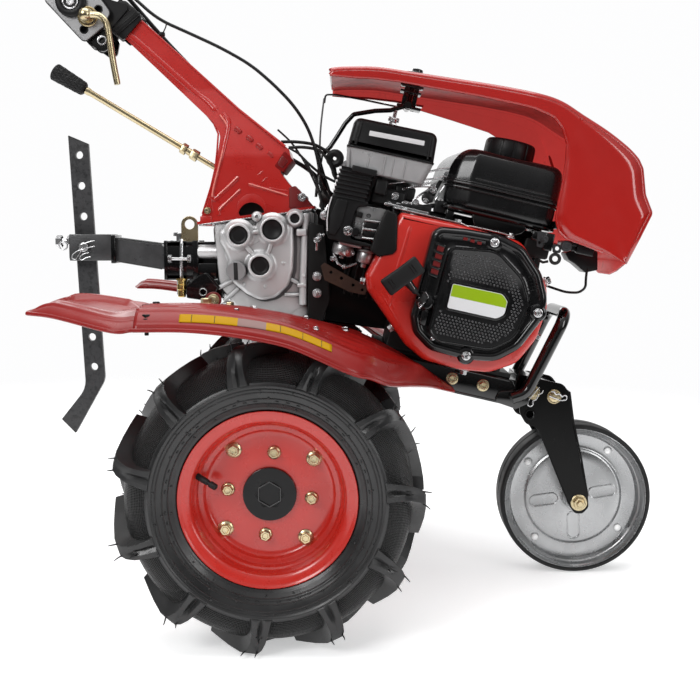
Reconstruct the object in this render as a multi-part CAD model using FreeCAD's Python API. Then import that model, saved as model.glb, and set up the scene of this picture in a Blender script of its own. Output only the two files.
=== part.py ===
import FreeCAD, Part
import math
import os

# Two-wheel walking tractor (rotary tiller power unit), 7-hp class.
# Frame: +X forward, +Y to the operator's left, +Z up, millimetres.
# While modelling, X=0 is the drive axle and Z=0 is the floor; SHIFT_X moves
# the finished pieces so that the origin is the middle of the footprint box.
V = FreeCAD.Vector

# ---------------------------------------------------------------- dimensions
SHIFT_X = -159.95        # model X of the final origin
AXLE_Z = 202.0           # drive axle height = tyre outer radius
TYRE_R = 202.0           # outer radius over the lugs
TYRE_HALF = 56.0         # half section width
WHEEL_Y = 320.0          # wheel mid-plane from the machine's middle
RIM_FLANGE_R = 115.0
BEAD_R = 101.6           # 8 inch bead seat
HEX_AF = 32.0            # axle hexagon across flats
PITCH = 13.0             # engine and frame nose-down angle, degrees
RAIL_Y0, RAIL_Y1 = 54.0, 60.0
FORK_Y0, FORK_Y1 = 46.0, 51.0
P1 = (390.2, 295.1)      # leg pivot
P2 = (423.1, 288.5)      # leg lock pin
PH = (386.2, 260.6)      # spare lock hole in the leg
FWX, FWZ = 465.2, 120.0  # front wheel centre
FW_R, FW_HALF = 120.0, 28.0
PIVOT = (-315.4, 888.7)  # handlebar tilt pivot
COULTER_LEAN = 2.6       # degrees, top to the rear
TUBE_R = 14.0            # handlebar tube radius
GRIP_Z = 1052.0
GRIP_Y = 300.0

os.makedirs("parts", exist_ok=True)
NODES = {}


# ------------------------------------------------------------------- helpers
def box(x0, x1, y0, y1, z0, z1):
    return Part.makeBox(x1 - x0, y1 - y0, z1 - z0, V(x0, y0, z0))


def cyl_y(x, z, r, y0, y1):
    return Part.makeCylinder(r, y1 - y0, V(x, y0, z), V(0, 1, 0))


def cyl_x(y, z, r, x0, x1):
    return Part.makeCylinder(r, x1 - x0, V(x0, y, z), V(1, 0, 0))


def cyl_z(x, y, r, z0, z1):
    return Part.makeCylinder(r, z1 - z0, V(x, y, z0), V(0, 0, 1))


def cyl(p, q, r):
    a, b = V(*p), V(*q)
    return Part.makeCylinder(r, (b - a).Length, a, b - a)


def cone(p, q, r0, r1):
    a, b = V(*p), V(*q)
    return Part.makeCone(r0, r1, (b - a).Length, a, b - a)


def round_wire(points, radii):
    """Closed wire through 3-D points with an arc at each corner."""
    n = len(points)
    if not isinstance(radii, (list, tuple)):
        radii = [radii] * n
    pts = [V(*p) for p in points]
    ends = []
    for i in range(n):
        a, b, c = pts[i - 1], pts[i], pts[(i + 1) % n]
        u, v = (a - b), (c - b)
        lu, lv = u.Length, v.Length
        u = u * (1.0 / lu)
        v = v * (1.0 / lv)
        ang = math.acos(max(-1, min(1, u.dot(v))))
        r = radii[i]
        if r <= 0 or ang > math.pi - 0.02:
            ends.append((b, b, None))
            continue
        t = r / math.tan(ang / 2)
        lim = 0.48 * min(lu, lv)
        if t > lim:
            t = lim
            r = t * math.tan(ang / 2)
        p1, p2 = b + u * t, b + v * t
        m = (u + v)
        m = m * (1.0 / m.Length)
        centre = b + m * (r / math.sin(ang / 2))
        mid = centre - m * r
        ends.append((p1, p2, mid))
    edges = []
    for i in range(n):
        p1, p2, mid = ends[i]
        if mid is not None:
            edges.append(Part.Arc(p1, mid, p2).toShape())
        nxt = ends[(i + 1) % n][0]
        if (nxt - p2).Length > 1e-6:
            edges.append(Part.LineSegment(p2, nxt).toShape())
    return Part.Wire(edges)


def plate_y(pts, y0, y1, radii=0, holes=()):
    """Outline in X-Z carried along Y, with round holes (x, z, r)."""
    w = round_wire([(p[0], y0, p[1]) for p in pts], radii)
    s = Part.Face(w).extrude(V(0, y1 - y0, 0))
    for (x, z, r) in holes:
        s = s.cut(cyl_y(x, z, r, y0 - 1, y1 + 1))
    return s


def plate_z(pts, z0, z1, radii=0):
    w = round_wire([(p[0], p[1], z0) for p in pts], radii)
    return Part.Face(w).extrude(V(0, 0, z1 - z0))


def plate_x(pts, x0, x1, radii=0):
    w = round_wire([(x0, p[0], p[1]) for p in pts], radii)
    return Part.Face(w).extrude(V(x1 - x0, 0, 0))


def shell_y(pts, y0, y1, radii, t, open_low=False, open_high=False):
    """Thin-walled box with the X-Z outline, open on the Y side asked for."""
    w = round_wire([(p[0], y0, p[1]) for p in pts], radii)
    f = Part.Face(w)
    outer = f.extrude(V(0, y1 - y0, 0))
    g = f.makeOffset2D(-t)
    g.translate(V(0, -1 if open_low else t, 0))
    depth = (y1 - y0) - (-1 if open_low else t) + (1 if open_high else -t)
    return outer.cut(g.extrude(V(0, depth, 0)))


def fuse(*shapes):
    s = shapes[0]
    if len(shapes) > 1:
        s = s.fuse(list(shapes[1:]))
        s = s.removeSplitter()
    return s


def group(*shapes):
    """Separate solids that share a node."""
    out = []
    for s in shapes:
        out.extend(s.Solids)
    return Part.makeCompound(out)


def route(points):
    """Straight runs joined by tangent arcs; prints the arc radii."""
    pts = [V(*p) for p in points]
    edges, radii = [], []
    last = pts[0]
    for i in range(1, len(pts) - 1):
        a, b, c = pts[i - 1], pts[i], pts[i + 1]
        u, v = (a - b), (c - b)
        lu, lv = u.Length, v.Length
        u = u * (1.0 / lu)
        v = v * (1.0 / lv)
        turn = math.pi - math.acos(max(-1, min(1, u.dot(v))))
        t = 0.45 * min(lu, lv)
        r = t / math.tan(turn / 2)
        radii.append(round(r, 1))
        p1, p2 = b + u * t, b + v * t
        m = (u + v)
        m = m * (1.0 / m.Length)
        centre = b + m * (r / math.cos(turn / 2))
        mid = centre - m * r
        edges.append(Part.LineSegment(last, p1).toShape())
        edges.append(Part.Arc(p1, mid, p2).toShape())
        last = p2
    edges.append(Part.LineSegment(last, pts[-1]).toShape())
    return Part.Wire(edges), radii


def tube_on(points, r, name=""):
    w, radii = route(points)
    a = V(*points[0])
    d = V(*points[1]) - a
    prof = Part.Wire([Part.makeCircle(r, a, d)])
    s = w.makePipeShell([prof], True, False)
    ideal = math.pi * r * r * w.Length
    print("%-18s length %.0f radii %s volume %.3f of ideal" % (name, w.Length, radii, s.Volume / ideal))
    return s


def bent_tube(points, r, bend, name="", bore=0):
    """Tube with one bend radius at each corner."""
    pts = [V(*p) for p in points]
    edges, last = [], pts[0]
    for i in range(1, len(pts) - 1):
        a, b, c = pts[i - 1], pts[i], pts[i + 1]
        u, v = (a - b), (c - b)
        lu, lv = u.Length, v.Length
        u = u * (1.0 / lu)
        v = v * (1.0 / lv)
        turn = math.pi - math.acos(max(-1, min(1, u.dot(v))))
        t = min(bend * math.tan(turn / 2), 0.48 * min(lu, lv))
        rr = t / math.tan(turn / 2)
        p1, p2 = b + u * t, b + v * t
        m = (u + v)
        m = m * (1.0 / m.Length)
        mid = b + m * (rr / math.cos(turn / 2)) - m * rr
        edges.append(Part.LineSegment(last, p1).toShape())
        edges.append(Part.Arc(p1, mid, p2).toShape())
        last = p2
    edges.append(Part.LineSegment(last, pts[-1]).toShape())
    w = Part.Wire(edges)
    d = pts[1] - pts[0]
    s = w.makePipeShell([Part.Wire([Part.makeCircle(r, pts[0], d)])], True, False)
    if bore:
        s = s.cut(w.makePipeShell([Part.Wire([Part.makeCircle(bore, pts[0], d)])], True, False))
    return s


def sheet_loft(stations, t):
    """Bent sheet: each station is (x, [(y, z), ...]) along the top face."""
    wires = []
    for x, yz in stations:
        top = [V(x, y, z) for (y, z) in yz]
        low = [V(x, y, z - t) for (y, z) in reversed(yz)]
        loop = top + low
        wires.append(Part.makePolygon(loop + [loop[0]]))
    return Part.makeLoft(wires, True, True)


def mirror_y(s):
    return s.mirror(V(0, 0, 0), V(0, 1, 0))


def tilt(s):
    """From the engine frame (level, axle at 0,0) to the parked attitude."""
    s = s.copy()
    s.rotate(V(0, 0, 0), V(0, 1, 0), PITCH)
    s.translate(V(0, 0, AXLE_Z))
    return s


def tilt_pt(x, z):
    c, s = math.cos(math.radians(PITCH)), math.sin(math.radians(PITCH))
    return x * c + z * s, AXLE_Z - x * s + z * c


def level_pt(x, z):
    c, s = math.cos(math.radians(PITCH)), math.sin(math.radians(PITCH))
    return x * c - (z - AXLE_Z) * s, x * s + (z - AXLE_Z) * c


def put(name, shape):
    NODES[name] = shape


# ------------------------------------------------------------- drive wheels
def revolve_profile(pts, yc, sign):
    """(radius, offset from mid-plane outward) profile about the axle line."""
    loop = [V(r, yc + sign * o, 0) for (r, o) in pts]
    f = Part.Face(Part.makePolygon(loop + [loop[0]]))
    s = f.revolve(V(0, 0, 0), V(0, 1, 0), 360)
    s.translate(V(0, 0, AXLE_Z))
    return s


def tyre(yc, sign):
    half = [(BEAD_R + 0.3, 29.4), (105.4, 33.9), (113.4, 36.9), (117, 38.2), (123, 44), (132, 50.5),
            (144, 54.8), (156, TYRE_HALF), (170, 55.2), (182, 52.5), (191, 48), (198, 40), (201.2, 22)]
    outer = [(r, -o) for (r, o) in half] + [(TYRE_R, 0)] + [(r, o) for (r, o) in reversed(half)]
    ihalf = [(BEAD_R + 0.3, 17), (111, 20), (119, 31), (134, 42), (155, 47.5), (174, 46), (184, 38), (188, 20)]
    inner = [(r, o) for (r, o) in ihalf] + [(189, 0)] + [(r, -o) for (r, o) in reversed(ihalf)]
    return revolve_profile(outer + inner, yc, sign)


def rim(yc, sign):
    """Pressed wheel: dished disc on the mid-plane and two flanged bead seats."""
    t = 3.0
    prof = [(25, 1.5), (25, -1.5), (86, -1.5), (91, -8), (BEAD_R - t, -14), (BEAD_R - t, -34),
            (103, -38.5), (RIM_FLANGE_R - 2, -41), (RIM_FLANGE_R, -40.2), (RIM_FLANGE_R - 1.5, -37.6),
            (105, -34.5), (BEAD_R, -30), (BEAD_R, 30), (105, 34.5), (RIM_FLANGE_R - 1.5, 37.6),
            (RIM_FLANGE_R, 40.2), (RIM_FLANGE_R - 2, 41), (103, 38.5), (BEAD_R - t, 34),
            (BEAD_R - t, 14), (91, 8), (86, 1.5)]
    s = revolve_profile(prof, yc, sign)
    return s


def hub(sign):
    y0 = sign * (WHEEL_Y - 1.6)
    flange = Part.makeCylinder(68, 9, V(0, y0, AXLE_Z), V(0, -sign, 0))
    sleeve = Part.makeCylinder(27, 150, V(0, y0, AXLE_Z), V(0, -sign, 0))
    nose = Part.makeCylinder(24.8, 8, V(0, y0 - sign * 2, AXLE_Z), V(0, sign, 0))
    s = flange.fuse([sleeve, nose]).removeSplitter()
    hexa = hex_prism(HEX_AF + 0.1, -400, 400)
    return s.cut(hexa)


def hex_prism(af, y0, y1):
    rc = af / 2 / math.cos(math.pi / 6)
    pts = [V(rc * math.cos(math.radians(60 * k)), y0, rc * math.sin(math.radians(60 * k)) + AXLE_Z)
           for k in range(6)]
    return Part.Face(Part.makePolygon(pts + [pts[0]])).extrude(V(0, y1 - y0, 0))


put("right_tyre", tyre(-WHEEL_Y, -1))
put("left_tyre", tyre(WHEEL_Y, 1))
put("right_rim", rim(-WHEEL_Y, -1))
put("left_rim", rim(WHEEL_Y, 1))
shaft = hex_prism(HEX_AF, -WHEEL_Y - 6, WHEEL_Y + 6)
shaft = fuse(shaft.common(fuse(box(-30, 30, -400, -100, 150, 250), box(-30, 30, 100, 400, 150, 250))),
             cyl_y(0, AXLE_Z, 20.0, -100.0, 100.0))
put("axle_shaft", shaft)


def hub_cap(sign):
    c = Part.makeCylinder(34.8, 5.5, V(0, sign * (WHEEL_Y + 1.6), AXLE_Z), V(0, sign, 0))
    return c.cut(hex_prism(HEX_AF + 0.1, -400, 400))


put("wheel_hubs", group(fuse(hub(-1), hub_cap(-1)), fuse(hub(1), hub_cap(1))))

# ------------------------------------------------------------------ gearbox
top = plate_y([(-104, 558), (49, 579), (43, 436), (12, 415), (-60, 415), (-97, 462)], -52, 52,
              [8, 8, 20, 20, 40, 30])
neck = plate_y([(-58, 470), (40, 470), (40, 250), (-40, 250)], -46, 46, 6)
boss = cyl_y(0, AXLE_Z, 62, -46, 46)
side = cyl_y(0, AXLE_Z, 38, -97, 97)
flange = plate_y([(-111, 557), (55, 579.8), (50, 432), (50, 230), (30, 150), (-30, 150), (-62, 215),
                  (-68, 415), (-104, 460)], -5, 5, 12)
rings = [cyl_y(x, z, r, -66, -50) for (x, z, r) in
         [(-62, 536, 21), (-11, 543, 22), (-30, 491, 22)]]
small = cyl_y(21, 564, 15, -62, -50)
rings_l = [cyl_y(x, z, r, 50, 60) for (x, z, r) in [(-62, 536, 21), (-11, 543, 22), (-30, 491, 22)]]
rear_boss = cyl_x(-28, 513, 11, -132, -90)
gearbox = top.fuse([neck, boss, side, flange, small, rear_boss] + rings + rings_l)
gearbox = gearbox.cut(cyl_y(0, AXLE_Z, 20.05, -120, 120))
for (x, z, r) in [(-62, 536, 16), (-11, 543, 17), (-30, 491, 17.5)]:
    gearbox = gearbox.cut(cyl_y(x, z, r, -68, -58))
gearbox = gearbox.cut(cyl_y(21, 564, 10, -64, -55))
gearbox = gearbox.removeSplitter()
put("gearbox", gearbox)
caps = [cyl_y(x, z, r - 0.1, -64, -58) for (x, z, r) in [(-62, 536, 16), (-11, 543, 17), (-30, 491, 17.5)]]
caps.append(cyl_y(21, 564, 9.9, -61, -55))
filler = cyl_y(-67, 484, 14.5, -68, -52).cut(box(-90, -40, -70, -63, 481.5, 486.5))
put("gearbox_plugs", group(*(caps + [filler])))

# ------------------------------------------------------------ frame (tilted)
def rail(sign):
    web = plate_y([(-34, 151), (-34, 191), (322, 191), (331, 180), (331, 160), (326, 151)], 0, 6, [6, 6, 6, 6, 6, 6])
    low = box(-28, 322, -22, 0, 151, 156)
    up = box(-28, 318, -22, 0, 186, 191)
    r = fuse(web, low, up)
    r.translate(V(0, RAIL_Y0, 0))
    r = fuse(r, box(-30, 26, 46.1, RAIL_Y0, 156, 186))
    if sign < 0:
        r = mirror_y(r)
    return r


def narrow(s):
    """Keep a piece of the frame clear of the gearbox neck."""
    g = gearbox.copy()
    g.translate(V(0, 0, -AXLE_Z))
    g.rotate(V(0, 0, 0), V(0, 1, 0), -PITCH)
    return s.cut(g)


rails = fuse(rail(1), rail(-1), box(70, 82, -54, 54, 151, 191), box(318, 330, -54, 54, 151, 191))
rails = narrow(rails)
lug = plate_y([(330, 151), (330, 199), (352, 201), (396, 197), (403, 188), (403, 171), (395, 163), (372, 158)],
              -38, 38, [0, 0, 8, 10, 6, 6, 10, 10])
lug = lug.cut(box(344, 420, -30, 30, 140, 192))
for p in (P1, P2):
    x, z = level_pt(*p)
    lug = lug.cut(cyl_y(x, z, 6.05, -60, 60))
put("frame_rails", tilt(fuse(rails, lug)))

# --------------------------------------------------------------- front bumper
foot = level_pt(378, 304)
head = level_pt(436, 419)
BY = RAIL_Y1 + 9.6
bump = bent_tube([(foot[0] - 22, -BY, foot[1] - 22), (foot[0], -BY, foot[1] - 8), (head[0], -BY, head[1]), (head[0], BY, head[1]),
                  (foot[0], BY, foot[1] - 8), (foot[0] - 22, BY, foot[1] - 22)], 9.5, 26)
put("bumper", tilt(bump))

# ------------------------------------------------------------ engine (tilted)
block = fuse(box(118, 300, -56, 92, 193, 330), box(30, 150, -52, 62, 262, 378).common(
    plate_y([(30, 300), (60, 262), (150, 262), (150, 370), (60, 378), (30, 350)], -60, 70, 8)),
    box(100, 318, -56, 92, 191, 199))
block = fuse(block, cyl_y(222, 300, 17, 92, 118))
block_level = block
put("engine_block", tilt(block))

shroud_pts = [(92, 401), (86, 384), (61.7, 298.3), (69, 279), (142, 212.7), (173, 197), (230, 194.5),
              (272.7, 200.2), (309.8, 222.4), (329.6, 265), (334.6, 311.6), (324.6, 347), (274, 399),
              (169, 403)]
shroud = shell_y(shroud_pts, -132, -58, [4, 20, 12, 12, 30, 30, 30, 40, 40, 40, 40, 40, 30, 20], 2.5, open_high=True)
shroud = shroud.cut(cyl_y(222, 300, 70, -134, -128))
put("fan_shroud", tilt(shroud))

cover_pts = [(137, 258), (140.5, 383), (150, 393), (186, 398), (239, 401), (275, 392), (309, 360),
             (327, 325), (325, 293), (304, 246), (274, 220), (230, 213), (176, 215), (147, 234)]
cover = shell_y(cover_pts, -158, -132, [20, 12, 16, 30, 40, 40, 40, 40, 40, 40, 40, 40, 30, 25], 2.5, open_high=True)
panel = plate_y([(167, 250), (171, 366), (238, 376), (283, 345), (300, 312), (292, 262), (262, 238), (186, 238)],
                -163, -157, [14, 10, 30, 40, 40, 30, 30, 16])
put("recoil_cover", tilt(fuse(cover, panel)))

pull = fuse(cyl((96, -172, 286), (136, -172, 332), 10.5), cyl((116, -172, 309), (137, -164, 293), 5))
put("pull_handle", tilt(pull))

tank = plate_y([(150, 428), (150, 485), (156, 512), (178, 519.5), (313, 518.5), (318, 512), (318, 428)],
               -95, 88, [14, 20, 16, 14, 8, 8, 14])
seam = plate_y([(144, 463), (144, 467), (324, 467), (324, 463)], -101, 94, 0)
tank = fuse(tank, seam)
put("fuel_tank", tilt(tank))
put("fuel_cap", tilt(fuse(cyl_z(238, -22, 39, 519.6, 545), cyl_z(238, -22, 35, 545, 549))))
strap = fuse(box(319, 324, -109.9, 109.9, 429, 441), box(300, 324, -30, 30, 421, 427.9), box(319, 324, -30, 30, 421, 441))
put("tank_bracket", tilt(group(box(160, 172, -80, 80, 403.5, 427.8), fuse(box(300, 312, -52, 80, 330, 427.8), strap))))

ac_cap = plate_y([(-7, 479), (-5, 523), (121, 526), (124, 481)], -92, 22, [3, 9, 9, 3])
put("air_cleaner_cap", tilt(ac_cap))
ac_bowl = plate_y([(-7, 478.6), (124, 480.6), (116, 449), (-1, 447)], -90, 20, [2, 2, 8, 8])
put("air_cleaner_bowl", tilt(ac_bowl))
ac_base = fuse(plate_y([(-9, 446.5), (42, 446.5), (46, 404), (30, 340), (-6, 340), (-16, 372), (-14, 410)], -88, -18, 6))
ac_base = ac_base.cut(box(20, 200, -90, -17, 300, 397)).cut(block_level)
put("air_cleaner_base", tilt(ac_base))
carb = fuse(box(20.2, 64, -78, -26, 346, 396), cyl_z(44, -52, 17, 322, 347), cyl_z(6, -56, 15, 322, 339.8).fuse(box(-6, 20, -70, -42, 330, 339.8)))
carb = group(*[q for q in carb.cut(block_level).Solids if q.Volume > 3000])
put("carburettor", tilt(carb))
muff = plate_y([(-14, 392), (-14, 470), (108, 470), (108, 392)], 34, 128, 14)
put("muffler", tilt(fuse(muff, cyl_x(80, 400, 14, -34, -10))))

# --------------------------------------------------------------- belt guard
slot = [(-125, 215), (-125, 385), (250, 378), (300, 345), (300, 255), (250, 222), (20, 200)]
guard = shell_y(slot, 118.5, 176, [60, 60, 40, 50, 50, 40, 40], 2)
guard = guard.cut(cyl_y(222, 300, 19, 110, 122))
b1 = level_pt(-11, 543)
b2 = level_pt(-30, 491)
put("belt_guard", tilt(fuse(guard, cyl_y(b1[0], b1[1], 9, 60, 119), cyl_y(b2[0], b2[1], 9, 60, 119),
                            cyl_y(270, 300, 9, 92, 119))))

# -------------------------------------------------------------------- hood
def hood_face(off, x_back, low, y):
    top_pts = [(-56, 580), (-34, 587), (12, 597), (60, 601), (123, 606), (190, 611), (250, 613), (285, 609.5),
               (320, 597.5), (360, 583.5), (394, 568), (414, 555.5)]
    out = []
    n = len(top_pts)
    for i, p in enumerate(top_pts):
        a = top_pts[max(0, i - 1)]
        b = top_pts[min(n - 1, i + 1)]
        dx, dz = b[0] - a[0], b[1] - a[1]
        l = math.hypot(dx, dz)
        out.append((p[0] + dz / l * off, p[1] - dx / l * off))
    if x_back is not None:
        out[0] = (x_back, out[0][1] - 8)
    bs = Part.BSplineCurve()
    bs.interpolate([V(p[0], y, p[1]) for p in out])
    edges = [bs.toShape()]
    o = off
    nose = [(424 - o, 543 - o * 0.4), (437 - o, 507), (454 - 1.3 * o, 483), (435 - o, 402) if off == 0 else (411 - o, 300)]
    rest = nose + low
    last = out[-1]
    for p in rest:
        edges.append(Part.LineSegment(V(last[0], y, last[1]), V(p[0], y, p[1])).toShape())
        last = p
    edges.append(Part.LineSegment(V(last[0], y, last[1]), V(out[0][0], y, out[0][1])).toShape())
    return Part.Face(Part.Wire(edges))


HW = 113.0
low_edge = [(397, 412), (338, 419), (325, 427), (317, 443), (315, 466), (314, 497), (311, 528), (306, 553),
            (295, 572), (278, 586), (246, 592), (220, 592), (166, 591), (80, 586.5), (50, 585), (5.5, 580),
            (-16, 576), (-54, 571)]
h_out = hood_face(0, None, low_edge, -HW).extrude(V(0, 2 * HW, 0))
h_in = hood_face(3.0, -90, [(-90, 300)], -HW + 3).extrude(V(0, 2 * HW - 6, 0))


def soften(s, r, ymax):
    es = [e for e in s.Edges if abs(abs(e.CenterOfMass.y) - ymax) < 0.01
          and e.BoundBox.ZMax > 560 and e.BoundBox.XLength > 300]
    try:
        return s.makeFillet(r, es)
    except Exception as exc:
        print("hood edge left sharp", exc)
        return s


h_out = soften(h_out, 12, HW)
h_in = soften(h_in, 9, HW - 3)
hood = h_out.cut(h_in)
lamp_cut = plate_x([(-58, 424), (-58, 474), (58, 474), (58, 424)], 400, 470, 16)
hood = hood.cut(lamp_cut)
# the front panel's lower rim bows down in the middle
chin = plate_x([(-110, 404), (110, 404), (70, 391), (35, 384.5), (-35, 384.5), (-70, 391)], 431.2, 434.2, 6)
# the left side panel reaches further back than the right one
left_panel = plate_y([(94, 581), (146, 577.4), (181, 574.6), (214, 571.6), (234, 565), (247, 545), (257, 500), (265, 450), (277, 432),
                      (298, 421.5), (336, 419.4), (343, 432), (326, 450), (323, 500), (319, 555), (300, 583), (284, 589), (250, 595),
                      (150, 596), (100, 592)], 110, 113)
hood = fuse(hood, chin, left_panel)
put("hood", tilt(hood))
latch = fuse(box(58, 81, -13, 13, 562, 606), cyl_y(69, 566, 7, -24, 24)).common(h_in)
knob = fuse(cyl_z(72, 0, 7, 598, 612), cyl_z(72, 0, 18, 609, 620), cyl_z(72, 0, 9, 619, 626)).cut(h_out)
e_rod = [(69, 566), level_pt(168, 730.4), level_pt(144, 729.5), level_pt(110.6, 724.3), level_pt(97.7, 710.4), level_pt(84.8, 690.1),
         level_pt(74.4, 674.8), level_pt(62.5, 663)]
stay_rod = bent_tube([(q[0], -20, q[1]) for q in e_rod], 3.5, 10)
put("hood_stay", tilt(group(fuse(latch, stay_rod), knob)))
lamp = fuse(plate_x([(-57, 425), (-57, 473), (57, 473), (57, 425)], 404, 430, 15),
            plate_x([(-45, 432), (-45, 466), (45, 466), (45, 432)], 372, 404, 12),
            box(350, 372, -8, 8, 440, 456))
put("headlight", tilt(lamp))

# ------------------------------------------------------------------- column
col_pts = [(-251, 849), (-222, 872), (-66, 731), (12, 669), (16, 653), (-2, 635), (12, 617), (30, 597),
           (47, 577), (-128, 553), (-122, 570), (-100, 641), (-93, 691), (-104, 710)]
col = plate_y(col_pts, -46, 46, [0, 0, 0, 3, 3, 3, 8, 20, 2, 2, 2, 30, 20, 20])
col_face = Part.Face(round_wire([(p[0], -42.5, p[1]) for p in col_pts], [0, 0, 0, 3, 3, 3, 8, 20, 2, 2, 2, 30, 20, 20]))
inner_face = col_face.makeOffset2D(-3)


def front_taper(inset):
    a = 46 - inset
    b = 21 - inset
    return plate_x([(-a, 500), (-a, 660), (-b, 760), (-b, 900), (b, 900), (b, 760), (a, 660), (a, 500)], -400, 200,
                   [0, 30, 30, 0, 0, 30, 30, 0])


col = col.common(front_taper(0))
col_in = inner_face.extrude(V(0, 85, 0)).common(front_taper(3))
column = col.cut(col_in).cut(cyl_y(-46, 579, 21, -60, 60))
base = plate_z([(-132, -46), (-132, 46), (52, 46), (52, -46)], 0, 4, 6)
base.rotate(V(0, 0, 0), V(0, 1, 0), -7.8)
base.translate(V(0, 0, 572.7))
column = column.cut(plate_y([(-180, 500), (-180, 549.5), (120, 590.6), (120, 500)], -60, 60, 0))
column = fuse(column, base)
column = column.cut(gearbox)
put("column", column)

# -------------------------------------------------- column head and handlebar
ux, uz = math.cos(math.radians(138)), math.sin(math.radians(138))   # along the column, upward
def along(p, d, n=0.0):
    """Point d mm up the column line from p and n mm to its upper side."""
    return (p[0] + ux * d + uz * n, p[1] + uz * d - ux * n)


top_c = (-236.5, 860.5)
sock = plate_y([along(top_c, -14, 22), along(top_c, 30, 22), along(top_c, 30, -22), along(top_c, -14, -22)], -27, 27, 3)
cheek_pts = [along(top_c, 10, 24), along(PIVOT, 16, 16), along(PIVOT, 16, -16), (-290, 824), (-268, 826), along(top_c, 10, -22)]
cheeks = []
for y0, y1 in ((-31, -26), (26, 31)):
    cheeks.append(plate_y(cheek_pts, y0, y1, [6, 14, 14, 10, 10, 6], holes=[(PIVOT[0], PIVOT[1], 8.05), (-276.5, 838, 5.5)]))
inner_col = plate_y([along(top_c, -200, 21.6), along(top_c, 2, 21.6), along(top_c, 2, -21.6), along(top_c, -200, -21.6)],
                    -21.05, 21.05, 0)
sock = sock.cut(inner_col).cut(col)
put("column_head", fuse(sock, *cheeks))

plates = []
gp = [(-348, 908), (-356, 892), (-297, 829), (-268, 852), (-257, 873), (-280, 905), (-312, 940), (-345, 944)]
for y0, y1 in ((-41, -36), (36, 41)):
    plates.append(plate_y(gp, y0, y1, [6, 8, 8, 8, 8, 20, 10, 10],
                          holes=[(PIVOT[0], PIVOT[1], 8.05), (-274.8, 877.4, 5), (-297.2, 848.1, 5)]))
cross = cyl_y(-332, 928, 10, -38, 38)
put("handlebar_yoke", fuse(plates[0], plates[1], cross))
pin = fuse(cyl_y(PIVOT[0], PIVOT[1], 8.0, -48, 48), cyl_y(PIVOT[0], PIVOT[1], 22.6, -46, -41.2), cyl_y(PIVOT[0], PIVOT[1], 22.6, 41.2, 46))
put("pivot_bolt", pin)

lever = fuse(cyl_y(-294.1, 869.2, 6, -58, -41.2), bent_tube([(-294, -54, 869), (-262, -56, 868), (-252, -58, 766)], 4.5, 14))
put("clamp_lever", lever)


def bar(s):
    return bent_tube([(-346, s * 55.2, 926), (-404, s * 62, 994), (-560, s * 240, 1038), (-700, s * GRIP_Y, GRIP_Z),
                      (-885, s * GRIP_Y, GRIP_Z)], TUBE_R, 90)


tubes = []
for s in (-1, 1):
    tubes.append(bar(s))
brace = cyl_y(-470, 1010, 8, -150, 150)
hb = fuse(tubes[0], tubes[1], brace)
put("handlebar_tubes", hb)
grips = []
for s in (-1, 1):
    y = s * GRIP_Y
    g = cyl((-905, y, GRIP_Z), (-775, y, GRIP_Z), 17.5).cut(cyl((-885.1, y, GRIP_Z), (-700, y, GRIP_Z), TUBE_R + 0.02))
    grips.append(g)
put("handle_grips", group(*grips))
lev = []
for s in (-1, 1):
    y = s * GRIP_Y
    pivot_block = box(-752, -722, y - 9, y + 9, GRIP_Z - 40, GRIP_Z - 9).cut(cyl_x(y, GRIP_Z, TUBE_R + 0.02, -800, -700))
    blade = plate_y([(-748, GRIP_Z - 36), (-742, GRIP_Z - 30), (-850, GRIP_Z - 46), (-896, GRIP_Z - 38), (-898, GRIP_Z - 43),
                     (-850, GRIP_Z - 52)], y - 7, y + 7, 2)
    lev.append(fuse(pivot_block, blade))
put("hand_levers", group(*lev))

# ------------------------------------------------------------------ gear lever
rod = cyl((-107, -30, 645), (-300, -34, 760), 4.6)
put("gear_lever", fuse(rod, cyl((-122, -30.3, 654), (-142, -30.8, 666), 8)))
put("lever_grip", cone((-300.2, -34, 760.1), (-346, -35, 787.4), 10.5, 13.5))

# ---------------------------------------------------------------- fenders
def side_sheet(st, s):
    st2 = [(x, [(s * y, z) for (y, z) in yz]) for x, yz in st]
    return sheet_loft(st2, 2.5)


F_MAIN = [(-158, [(250, 443), (262, 443), (385, 427), (402, 423)]),
          (-100, [(215, 442), (262, 441), (385, 429), (402, 423)]),
          (-50, [(170, 436), (262, 434), (385, 427), (403, 419)]),
          (0, [(120, 424), (262, 425), (385, 421), (403, 411)]),
          (40, [(80, 412), (262, 416), (385, 412), (402, 400)]),
          (105, [(62, 394), (262, 391), (383, 386), (400, 371)]),
          (130, [(62, 384), (255, 377), (360, 372), (380, 362)]),
          (155, [(62, 372), (220, 362), (312, 355), (332, 347)]),
          (190, [(62, 352), (150, 343), (225, 338), (240, 333)]),
          (225, [(62, 329), (90, 325), (128, 320), (138, 317)]),
          (264, [(62, 302), (65, 301.5), (69, 301), (73, 300.5)])]
F_LEFT = [(-158, [(250, 443), (262, 443), (385, 427), (402, 423)]),
          (-100, [(215, 442), (262, 441), (385, 429), (402, 423)]),
          (-50, [(186, 437), (262, 434), (385, 427), (403, 419)]),
          (0, [(186, 427), (262, 425), (385, 421), (403, 411)]),
          (40, [(186, 418), (262, 416), (385, 412), (402, 400)]),
          (105, [(186, 393), (262, 391), (383, 386), (400, 371)]),
          (130, [(182, 381), (255, 377), (360, 372), (380, 362)]),
          (155, [(150, 366), (220, 362), (312, 355), (332, 347)]),
          (190, [(100, 349), (150, 343), (225, 338), (240, 333)]),
          (225, [(62, 329), (90, 325), (128, 320), (138, 317)]),
          (264, [(62, 302), (65, 301.5), (69, 301), (73, 300.5)])]
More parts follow.
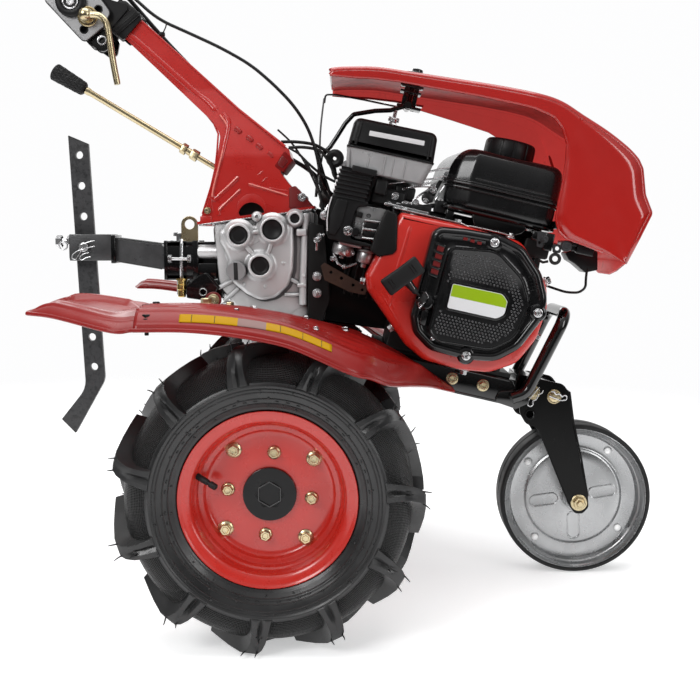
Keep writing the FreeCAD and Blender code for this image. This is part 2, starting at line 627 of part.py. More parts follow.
F_REAR = [(-303, [(335, 441.5), (338, 441.3), (342, 441), (346, 440)]),
          (-262, [(238, 455), (245, 452), (360, 440), (368, 437)]),
          (-185, [(240, 447), (250, 445), (392, 427), (406, 423)]),
          (-160, [(251, 440.2), (262, 440.2), (385, 424.2), (401.5, 420.2)]),
          (-140, [(240, 439.5), (262, 439.4), (385, 424.8), (401.5, 420.2)])]
put("right_fender", side_sheet(F_MAIN, -1))
put("left_fender", side_sheet(F_LEFT, 1))
put("fender_extensions", group(side_sheet(F_REAR, -1), side_sheet(F_REAR, 1)))

# ------------------------------------------------------------------ rear hitch
hitch = fuse(box(-184, -134, -34, 34, 470, 529).cut(box(-196, -150, -22, 22, 478, 521)),
             box(-134, -100, -34, 34, 470, 529).cut(box(-134, -90, -40, -16, 495, 530)))
hitch = hitch.cut(cyl_z(-162, 0, 8.05, 460, 540))
tab = plate_y([(-158, 529), (-158, 568), (-130, 568), (-130, 529)], -30, -25, [0, 13, 13, 0], holes=[(-143, 557, 7)])
hitch = fuse(hitch, tab, box(-118, -90, -34, 34, 440, 470), box(-150, -98, -46, -34, 440, 486)).cut(gearbox)
hitch = hitch.cut(cyl_x(-28, 513, 11.02, -140, -90))
put("hitch_bracket", group(*[q for q in hitch.cut(column).Solids if q.Volume > 2000]))
hitch_pin = fuse(cyl_z(-162, 0, 7.95, 445, 536), cyl_z(-162, 0, 12, 536, 541))
beam = plate_y([(-272, 500), (-272, 534), (-190, 524), (-186, 519.5), (-152, 519.5), (-152, 479.5), (-190, 486)], -17, 17, 0)
beam = beam.cut(cyl_z(-162, 0, 8.1, 440, 560))
a = math.radians(COULTER_LEAN)
clampb = box(-338, -262, -24, 24, 499, 541)
drawbar = fuse(beam, clampb)
put("drawbar", drawbar)

cw = 15.5
def on_bar(z, off=0.0):
    """X of the coulter's middle line at height z."""
    return -303.8 - (z - 332.0) * math.tan(a) + off


coulter_pts = [(on_bar(688, -cw), 694), (on_bar(688, cw), 681), (on_bar(308, cw), 308), (-336, 222), (-358, 245),
               (on_bar(295, -cw), 295)]
coulter = plate_y(coulter_pts, -4, 4, [1, 1, 30, 1, 1, 40])
pin_z = 520.5
for k in (-4, -3, -2, 0, 1, 2, 3):
    z = pin_z + 47.7 * k
    coulter = coulter.cut(cyl_y(on_bar(z), z, 6.0, -10, 10))
put("coulter", coulter)
g = 0.6
pocket = plate_y([(on_bar(440, -cw - g), 440), (on_bar(600, -cw - g), 600), (on_bar(600, cw + g), 600),
                  (on_bar(440, cw + g), 440)], -4 - g, 4 + g, 0)
NODES["drawbar"] = NODES["drawbar"].cut(pocket).cut(cyl_y(on_bar(pin_z), pin_z, 5.0, -40, -4 - g)).cut(
    cyl_y(on_bar(pin_z), pin_z, 5.0, 4 + g, 40))
coulter_pin = group(cyl_y(on_bar(pin_z), pin_z, 4.95, -34, -5.2), cyl_y(on_bar(pin_z), pin_z, 4.95, 5.2, 30))
put("hitch_pins", group(hitch_pin, coulter_pin, fuse(cyl_x(0, 529, 6, -358, -338), cyl_x(0, 529, 10, -364, -356))))

# ------------------------------------------------------------------- front leg
fork = []
leg_pts = [(370, 262), (370, 300), (377, 315), (398, 316.5), (437, 308), (446, 296), (453, 249), (480, 128), (481, 112),
           (472, 102), (460, 102), (452, 112), (405, 224), (396, 240), (380, 245)]
for y0, y1 in ((-FORK_Y1, -FORK_Y0), (FORK_Y0, FORK_Y1)):
    fork.append(plate_y(leg_pts, y0, y1, [16, 14, 10, 16, 14, 14, 60, 8, 8, 8, 8, 8, 30, 14, 14],
                        holes=[(P1[0], P1[1], 6.05), (P2[0], P2[1], 6.05), (PH[0], PH[1], 6.05)]))
web = plate_y([(447, 296), (454, 249), (449, 248), (442, 296)], -FORK_Y1, FORK_Y1, 0)
web = fuse(web, plate_y([(454, 250), (449, 250), (448, 244), (453.2, 246)], -FORK_Y1, FORK_Y1, 0))
leg = fuse(fork[0], fork[1], web)
leg = leg.cut(cyl_y(FWX, FWZ, 7.05, -70, 70))
put("front_leg", leg)
put("front_axle", fuse(cyl_y(FWX, FWZ, 7.0, -62, 62), cyl_y(FWX, FWZ, 11, -59, -51.2), cyl_y(FWX, FWZ, 11, 51.2, 59)))
put("leg_pivot_pin", fuse(cyl_y(P1[0], P1[1], 6.0, -59, 55), cyl_y(P1[0], P1[1], 9, 51.2, 56)))
put("leg_lock_pin", group(fuse(cyl_y(P2[0], P2[1], 6.0, -54.8, -44.5), cyl_y(P2[0], P2[1], 9, -54.8, -51.05)),
                          fuse(cyl_y(P2[0], P2[1], 6.0, 44.5, 54.8), cyl_y(P2[0], P2[1], 9, 51.05, 54.8))))


def fw_rev(pts):
    loop = [V(r, o, 0) for (r, o) in pts]
    s = Part.Face(Part.makePolygon(loop + [loop[0]])).revolve(V(0, 0, 0), V(0, 1, 0), 360)
    s.translate(V(FWX, 0, FWZ))
    return s


put("front_tyre", fw_rev([(113, -27), (114.5, -28), (118, -28), (FW_R, -26), (FW_R, 26), (118, 28), (114.5, 28), (113, 27)]))
disc = fw_rev([(7.05, -38), (18, -38), (18, -8), (74, -8), (79, -4.5), (100.5, -4.5), (103, -7), (109, -23), (112.9, -26.5),
               (112.9, 26.5), (109, 23), (103, 7), (100.5, 4.5), (79, 4.5), (74, 8), (18, 8), (18, 38), (7.05, 38)])
disc = disc.cut(fw_rev([(18, -5.5), (73, -5.5), (76, -2.5), (76, 2.5), (73, 5.5), (18, 5.5)]))
disc = disc.cut(fw_rev([(105, -7), (110.5, -21.5), (110.5, 21.5), (105, 7)]))
put("front_wheel", disc)

# ------------------------------------------------------------------- cables
put("throttle_cable", tube_on([(-250, -21, 919), (-226, -24, 900), (-188, -27, 866), (-140, -28, 845), (-90, -30, 822),
                               (-46, -32, 797), (-11, -36, 767), (19, -40, 736), (41, -44, 702), (54, -46, 664),
                               (60, -36, 627), (76, -12, 600), (110, -7, 589), (146, -14, 590)], 2.5, "throttle_cable"))
put("clutch_cable", tube_on([(-250, 24, 917), (-225, 31, 888), (-190, 35, 848), (-150, 37, 806), (-110, 41, 765),
                             (-71, 48, 727), (-34, 55, 691), (4, 58, 665), (34, 63, 648), (54, 78, 632), (61, 96, 611),
                             (57, 108, 586)], 3.5, "clutch_cable"))
bar_cables = [tube_on([(-272, -20, 941), (-302, -20, 961), (-344, -26, 986), (-390, -38, 1010), (-434, -64, 1026),
                       (-478, -104, 1032), (-522, -150, 1028), (-566, -192, 1022), (-610, -231, 1016), (-652, -264, 1014),
                       (-688, -287, 1019), (-720.5, -297, 1024)], 2.5, "bar throttle"),
              tube_on([(-272, 22, 939), (-302, 22, 957), (-342, 27, 981), (-386, 38, 1005), (-430, 60, 1021),
                       (-474, 96, 1028), (-516, 140, 1030), (-560, 186, 1027), (-606, 226, 1022), (-650, 260, 1018),
                       (-688, 285, 1020), (-720.5, 297, 1025)], 3.5, "bar clutch")]
put("handlebar_cables", group(*bar_cables))
wires = [tube_on([(-6, -29, 700), (15, -34, 681), (33, -37, 655), (50, -38, 622), (60, -46, 594), (62, -54, 574)], 1.5, "stop wire"),
         tube_on([(62, 106, 764), (60, 84, 742), (58, 56, 716), (57, 26, 686), (58, 4, 652), (62, -4, 618), (76, 4, 588), (98, 12, 570),
                  (120, 14, 557)], 1.5, "hood wire"),
         tube_on([(481, -24, 510), (475, -28, 488), (473, -30, 470), (473, -30, 457), (464, -24, 449), (446, -16, 449), (428, -8, 455),
                  (411, -2, 461), (392, 6, 464)], 2.0, "lamp lead")]
put("wiring", group(*wires))

# ------------------------------------------------------------------- export
for name, shape in NODES.items():
    s = shape.copy()
    s.translate(V(-SHIFT_X, 0, 0))
    ok = s.isValid()
    vols = [round(q.Volume / 1000.0, 1) for q in s.Solids]
    print("%-20s valid %s solids %d cm3 %s" % (name, ok, len(s.Solids), vols))
    s.exportStep("parts/" + name + ".step")
allb = Part.makeCompound(list(NODES.values())).BoundBox
print("BOX", [round(v, 1) for v in (allb.XMin, allb.XMax, allb.YMin, allb.YMax, allb.ZMin, allb.ZMax)], len(NODES))
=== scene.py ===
import bpy, bmesh, math, random
from mathutils import Matrix, Vector


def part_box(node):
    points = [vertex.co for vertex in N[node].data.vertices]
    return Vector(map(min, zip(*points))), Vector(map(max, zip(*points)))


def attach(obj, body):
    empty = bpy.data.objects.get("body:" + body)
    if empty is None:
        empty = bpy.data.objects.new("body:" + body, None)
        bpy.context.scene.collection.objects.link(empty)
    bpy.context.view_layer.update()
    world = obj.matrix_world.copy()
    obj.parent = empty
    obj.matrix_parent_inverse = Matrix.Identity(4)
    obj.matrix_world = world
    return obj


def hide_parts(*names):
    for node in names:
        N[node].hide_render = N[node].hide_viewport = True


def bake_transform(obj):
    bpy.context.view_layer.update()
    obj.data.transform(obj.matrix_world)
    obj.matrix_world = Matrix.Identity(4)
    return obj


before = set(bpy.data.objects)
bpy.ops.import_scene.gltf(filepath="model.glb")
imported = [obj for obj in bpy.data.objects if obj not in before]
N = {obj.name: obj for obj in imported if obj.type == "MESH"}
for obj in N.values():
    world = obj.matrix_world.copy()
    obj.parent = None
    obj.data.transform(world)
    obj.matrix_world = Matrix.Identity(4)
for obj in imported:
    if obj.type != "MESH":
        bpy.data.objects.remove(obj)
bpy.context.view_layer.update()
random.seed(7)
D = math.radians
_lo, _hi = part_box("axle_shaft")
AX, AZ = (_lo.x + _hi.x) / 2, (_lo.z + _hi.z) / 2          # drive axle line
# MT: millimetres from the axle's foot on the floor; ET: millimetres in the nose-down engine frame, from the axle
MT = Matrix.Translation((AX, 0, 0)) @ Matrix.Scale(0.001, 4)
ET = Matrix.Translation((AX, 0, AZ)) @ Matrix.Rotation(D(13), 4, 'Y') @ Matrix.Scale(0.001, 4)
EM = MT.inverted() @ ET                                    # engine frame mm -> axle frame mm
ME = EM.inverted()


# ------------------------------------------------------------------ mesh kit
class Kit:
    def __init__(self):
        self.v, self.f, self.m = [], [], []

    def add(self, vs, fs, m=0, M=None):
        o = len(self.v)
        for p in vs:
            p = Vector(p)
            self.v.append(tuple(M @ p) if M is not None else tuple(p))
        for f in fs:
            self.f.append(tuple(o + i for i in f))
            self.m.append(m)
        return self


def basis(p, axis, up=None):
    """Matrix whose Z is axis, placed at p."""
    z = Vector(axis).normalized()
    x = Vector(up) if up is not None else (Vector((0, 0, 1)) if abs(z.z) < 0.9 else Vector((1, 0, 0)))
    x = (x - z * x.dot(z)).normalized()
    y = z.cross(x)
    M = Matrix.Identity(4)
    for i in range(3):
        M[i][0], M[i][1], M[i][2], M[i][3] = x[i], y[i], z[i], p[i]
    return M


def lathe(k, prof, p=(0, 0, 0), axis=(0, 0, 1), seg=48, m=0, closed=False, mats=None, M=None):
    """Turned shape: prof is (radius, height) along axis from p."""
    B = basis(p, axis)
    if M is not None:
        B = M @ B
    rings, vs = [], []
    for (r, h) in prof:
        if r < 1e-6:
            rings.append([len(vs)])
            vs.append((0, 0, h))
        else:
            rings.append(list(range(len(vs), len(vs) + seg)))
            vs += [(r * math.cos(2 * math.pi * i / seg), r * math.sin(2 * math.pi * i / seg), h) for i in range(seg)]
    pairs = list(zip(range(len(rings) - 1), range(1, len(rings))))
    if closed:
        pairs.append((len(rings) - 1, 0))
    for q, (a, b) in enumerate(pairs):
        A, C = rings[a], rings[b]
        fs = []
        for i in range(seg):
            j = (i + 1) % seg
            if len(A) == 1 and len(C) == 1:
                continue
            if len(A) == 1:
                fs.append((A[0], C[j], C[i]))
            elif len(C) == 1:
                fs.append((A[i], A[j], C[0]))
            else:
                fs.append((A[i], A[j], C[j], C[i]))
        if q == 0:
            o = len(k.v)
            for v in vs:
                k.v.append(tuple(B @ Vector(v)))
        for f in fs:
            k.f.append(tuple(o + i for i in f))
            k.m.append(mats[q] if mats else m)
    return k


def frames(pts, closed=False):
    n = len(pts)
    T = []
    for i in range(n):
        if closed:
            t = pts[(i + 1) % n] - pts[i - 1]
        else:
            t = pts[min(n - 1, i + 1)] - pts[max(0, i - 1)]
        T.append(t.normalized())
    u = Vector((0, 0, 1)) if abs(T[0].z) < 0.9 else Vector((1, 0, 0))
    u = (u - T[0] * u.dot(T[0])).normalized()
    out = []
    for t in T:
        u = (u - t * u.dot(t)).normalized()
        out.append((u, t.cross(u)))
    return out


def tube(k, pts, r, seg=12, m=0, closed=False, caps=True, M=None, flat=1.0, dome=False):
    """Round bar or wire through the points."""
    pts = [Vector(p) for p in pts]
    fr = frames(pts, closed)
    n = len(pts)
    rr = r if isinstance(r, (list, tuple)) else [r] * n
    vs, fs = [], []
    for i in range(n):
        u, w = fr[i]
        for j in range(seg):
            a = 2 * math.pi * j / seg
            vs.append(pts[i] + u * (math.cos(a) * rr[i]) + w * (math.sin(a) * rr[i] * flat))
    for i in range(n if closed else n - 1):
        i2 = (i + 1) % n
        for j in range(seg):
            j2 = (j + 1) % seg
            fs.append((i * seg + j, i * seg + j2, i2 * seg + j2, i2 * seg + j))
    if caps and not closed:
        fs.append(tuple(range(seg)))
        fs.append(tuple((n - 1) * seg + j for j in range(seg)))
    k.add(vs, fs, m, M)
    return k


def spline(points, n=8, closed=False):
    """Smooth line through the points."""
    P = [Vector(p) for p in points]
    out, c = [], len(P)
    for i in range(c if closed else c - 1):
        if closed:
            a, b, d, e = P[i - 1], P[i], P[(i + 1) % c], P[(i + 2) % c]
        else:
            b, d = P[i], P[i + 1]
            a = P[i - 1] if i else b * 2 - d
            e = P[i + 2] if i + 2 < c else d * 2 - b
        for s in range(n):
            t = s / n
            out.append(0.5 * ((2 * b) + (d - a) * t + (2 * a - 5 * b + 4 * d - e) * t * t + (3 * b - a - 3 * d + e) * t ** 3))
    if not closed:
        out.append(P[-1])
    return out


def bent(points, r, n=6):
    """Polyline of a bent rod: straight runs with a bend of radius r at each corner."""
    P = [Vector(p) for p in points]
    out = [P[0]]
    for i in range(1, len(P) - 1):
        a, b, c = P[i - 1], P[i], P[i + 1]
        u, v = (a - b), (c - b)
        lu, lv = u.length, v.length
        u.normalize(); v.normalize()
        ang = math.acos(max(-1, min(1, u.dot(v))))
        t = min(r / math.tan(max(ang, 0.05) / 2), 0.48 * lu, 0.48 * lv)
        rr = t * math.tan(ang / 2)
        mid = (u + v)
        if mid.length < 1e-6:
            out.append(b)
            continue
        mid.normalize()
        cen = b + mid * (rr / math.sin(ang / 2))
        p1, p2 = b + u * t - cen, b + v * t - cen
        q = p1.rotation_difference(p2)
        for s in range(n + 1):
            qq = Matrix.Identity(3).to_quaternion().slerp(q, s / n)
            out.append(cen + qq @ p1)
    out.append(P[-1])
    return out


def rnd(points, r, n=5):
    """Closed 2-D outline with rounded corners."""
    c = len(points)
    rs = r if isinstance(r, (list, tuple)) else [r] * c
    out = []
    for i in range(c):
        a, b, d = Vector(points[i - 1]), Vector(points[i]), Vector(points[(i + 1) % c])
        u, v = a - b, d - b
        lu, lv = u.length, v.length
        u.normalize(); v.normalize()
        ang = math.acos(max(-1, min(1, u.dot(v))))
        if rs[i] <= 0 or ang > math.pi - 0.03:
            out.append(tuple(b))
            continue
        t = min(rs[i] / math.tan(ang / 2), 0.49 * lu, 0.49 * lv)
        rr = t * math.tan(ang / 2)
        mid = (u + v).normalized()
        cen = b + mid * (rr / math.sin(ang / 2))
        p1, p2 = b + u * t - cen, b + v * t - cen
        a0 = math.atan2(p1.y, p1.x)
        a1 = math.atan2(p2.y, p2.x)
        da = (a1 - a0 + math.pi) % (2 * math.pi) - math.pi
        for s in range(n + 1):
            aa = a0 + da * s / n
            out.append((cen.x + rr * math.cos(aa), cen.y + rr * math.sin(aa)))
    return out


def inset(poly, d):
    """Outline moved inward by d."""
    n = len(poly)
    area = sum(poly[i - 1][0] * poly[i][1] - poly[i][0] * poly[i - 1][1] for i in range(n))
    s = 1 if area > 0 else -1
    out = []
    for i in range(n):
        a, b, c = Vector(poly[i - 1]), Vector(poly[i]), Vector(poly[(i + 1) % n])
        e1, e2 = (b - a), (c - b)
        if e1.length < 1e-9 or e2.length < 1e-9:
            e1 = e1 if e1.length > e2.length else e2
            e2 = e1
        e1.normalize(); e2.normalize()
        n1, n2 = Vector((-e1.y, e1.x)) * s, Vector((-e2.y, e2.x)) * s
        m = n1 + n2
        if m.length < 1e-6:
            m = n1
        m.normalize()
        k = 1 / max(0.5, m.dot(n1))
        out.append((b.x + m.x * d * k, b.y + m.y * d * k))
    return out


def PX(a, b, h): return (h, a, b)
def PY(a, b, h): return (a, h, b)
def PZ(a, b, h): return (a, b, h)


def prism(k, poly, P, h0, h1, bev=0.0, m=0, n=3, both=True, caps=(True, True), capmat=None, M=None):
    """Outline carried from h0 to h1 with rounded rims (bev). caps say which ends are closed."""
    rings = []
    sgn = 1 if h1 > h0 else -1
    if bev > 0:
        if both:
            for s in range(n + 1):
                a = math.pi / 2 * s / n
                rings.append((inset(poly, bev * (1 - math.sin(a))), h0 + sgn * bev * (1 - math.cos(a))))
        else:
            rings.append((poly, h0))
        for s in range(n + 1):
            a = math.pi / 2 * s / n
            rings.append((inset(poly, bev * (1 - math.cos(a))), h1 - sgn * bev * (1 - math.sin(a))))
    else:
        rings = [(poly, h0), (poly, h1)]
    c = len(poly)
    vs, fs, ms = [], [], []
    for pl, h in rings:
        vs += [P(q[0], q[1], h) for q in pl]
    for i in range(len(rings) - 1):
        for j in range(c):
            j2 = (j + 1) % c
            fs.append((i * c + j, i * c + j2, (i + 1) * c + j2, (i + 1) * c + j))
            ms.append(m)
    if caps[0]:
        fs.append(tuple(range(c)))
        ms.append(m if capmat is None else capmat)
    if caps[1]:
        fs.append(tuple((len(rings) - 1) * c + j for j in range(c)))
        ms.append(m if capmat is None else capmat)
    o = len(k.v)
    for p in vs:
        p = Vector(p)
        k.v.append(tuple(M @ p) if M is not None else tuple(p))
    for f, mm in zip(fs, ms):
        k.f.append(tuple(o + i for i in f))
        k.m.append(mm)
    return k


def rbox(k, c, h, bev=1.5, m=0, M=None, n=3):
    """Block with rounded edges: centre c, half sizes h."""
    bm = bmesh.new()
    bmesh.ops.create_cube(bm, size=2)
    for v in bm.verts:
        v.co = Vector((v.co.x * h[0], v.co.y * h[1], v.co.z * h[2]))
    bmesh.ops.bevel(bm, geom=bm.edges[:], offset=min(bev, min(h) * 0.95), segments=n, profile=0.5, affect='EDGES')
    bm.verts.index_update()
    k.add([v.co + Vector(c) for v in bm.verts], [[v.index for v in f.verts] for f in bm.faces], m, M)
    bm.free()
    return k


def hexa(k, p, axis, af, h, m=0, M=None, cham=0.12, turn=0.0, recess=True):
    """Hexagon head standing on p along axis."""
    B = basis(p, axis)
    if M is not None:
        B = M @ B
    rc = af / 2 / math.cos(math.pi / 6)
    ch = af * cham * 0.6
    rings = [(rc, 0), (rc, h - ch), (rc * 0.86, h)]
    if recess:
        rings += [(rc * 0.62, h), (rc * 0.50, h - af * 0.07), (0.01, h - af * 0.08)]
    vs, fs = [], []
    for (r, z) in rings:
        for i in range(6):
            a = math.pi / 3 * i + turn
            vs.append((r * math.cos(a), r * math.sin(a), z))
    for q in range(len(rings) - 1):
        for i in range(6):
            j = (i + 1) % 6
            fs.append((q * 6 + i, q * 6 + j, (q + 1) * 6 + j, (q + 1) * 6 + i))
    fs.append(tuple(range((len(rings) - 1) * 6, len(rings) * 6)))
    k.add(vs, fs, m, B)
    return k


def bolt(k, p, axis, af=13, h=7, wr=None, wt=1.6, m=0, wm=None, M=None, turn=None, stub=0):
    """Hexagon bolt head with its washer or flange, standing on p."""
    wr = wr or af * 0.78
    wm = m if wm is None else wm
    turn = random.uniform(0, 1) if turn is None else turn
    lathe(k, [(0, 0), (wr, 0), (wr, wt * 0.6), (wr * 0.93, wt), (af * 0.4, wt + 0.4)], p, axis, 28, wm, M=M)
    q = Vector(p) + Vector(axis).normalized() * wt
    hexa(k, q, axis, af, h, m, M, turn=turn)
    if stub:
        lathe(k, [(af * 0.3, 0), (af * 0.3, h + stub - 0.6), (af * 0.24, h + stub), (0, h + stub)], q, axis, 16, m, M=M)
    return k


def screw(k, p, axis, r=5, h=3, m=0, M=None, turn=0.4):
    """Pan-head cross screw."""
    lathe(k, [(0, 0), (r * 1.25, 0), (r * 1.25, 0.8), (r, 0.9), (r * 0.96, h * 0.55), (r * 0.7, h * 0.95), (r * 0.42, h),
              (r * 0.3, h - 1.1), (0, h - 1.3)], p, axis, 24, m, M=M)
    return k


def ringwire(k, c, axis, R, r, m=0, seg=28, M=None, a0=0.0, a1=2 * math.pi):
    B = basis(c, axis)
    full = abs(a1 - a0 - 2 * math.pi) < 1e-6
    n = seg if full else seg + 1
    pts = [B @ Vector((R * math.cos(a0 + (a1 - a0) * i / seg), R * math.sin(a0 + (a1 - a0) * i / seg), 0)) for i in range(n)]
    tube(k, pts, r, 8, m, closed=full, M=M)
    return k


def make(name, k, mats, body, T=MT, angle=38, solid=0, sub=0, weld=0.002, normals=True, off=0):
    me = bpy.data.meshes.new(name)
    me.from_pydata(k.v, [], k.f)
    for mt in mats:
        me.materials.append(mt)
    me.polygons.foreach_set('material_index', k.m)
    bm = bmesh.new()
    bm.from_mesh(me)
    bmesh.ops.remove_doubles(bm, verts=bm.verts, dist=weld)
    bmesh.ops.dissolve_degenerate(bm, edges=bm.edges, dist=weld * 0.5)
    if normals:
        bmesh.ops.recalc_face_normals(bm, faces=bm.faces)
    bm.transform(T)
    bm.to_mesh(me)
    bm.free()
    me.polygons.foreach_set('use_smooth', [True] * len(me.polygons))
    me.set_sharp_from_angle(angle=D(angle))
    me.update()
    ob = bpy.data.objects.new(name, me)
    bpy.context.scene.collection.objects.link(ob)
    if solid:
        md = ob.modifiers.new('sheet', 'SOLIDIFY')
        md.thickness = solid * 0.001
        md.offset = off
    if sub:
        md = ob.modifiers.new('round', 'SUBSURF')
        md.levels = md.render_levels = sub
    if body:
        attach(ob, body)
    return ob


# ----------------------------------------------------------------- materials
def srgb(r, g, b):
    f = lambda c: c / 12.92 if c <= 0.04045 else ((c + 0.055) / 1.055) ** 2.4
    return tuple(f(x / 255.0) for x in (r, g, b)) + (1.0,)


def base_nodes(name):
    m = bpy.data.materials.new(name)
    m.use_nodes = True
    nt = m.node_tree
    nt.nodes.clear()
    out = nt.nodes.new('ShaderNodeOutputMaterial')
    b = nt.nodes.new('ShaderNodeBsdfPrincipled')
    nt.links.new(b.outputs[0], out.inputs[0])
    return m, nt, b


def noise(nt, vec, scale, detail=3, rough=0.55, out='Fac'):
    n = nt.nodes.new('ShaderNodeTexNoise')
    n.inputs['Scale'].default_value = scale
    n.inputs['Detail'].default_value = detail
    n.inputs['Roughness'].default_value = rough
    nt.links.new(vec, n.inputs['Vector'])
    return n.outputs[out]


def ramp(nt, fac, a, b, va, vb, kind='LINEAR'):
    r = nt.nodes.new('ShaderNodeMapRange')
    r.interpolation_type = kind
    r.inputs['From Min'].default_value = a
    r.inputs['From Max'].default_value = b
    r.inputs['To Min'].default_value = va
    r.inputs['To Max'].default_value = vb
    nt.links.new(fac, r.inputs['Value'])
    return r.outputs['Result']


def mixc(nt, fac, a, b):
    x = nt.nodes.new('ShaderNodeMix')
    x.data_type = 'RGBA'
    if hasattr(fac, 'is_linked'):
        nt.links.new(fac, x.inputs[0])
    else:
        x.inputs[0].default_value = fac
    for s, v in ((6, a), (7, b)):
        if isinstance(v, tuple):
            x.inputs[s].default_value = v
        else:
            nt.links.new(v, x.inputs[s])
    return x.outputs[2]


def scl(c, k):
    return (min(1, c[0] * k), min(1, c[1] * k), min(1, c[2] * k), 1)


def surf(name, col, rough=0.4, metal=0.0, coat=0.0, coat_rough=0.06, var=0.08, var_scale=7, rv=0.08, rv_scale=26,
         grain=0.0, grain_scale=900, grain_dist=0.0003, bevel=0.0010, spec=0.5, col2=None, c2_scale=40, c2_lo=0.55, c2_hi=0.7,
         dust=None, dust_amt=0.3, dust_scale=14, stretch=None, painted_cavity_shade=0.0, painted_cavity_dist=0.006):
    m, nt, b = base_nodes(name)
    tc = nt.nodes.new('ShaderNodeTexCoord')
    vec = tc.outputs['Object']
    if stretch:
        mp = nt.nodes.new('ShaderNodeMapping')
        mp.inputs['Scale'].default_value = stretch
        nt.links.new(vec, mp.inputs['Vector'])
        svec = mp.outputs[0]
    else:
        svec = vec
    c = mixc(nt, ramp(nt, noise(nt, svec, var_scale, 4), 0.3, 0.7, 0, 1), scl(col, 1 - var), scl(col, 1 + var))
    if col2:
        c = mixc(nt, ramp(nt, noise(nt, svec, c2_scale, 5, 0.65), c2_lo, c2_hi, 0, 1), c, col2)
    if dust:
        up = nt.nodes.new('ShaderNodeNewGeometry')
        sep = nt.nodes.new('ShaderNodeSeparateXYZ')
        nt.links.new(up.outputs['Normal'], sep.inputs[0])
        a = ramp(nt, noise(nt, vec, dust_scale, 6, 0.7), 0.42, 0.75, 0, dust_amt)
        mm = nt.nodes.new('ShaderNodeMath')
        mm.operation = 'MULTIPLY'
        nt.links.new(a, mm.inputs[0])
        nt.links.new(ramp(nt, sep.outputs[2], -0.2, 1, 0.25, 1), mm.inputs[1])
        c = mixc(nt, mm.outputs[0], c, dust)
    # painted shade: the colour is darkened near corners and recesses, as the shade that falls there
    if painted_cavity_shade:
        an = nt.nodes.new('ShaderNodeAmbientOcclusion')
        an.samples = 6
        an.inputs['Distance'].default_value = painted_cavity_dist
        c = mixc(nt, ramp(nt, an.outputs['AO'], 0.30, 0.95, 0, 1), scl(col, 1 - painted_cavity_shade), c)
    nt.links.new(c, b.inputs['Base Color'])
    b.inputs['Metallic'].default_value = metal
    b.inputs['Specular IOR Level'].default_value = spec
    nt.links.new(ramp(nt, noise(nt, svec, rv_scale, 5, 0.6), 0.3, 0.7, max(0.02, rough - rv), rough + rv), b.inputs['Roughness'])
    b.inputs['Coat Weight'].default_value = coat
    b.inputs['Coat Roughness'].default_value = coat_rough
    nrm = None
    if bevel:
        bv = nt.nodes.new('ShaderNodeBevel')
        bv.samples = 3
        bv.inputs['Radius'].default_value = bevel
        nrm = bv.outputs[0]
    bp = nt.nodes.new('ShaderNodeBump')
    bp.inputs['Strength'].default_value = max(grain, 0.02)
    bp.inputs['Distance'].default_value = grain_dist
    nt.links.new(noise(nt, svec, grain_scale, 3), bp.inputs['Height'])
    if nrm is not None:
        nt.links.new(nrm, bp.inputs['Normal'])
    nt.links.new(bp.outputs[0], b.inputs['Normal'])
    return m


RED = srgb(184, 34, 28)
M_RED = surf('gloss_red', RED, 0.24, coat=0.7, coat_rough=0.05, var=0.07, grain=0.04, grain_scale=260, rv=0.05)
M_HOOD = surf('hood_red', srgb(172, 27, 22), 0.20, coat=0.8, coat_rough=0.05, var=0.05, grain=0.03, grain_scale=200, rv=0.05)
M_HOODIN_GLOW = surf('hood_inside_red_painted_glow', srgb(216, 84, 82), 0.45, var=0.12, var_scale=18, grain=0.1, grain_scale=300, col2=srgb(110, 40, 40), c2_scale=24,
                c2_lo=0.6, c2_hi=0.8)
# painted light: the hood's inside red glows faintly so that it looks lit inside the hood
_hb = [n for n in M_HOODIN_GLOW.node_tree.nodes if n.type == 'BSDF_PRINCIPLED'][0]
_hb.inputs['Emission Color'].default_value = (1.0, 0.105, 0.095, 1)
_hb.inputs['Emission Strength'].default_value = 0.26
# painted highlight: collars far lighter and glossier than the black cover they are punched in, as glints
M_GLINT = surf('punched_collar_painted_glint', (0.10, 0.10, 0.105, 1), 0.16, metal=0.4, var=0.2, var_scale=60, rv=0.1, spec=0.8, coat=1.0, coat_rough=0.05)
M_SHROUD = surf('shroud_red', srgb(200, 38, 28), 0.3, coat=0.5, coat_rough=0.08, var=0.06, grain=0.05, grain_scale=300, rv=0.06)
M_FENDER = surf('fender_red', srgb(138, 18, 15), 0.33, spec=0.3, coat=0.2, coat_rough=0.10, var=0.12, var_scale=11, grain=0.06, grain_scale=180,
                rv=0.08, dust=srgb(190, 105, 96), dust_amt=0.09, dust_scale=9)
M_COLUMN = surf('column_red', srgb(182, 30, 24), 0.32, coat=0.5, coat_rough=0.1, var=0.06, grain=0.06, grain_scale=320)
M_REDDARK = surf('dark_red', srgb(110, 16, 16), 0.35, coat=0.4, var=0.1, grain=0.06, grain_scale=300)
M_RIM = surf('rim_orange_red', srgb(184, 35, 25), 0.28, coat=0.55, coat_rough=0.1, var=0.05, grain=0.06, grain_scale=380)
M_BLACK = surf('satin_black', (0.006, 0.006, 0.0065, 1), 0.38, spec=0.22, var=0.35, rv=0.12, grain=0.12, grain_scale=420, coat=0.15,
               dust=(0.06, 0.06, 0.06, 1), dust_amt=0.06)
M_GLOSS = surf('gloss_black', (0.0022, 0.0022, 0.0025, 1), 0.14, spec=0.26, coat=0.8, coat_rough=0.04, var=0.3, rv=0.06, grain=0.03, grain_scale=220)
M_COVER = surf('recoil_black', (0.003, 0.003, 0.0034, 1), 0.22, spec=0.25, coat=0.55, coat_rough=0.07, var=0.3, rv=0.07, grain=0.05, grain_scale=240)
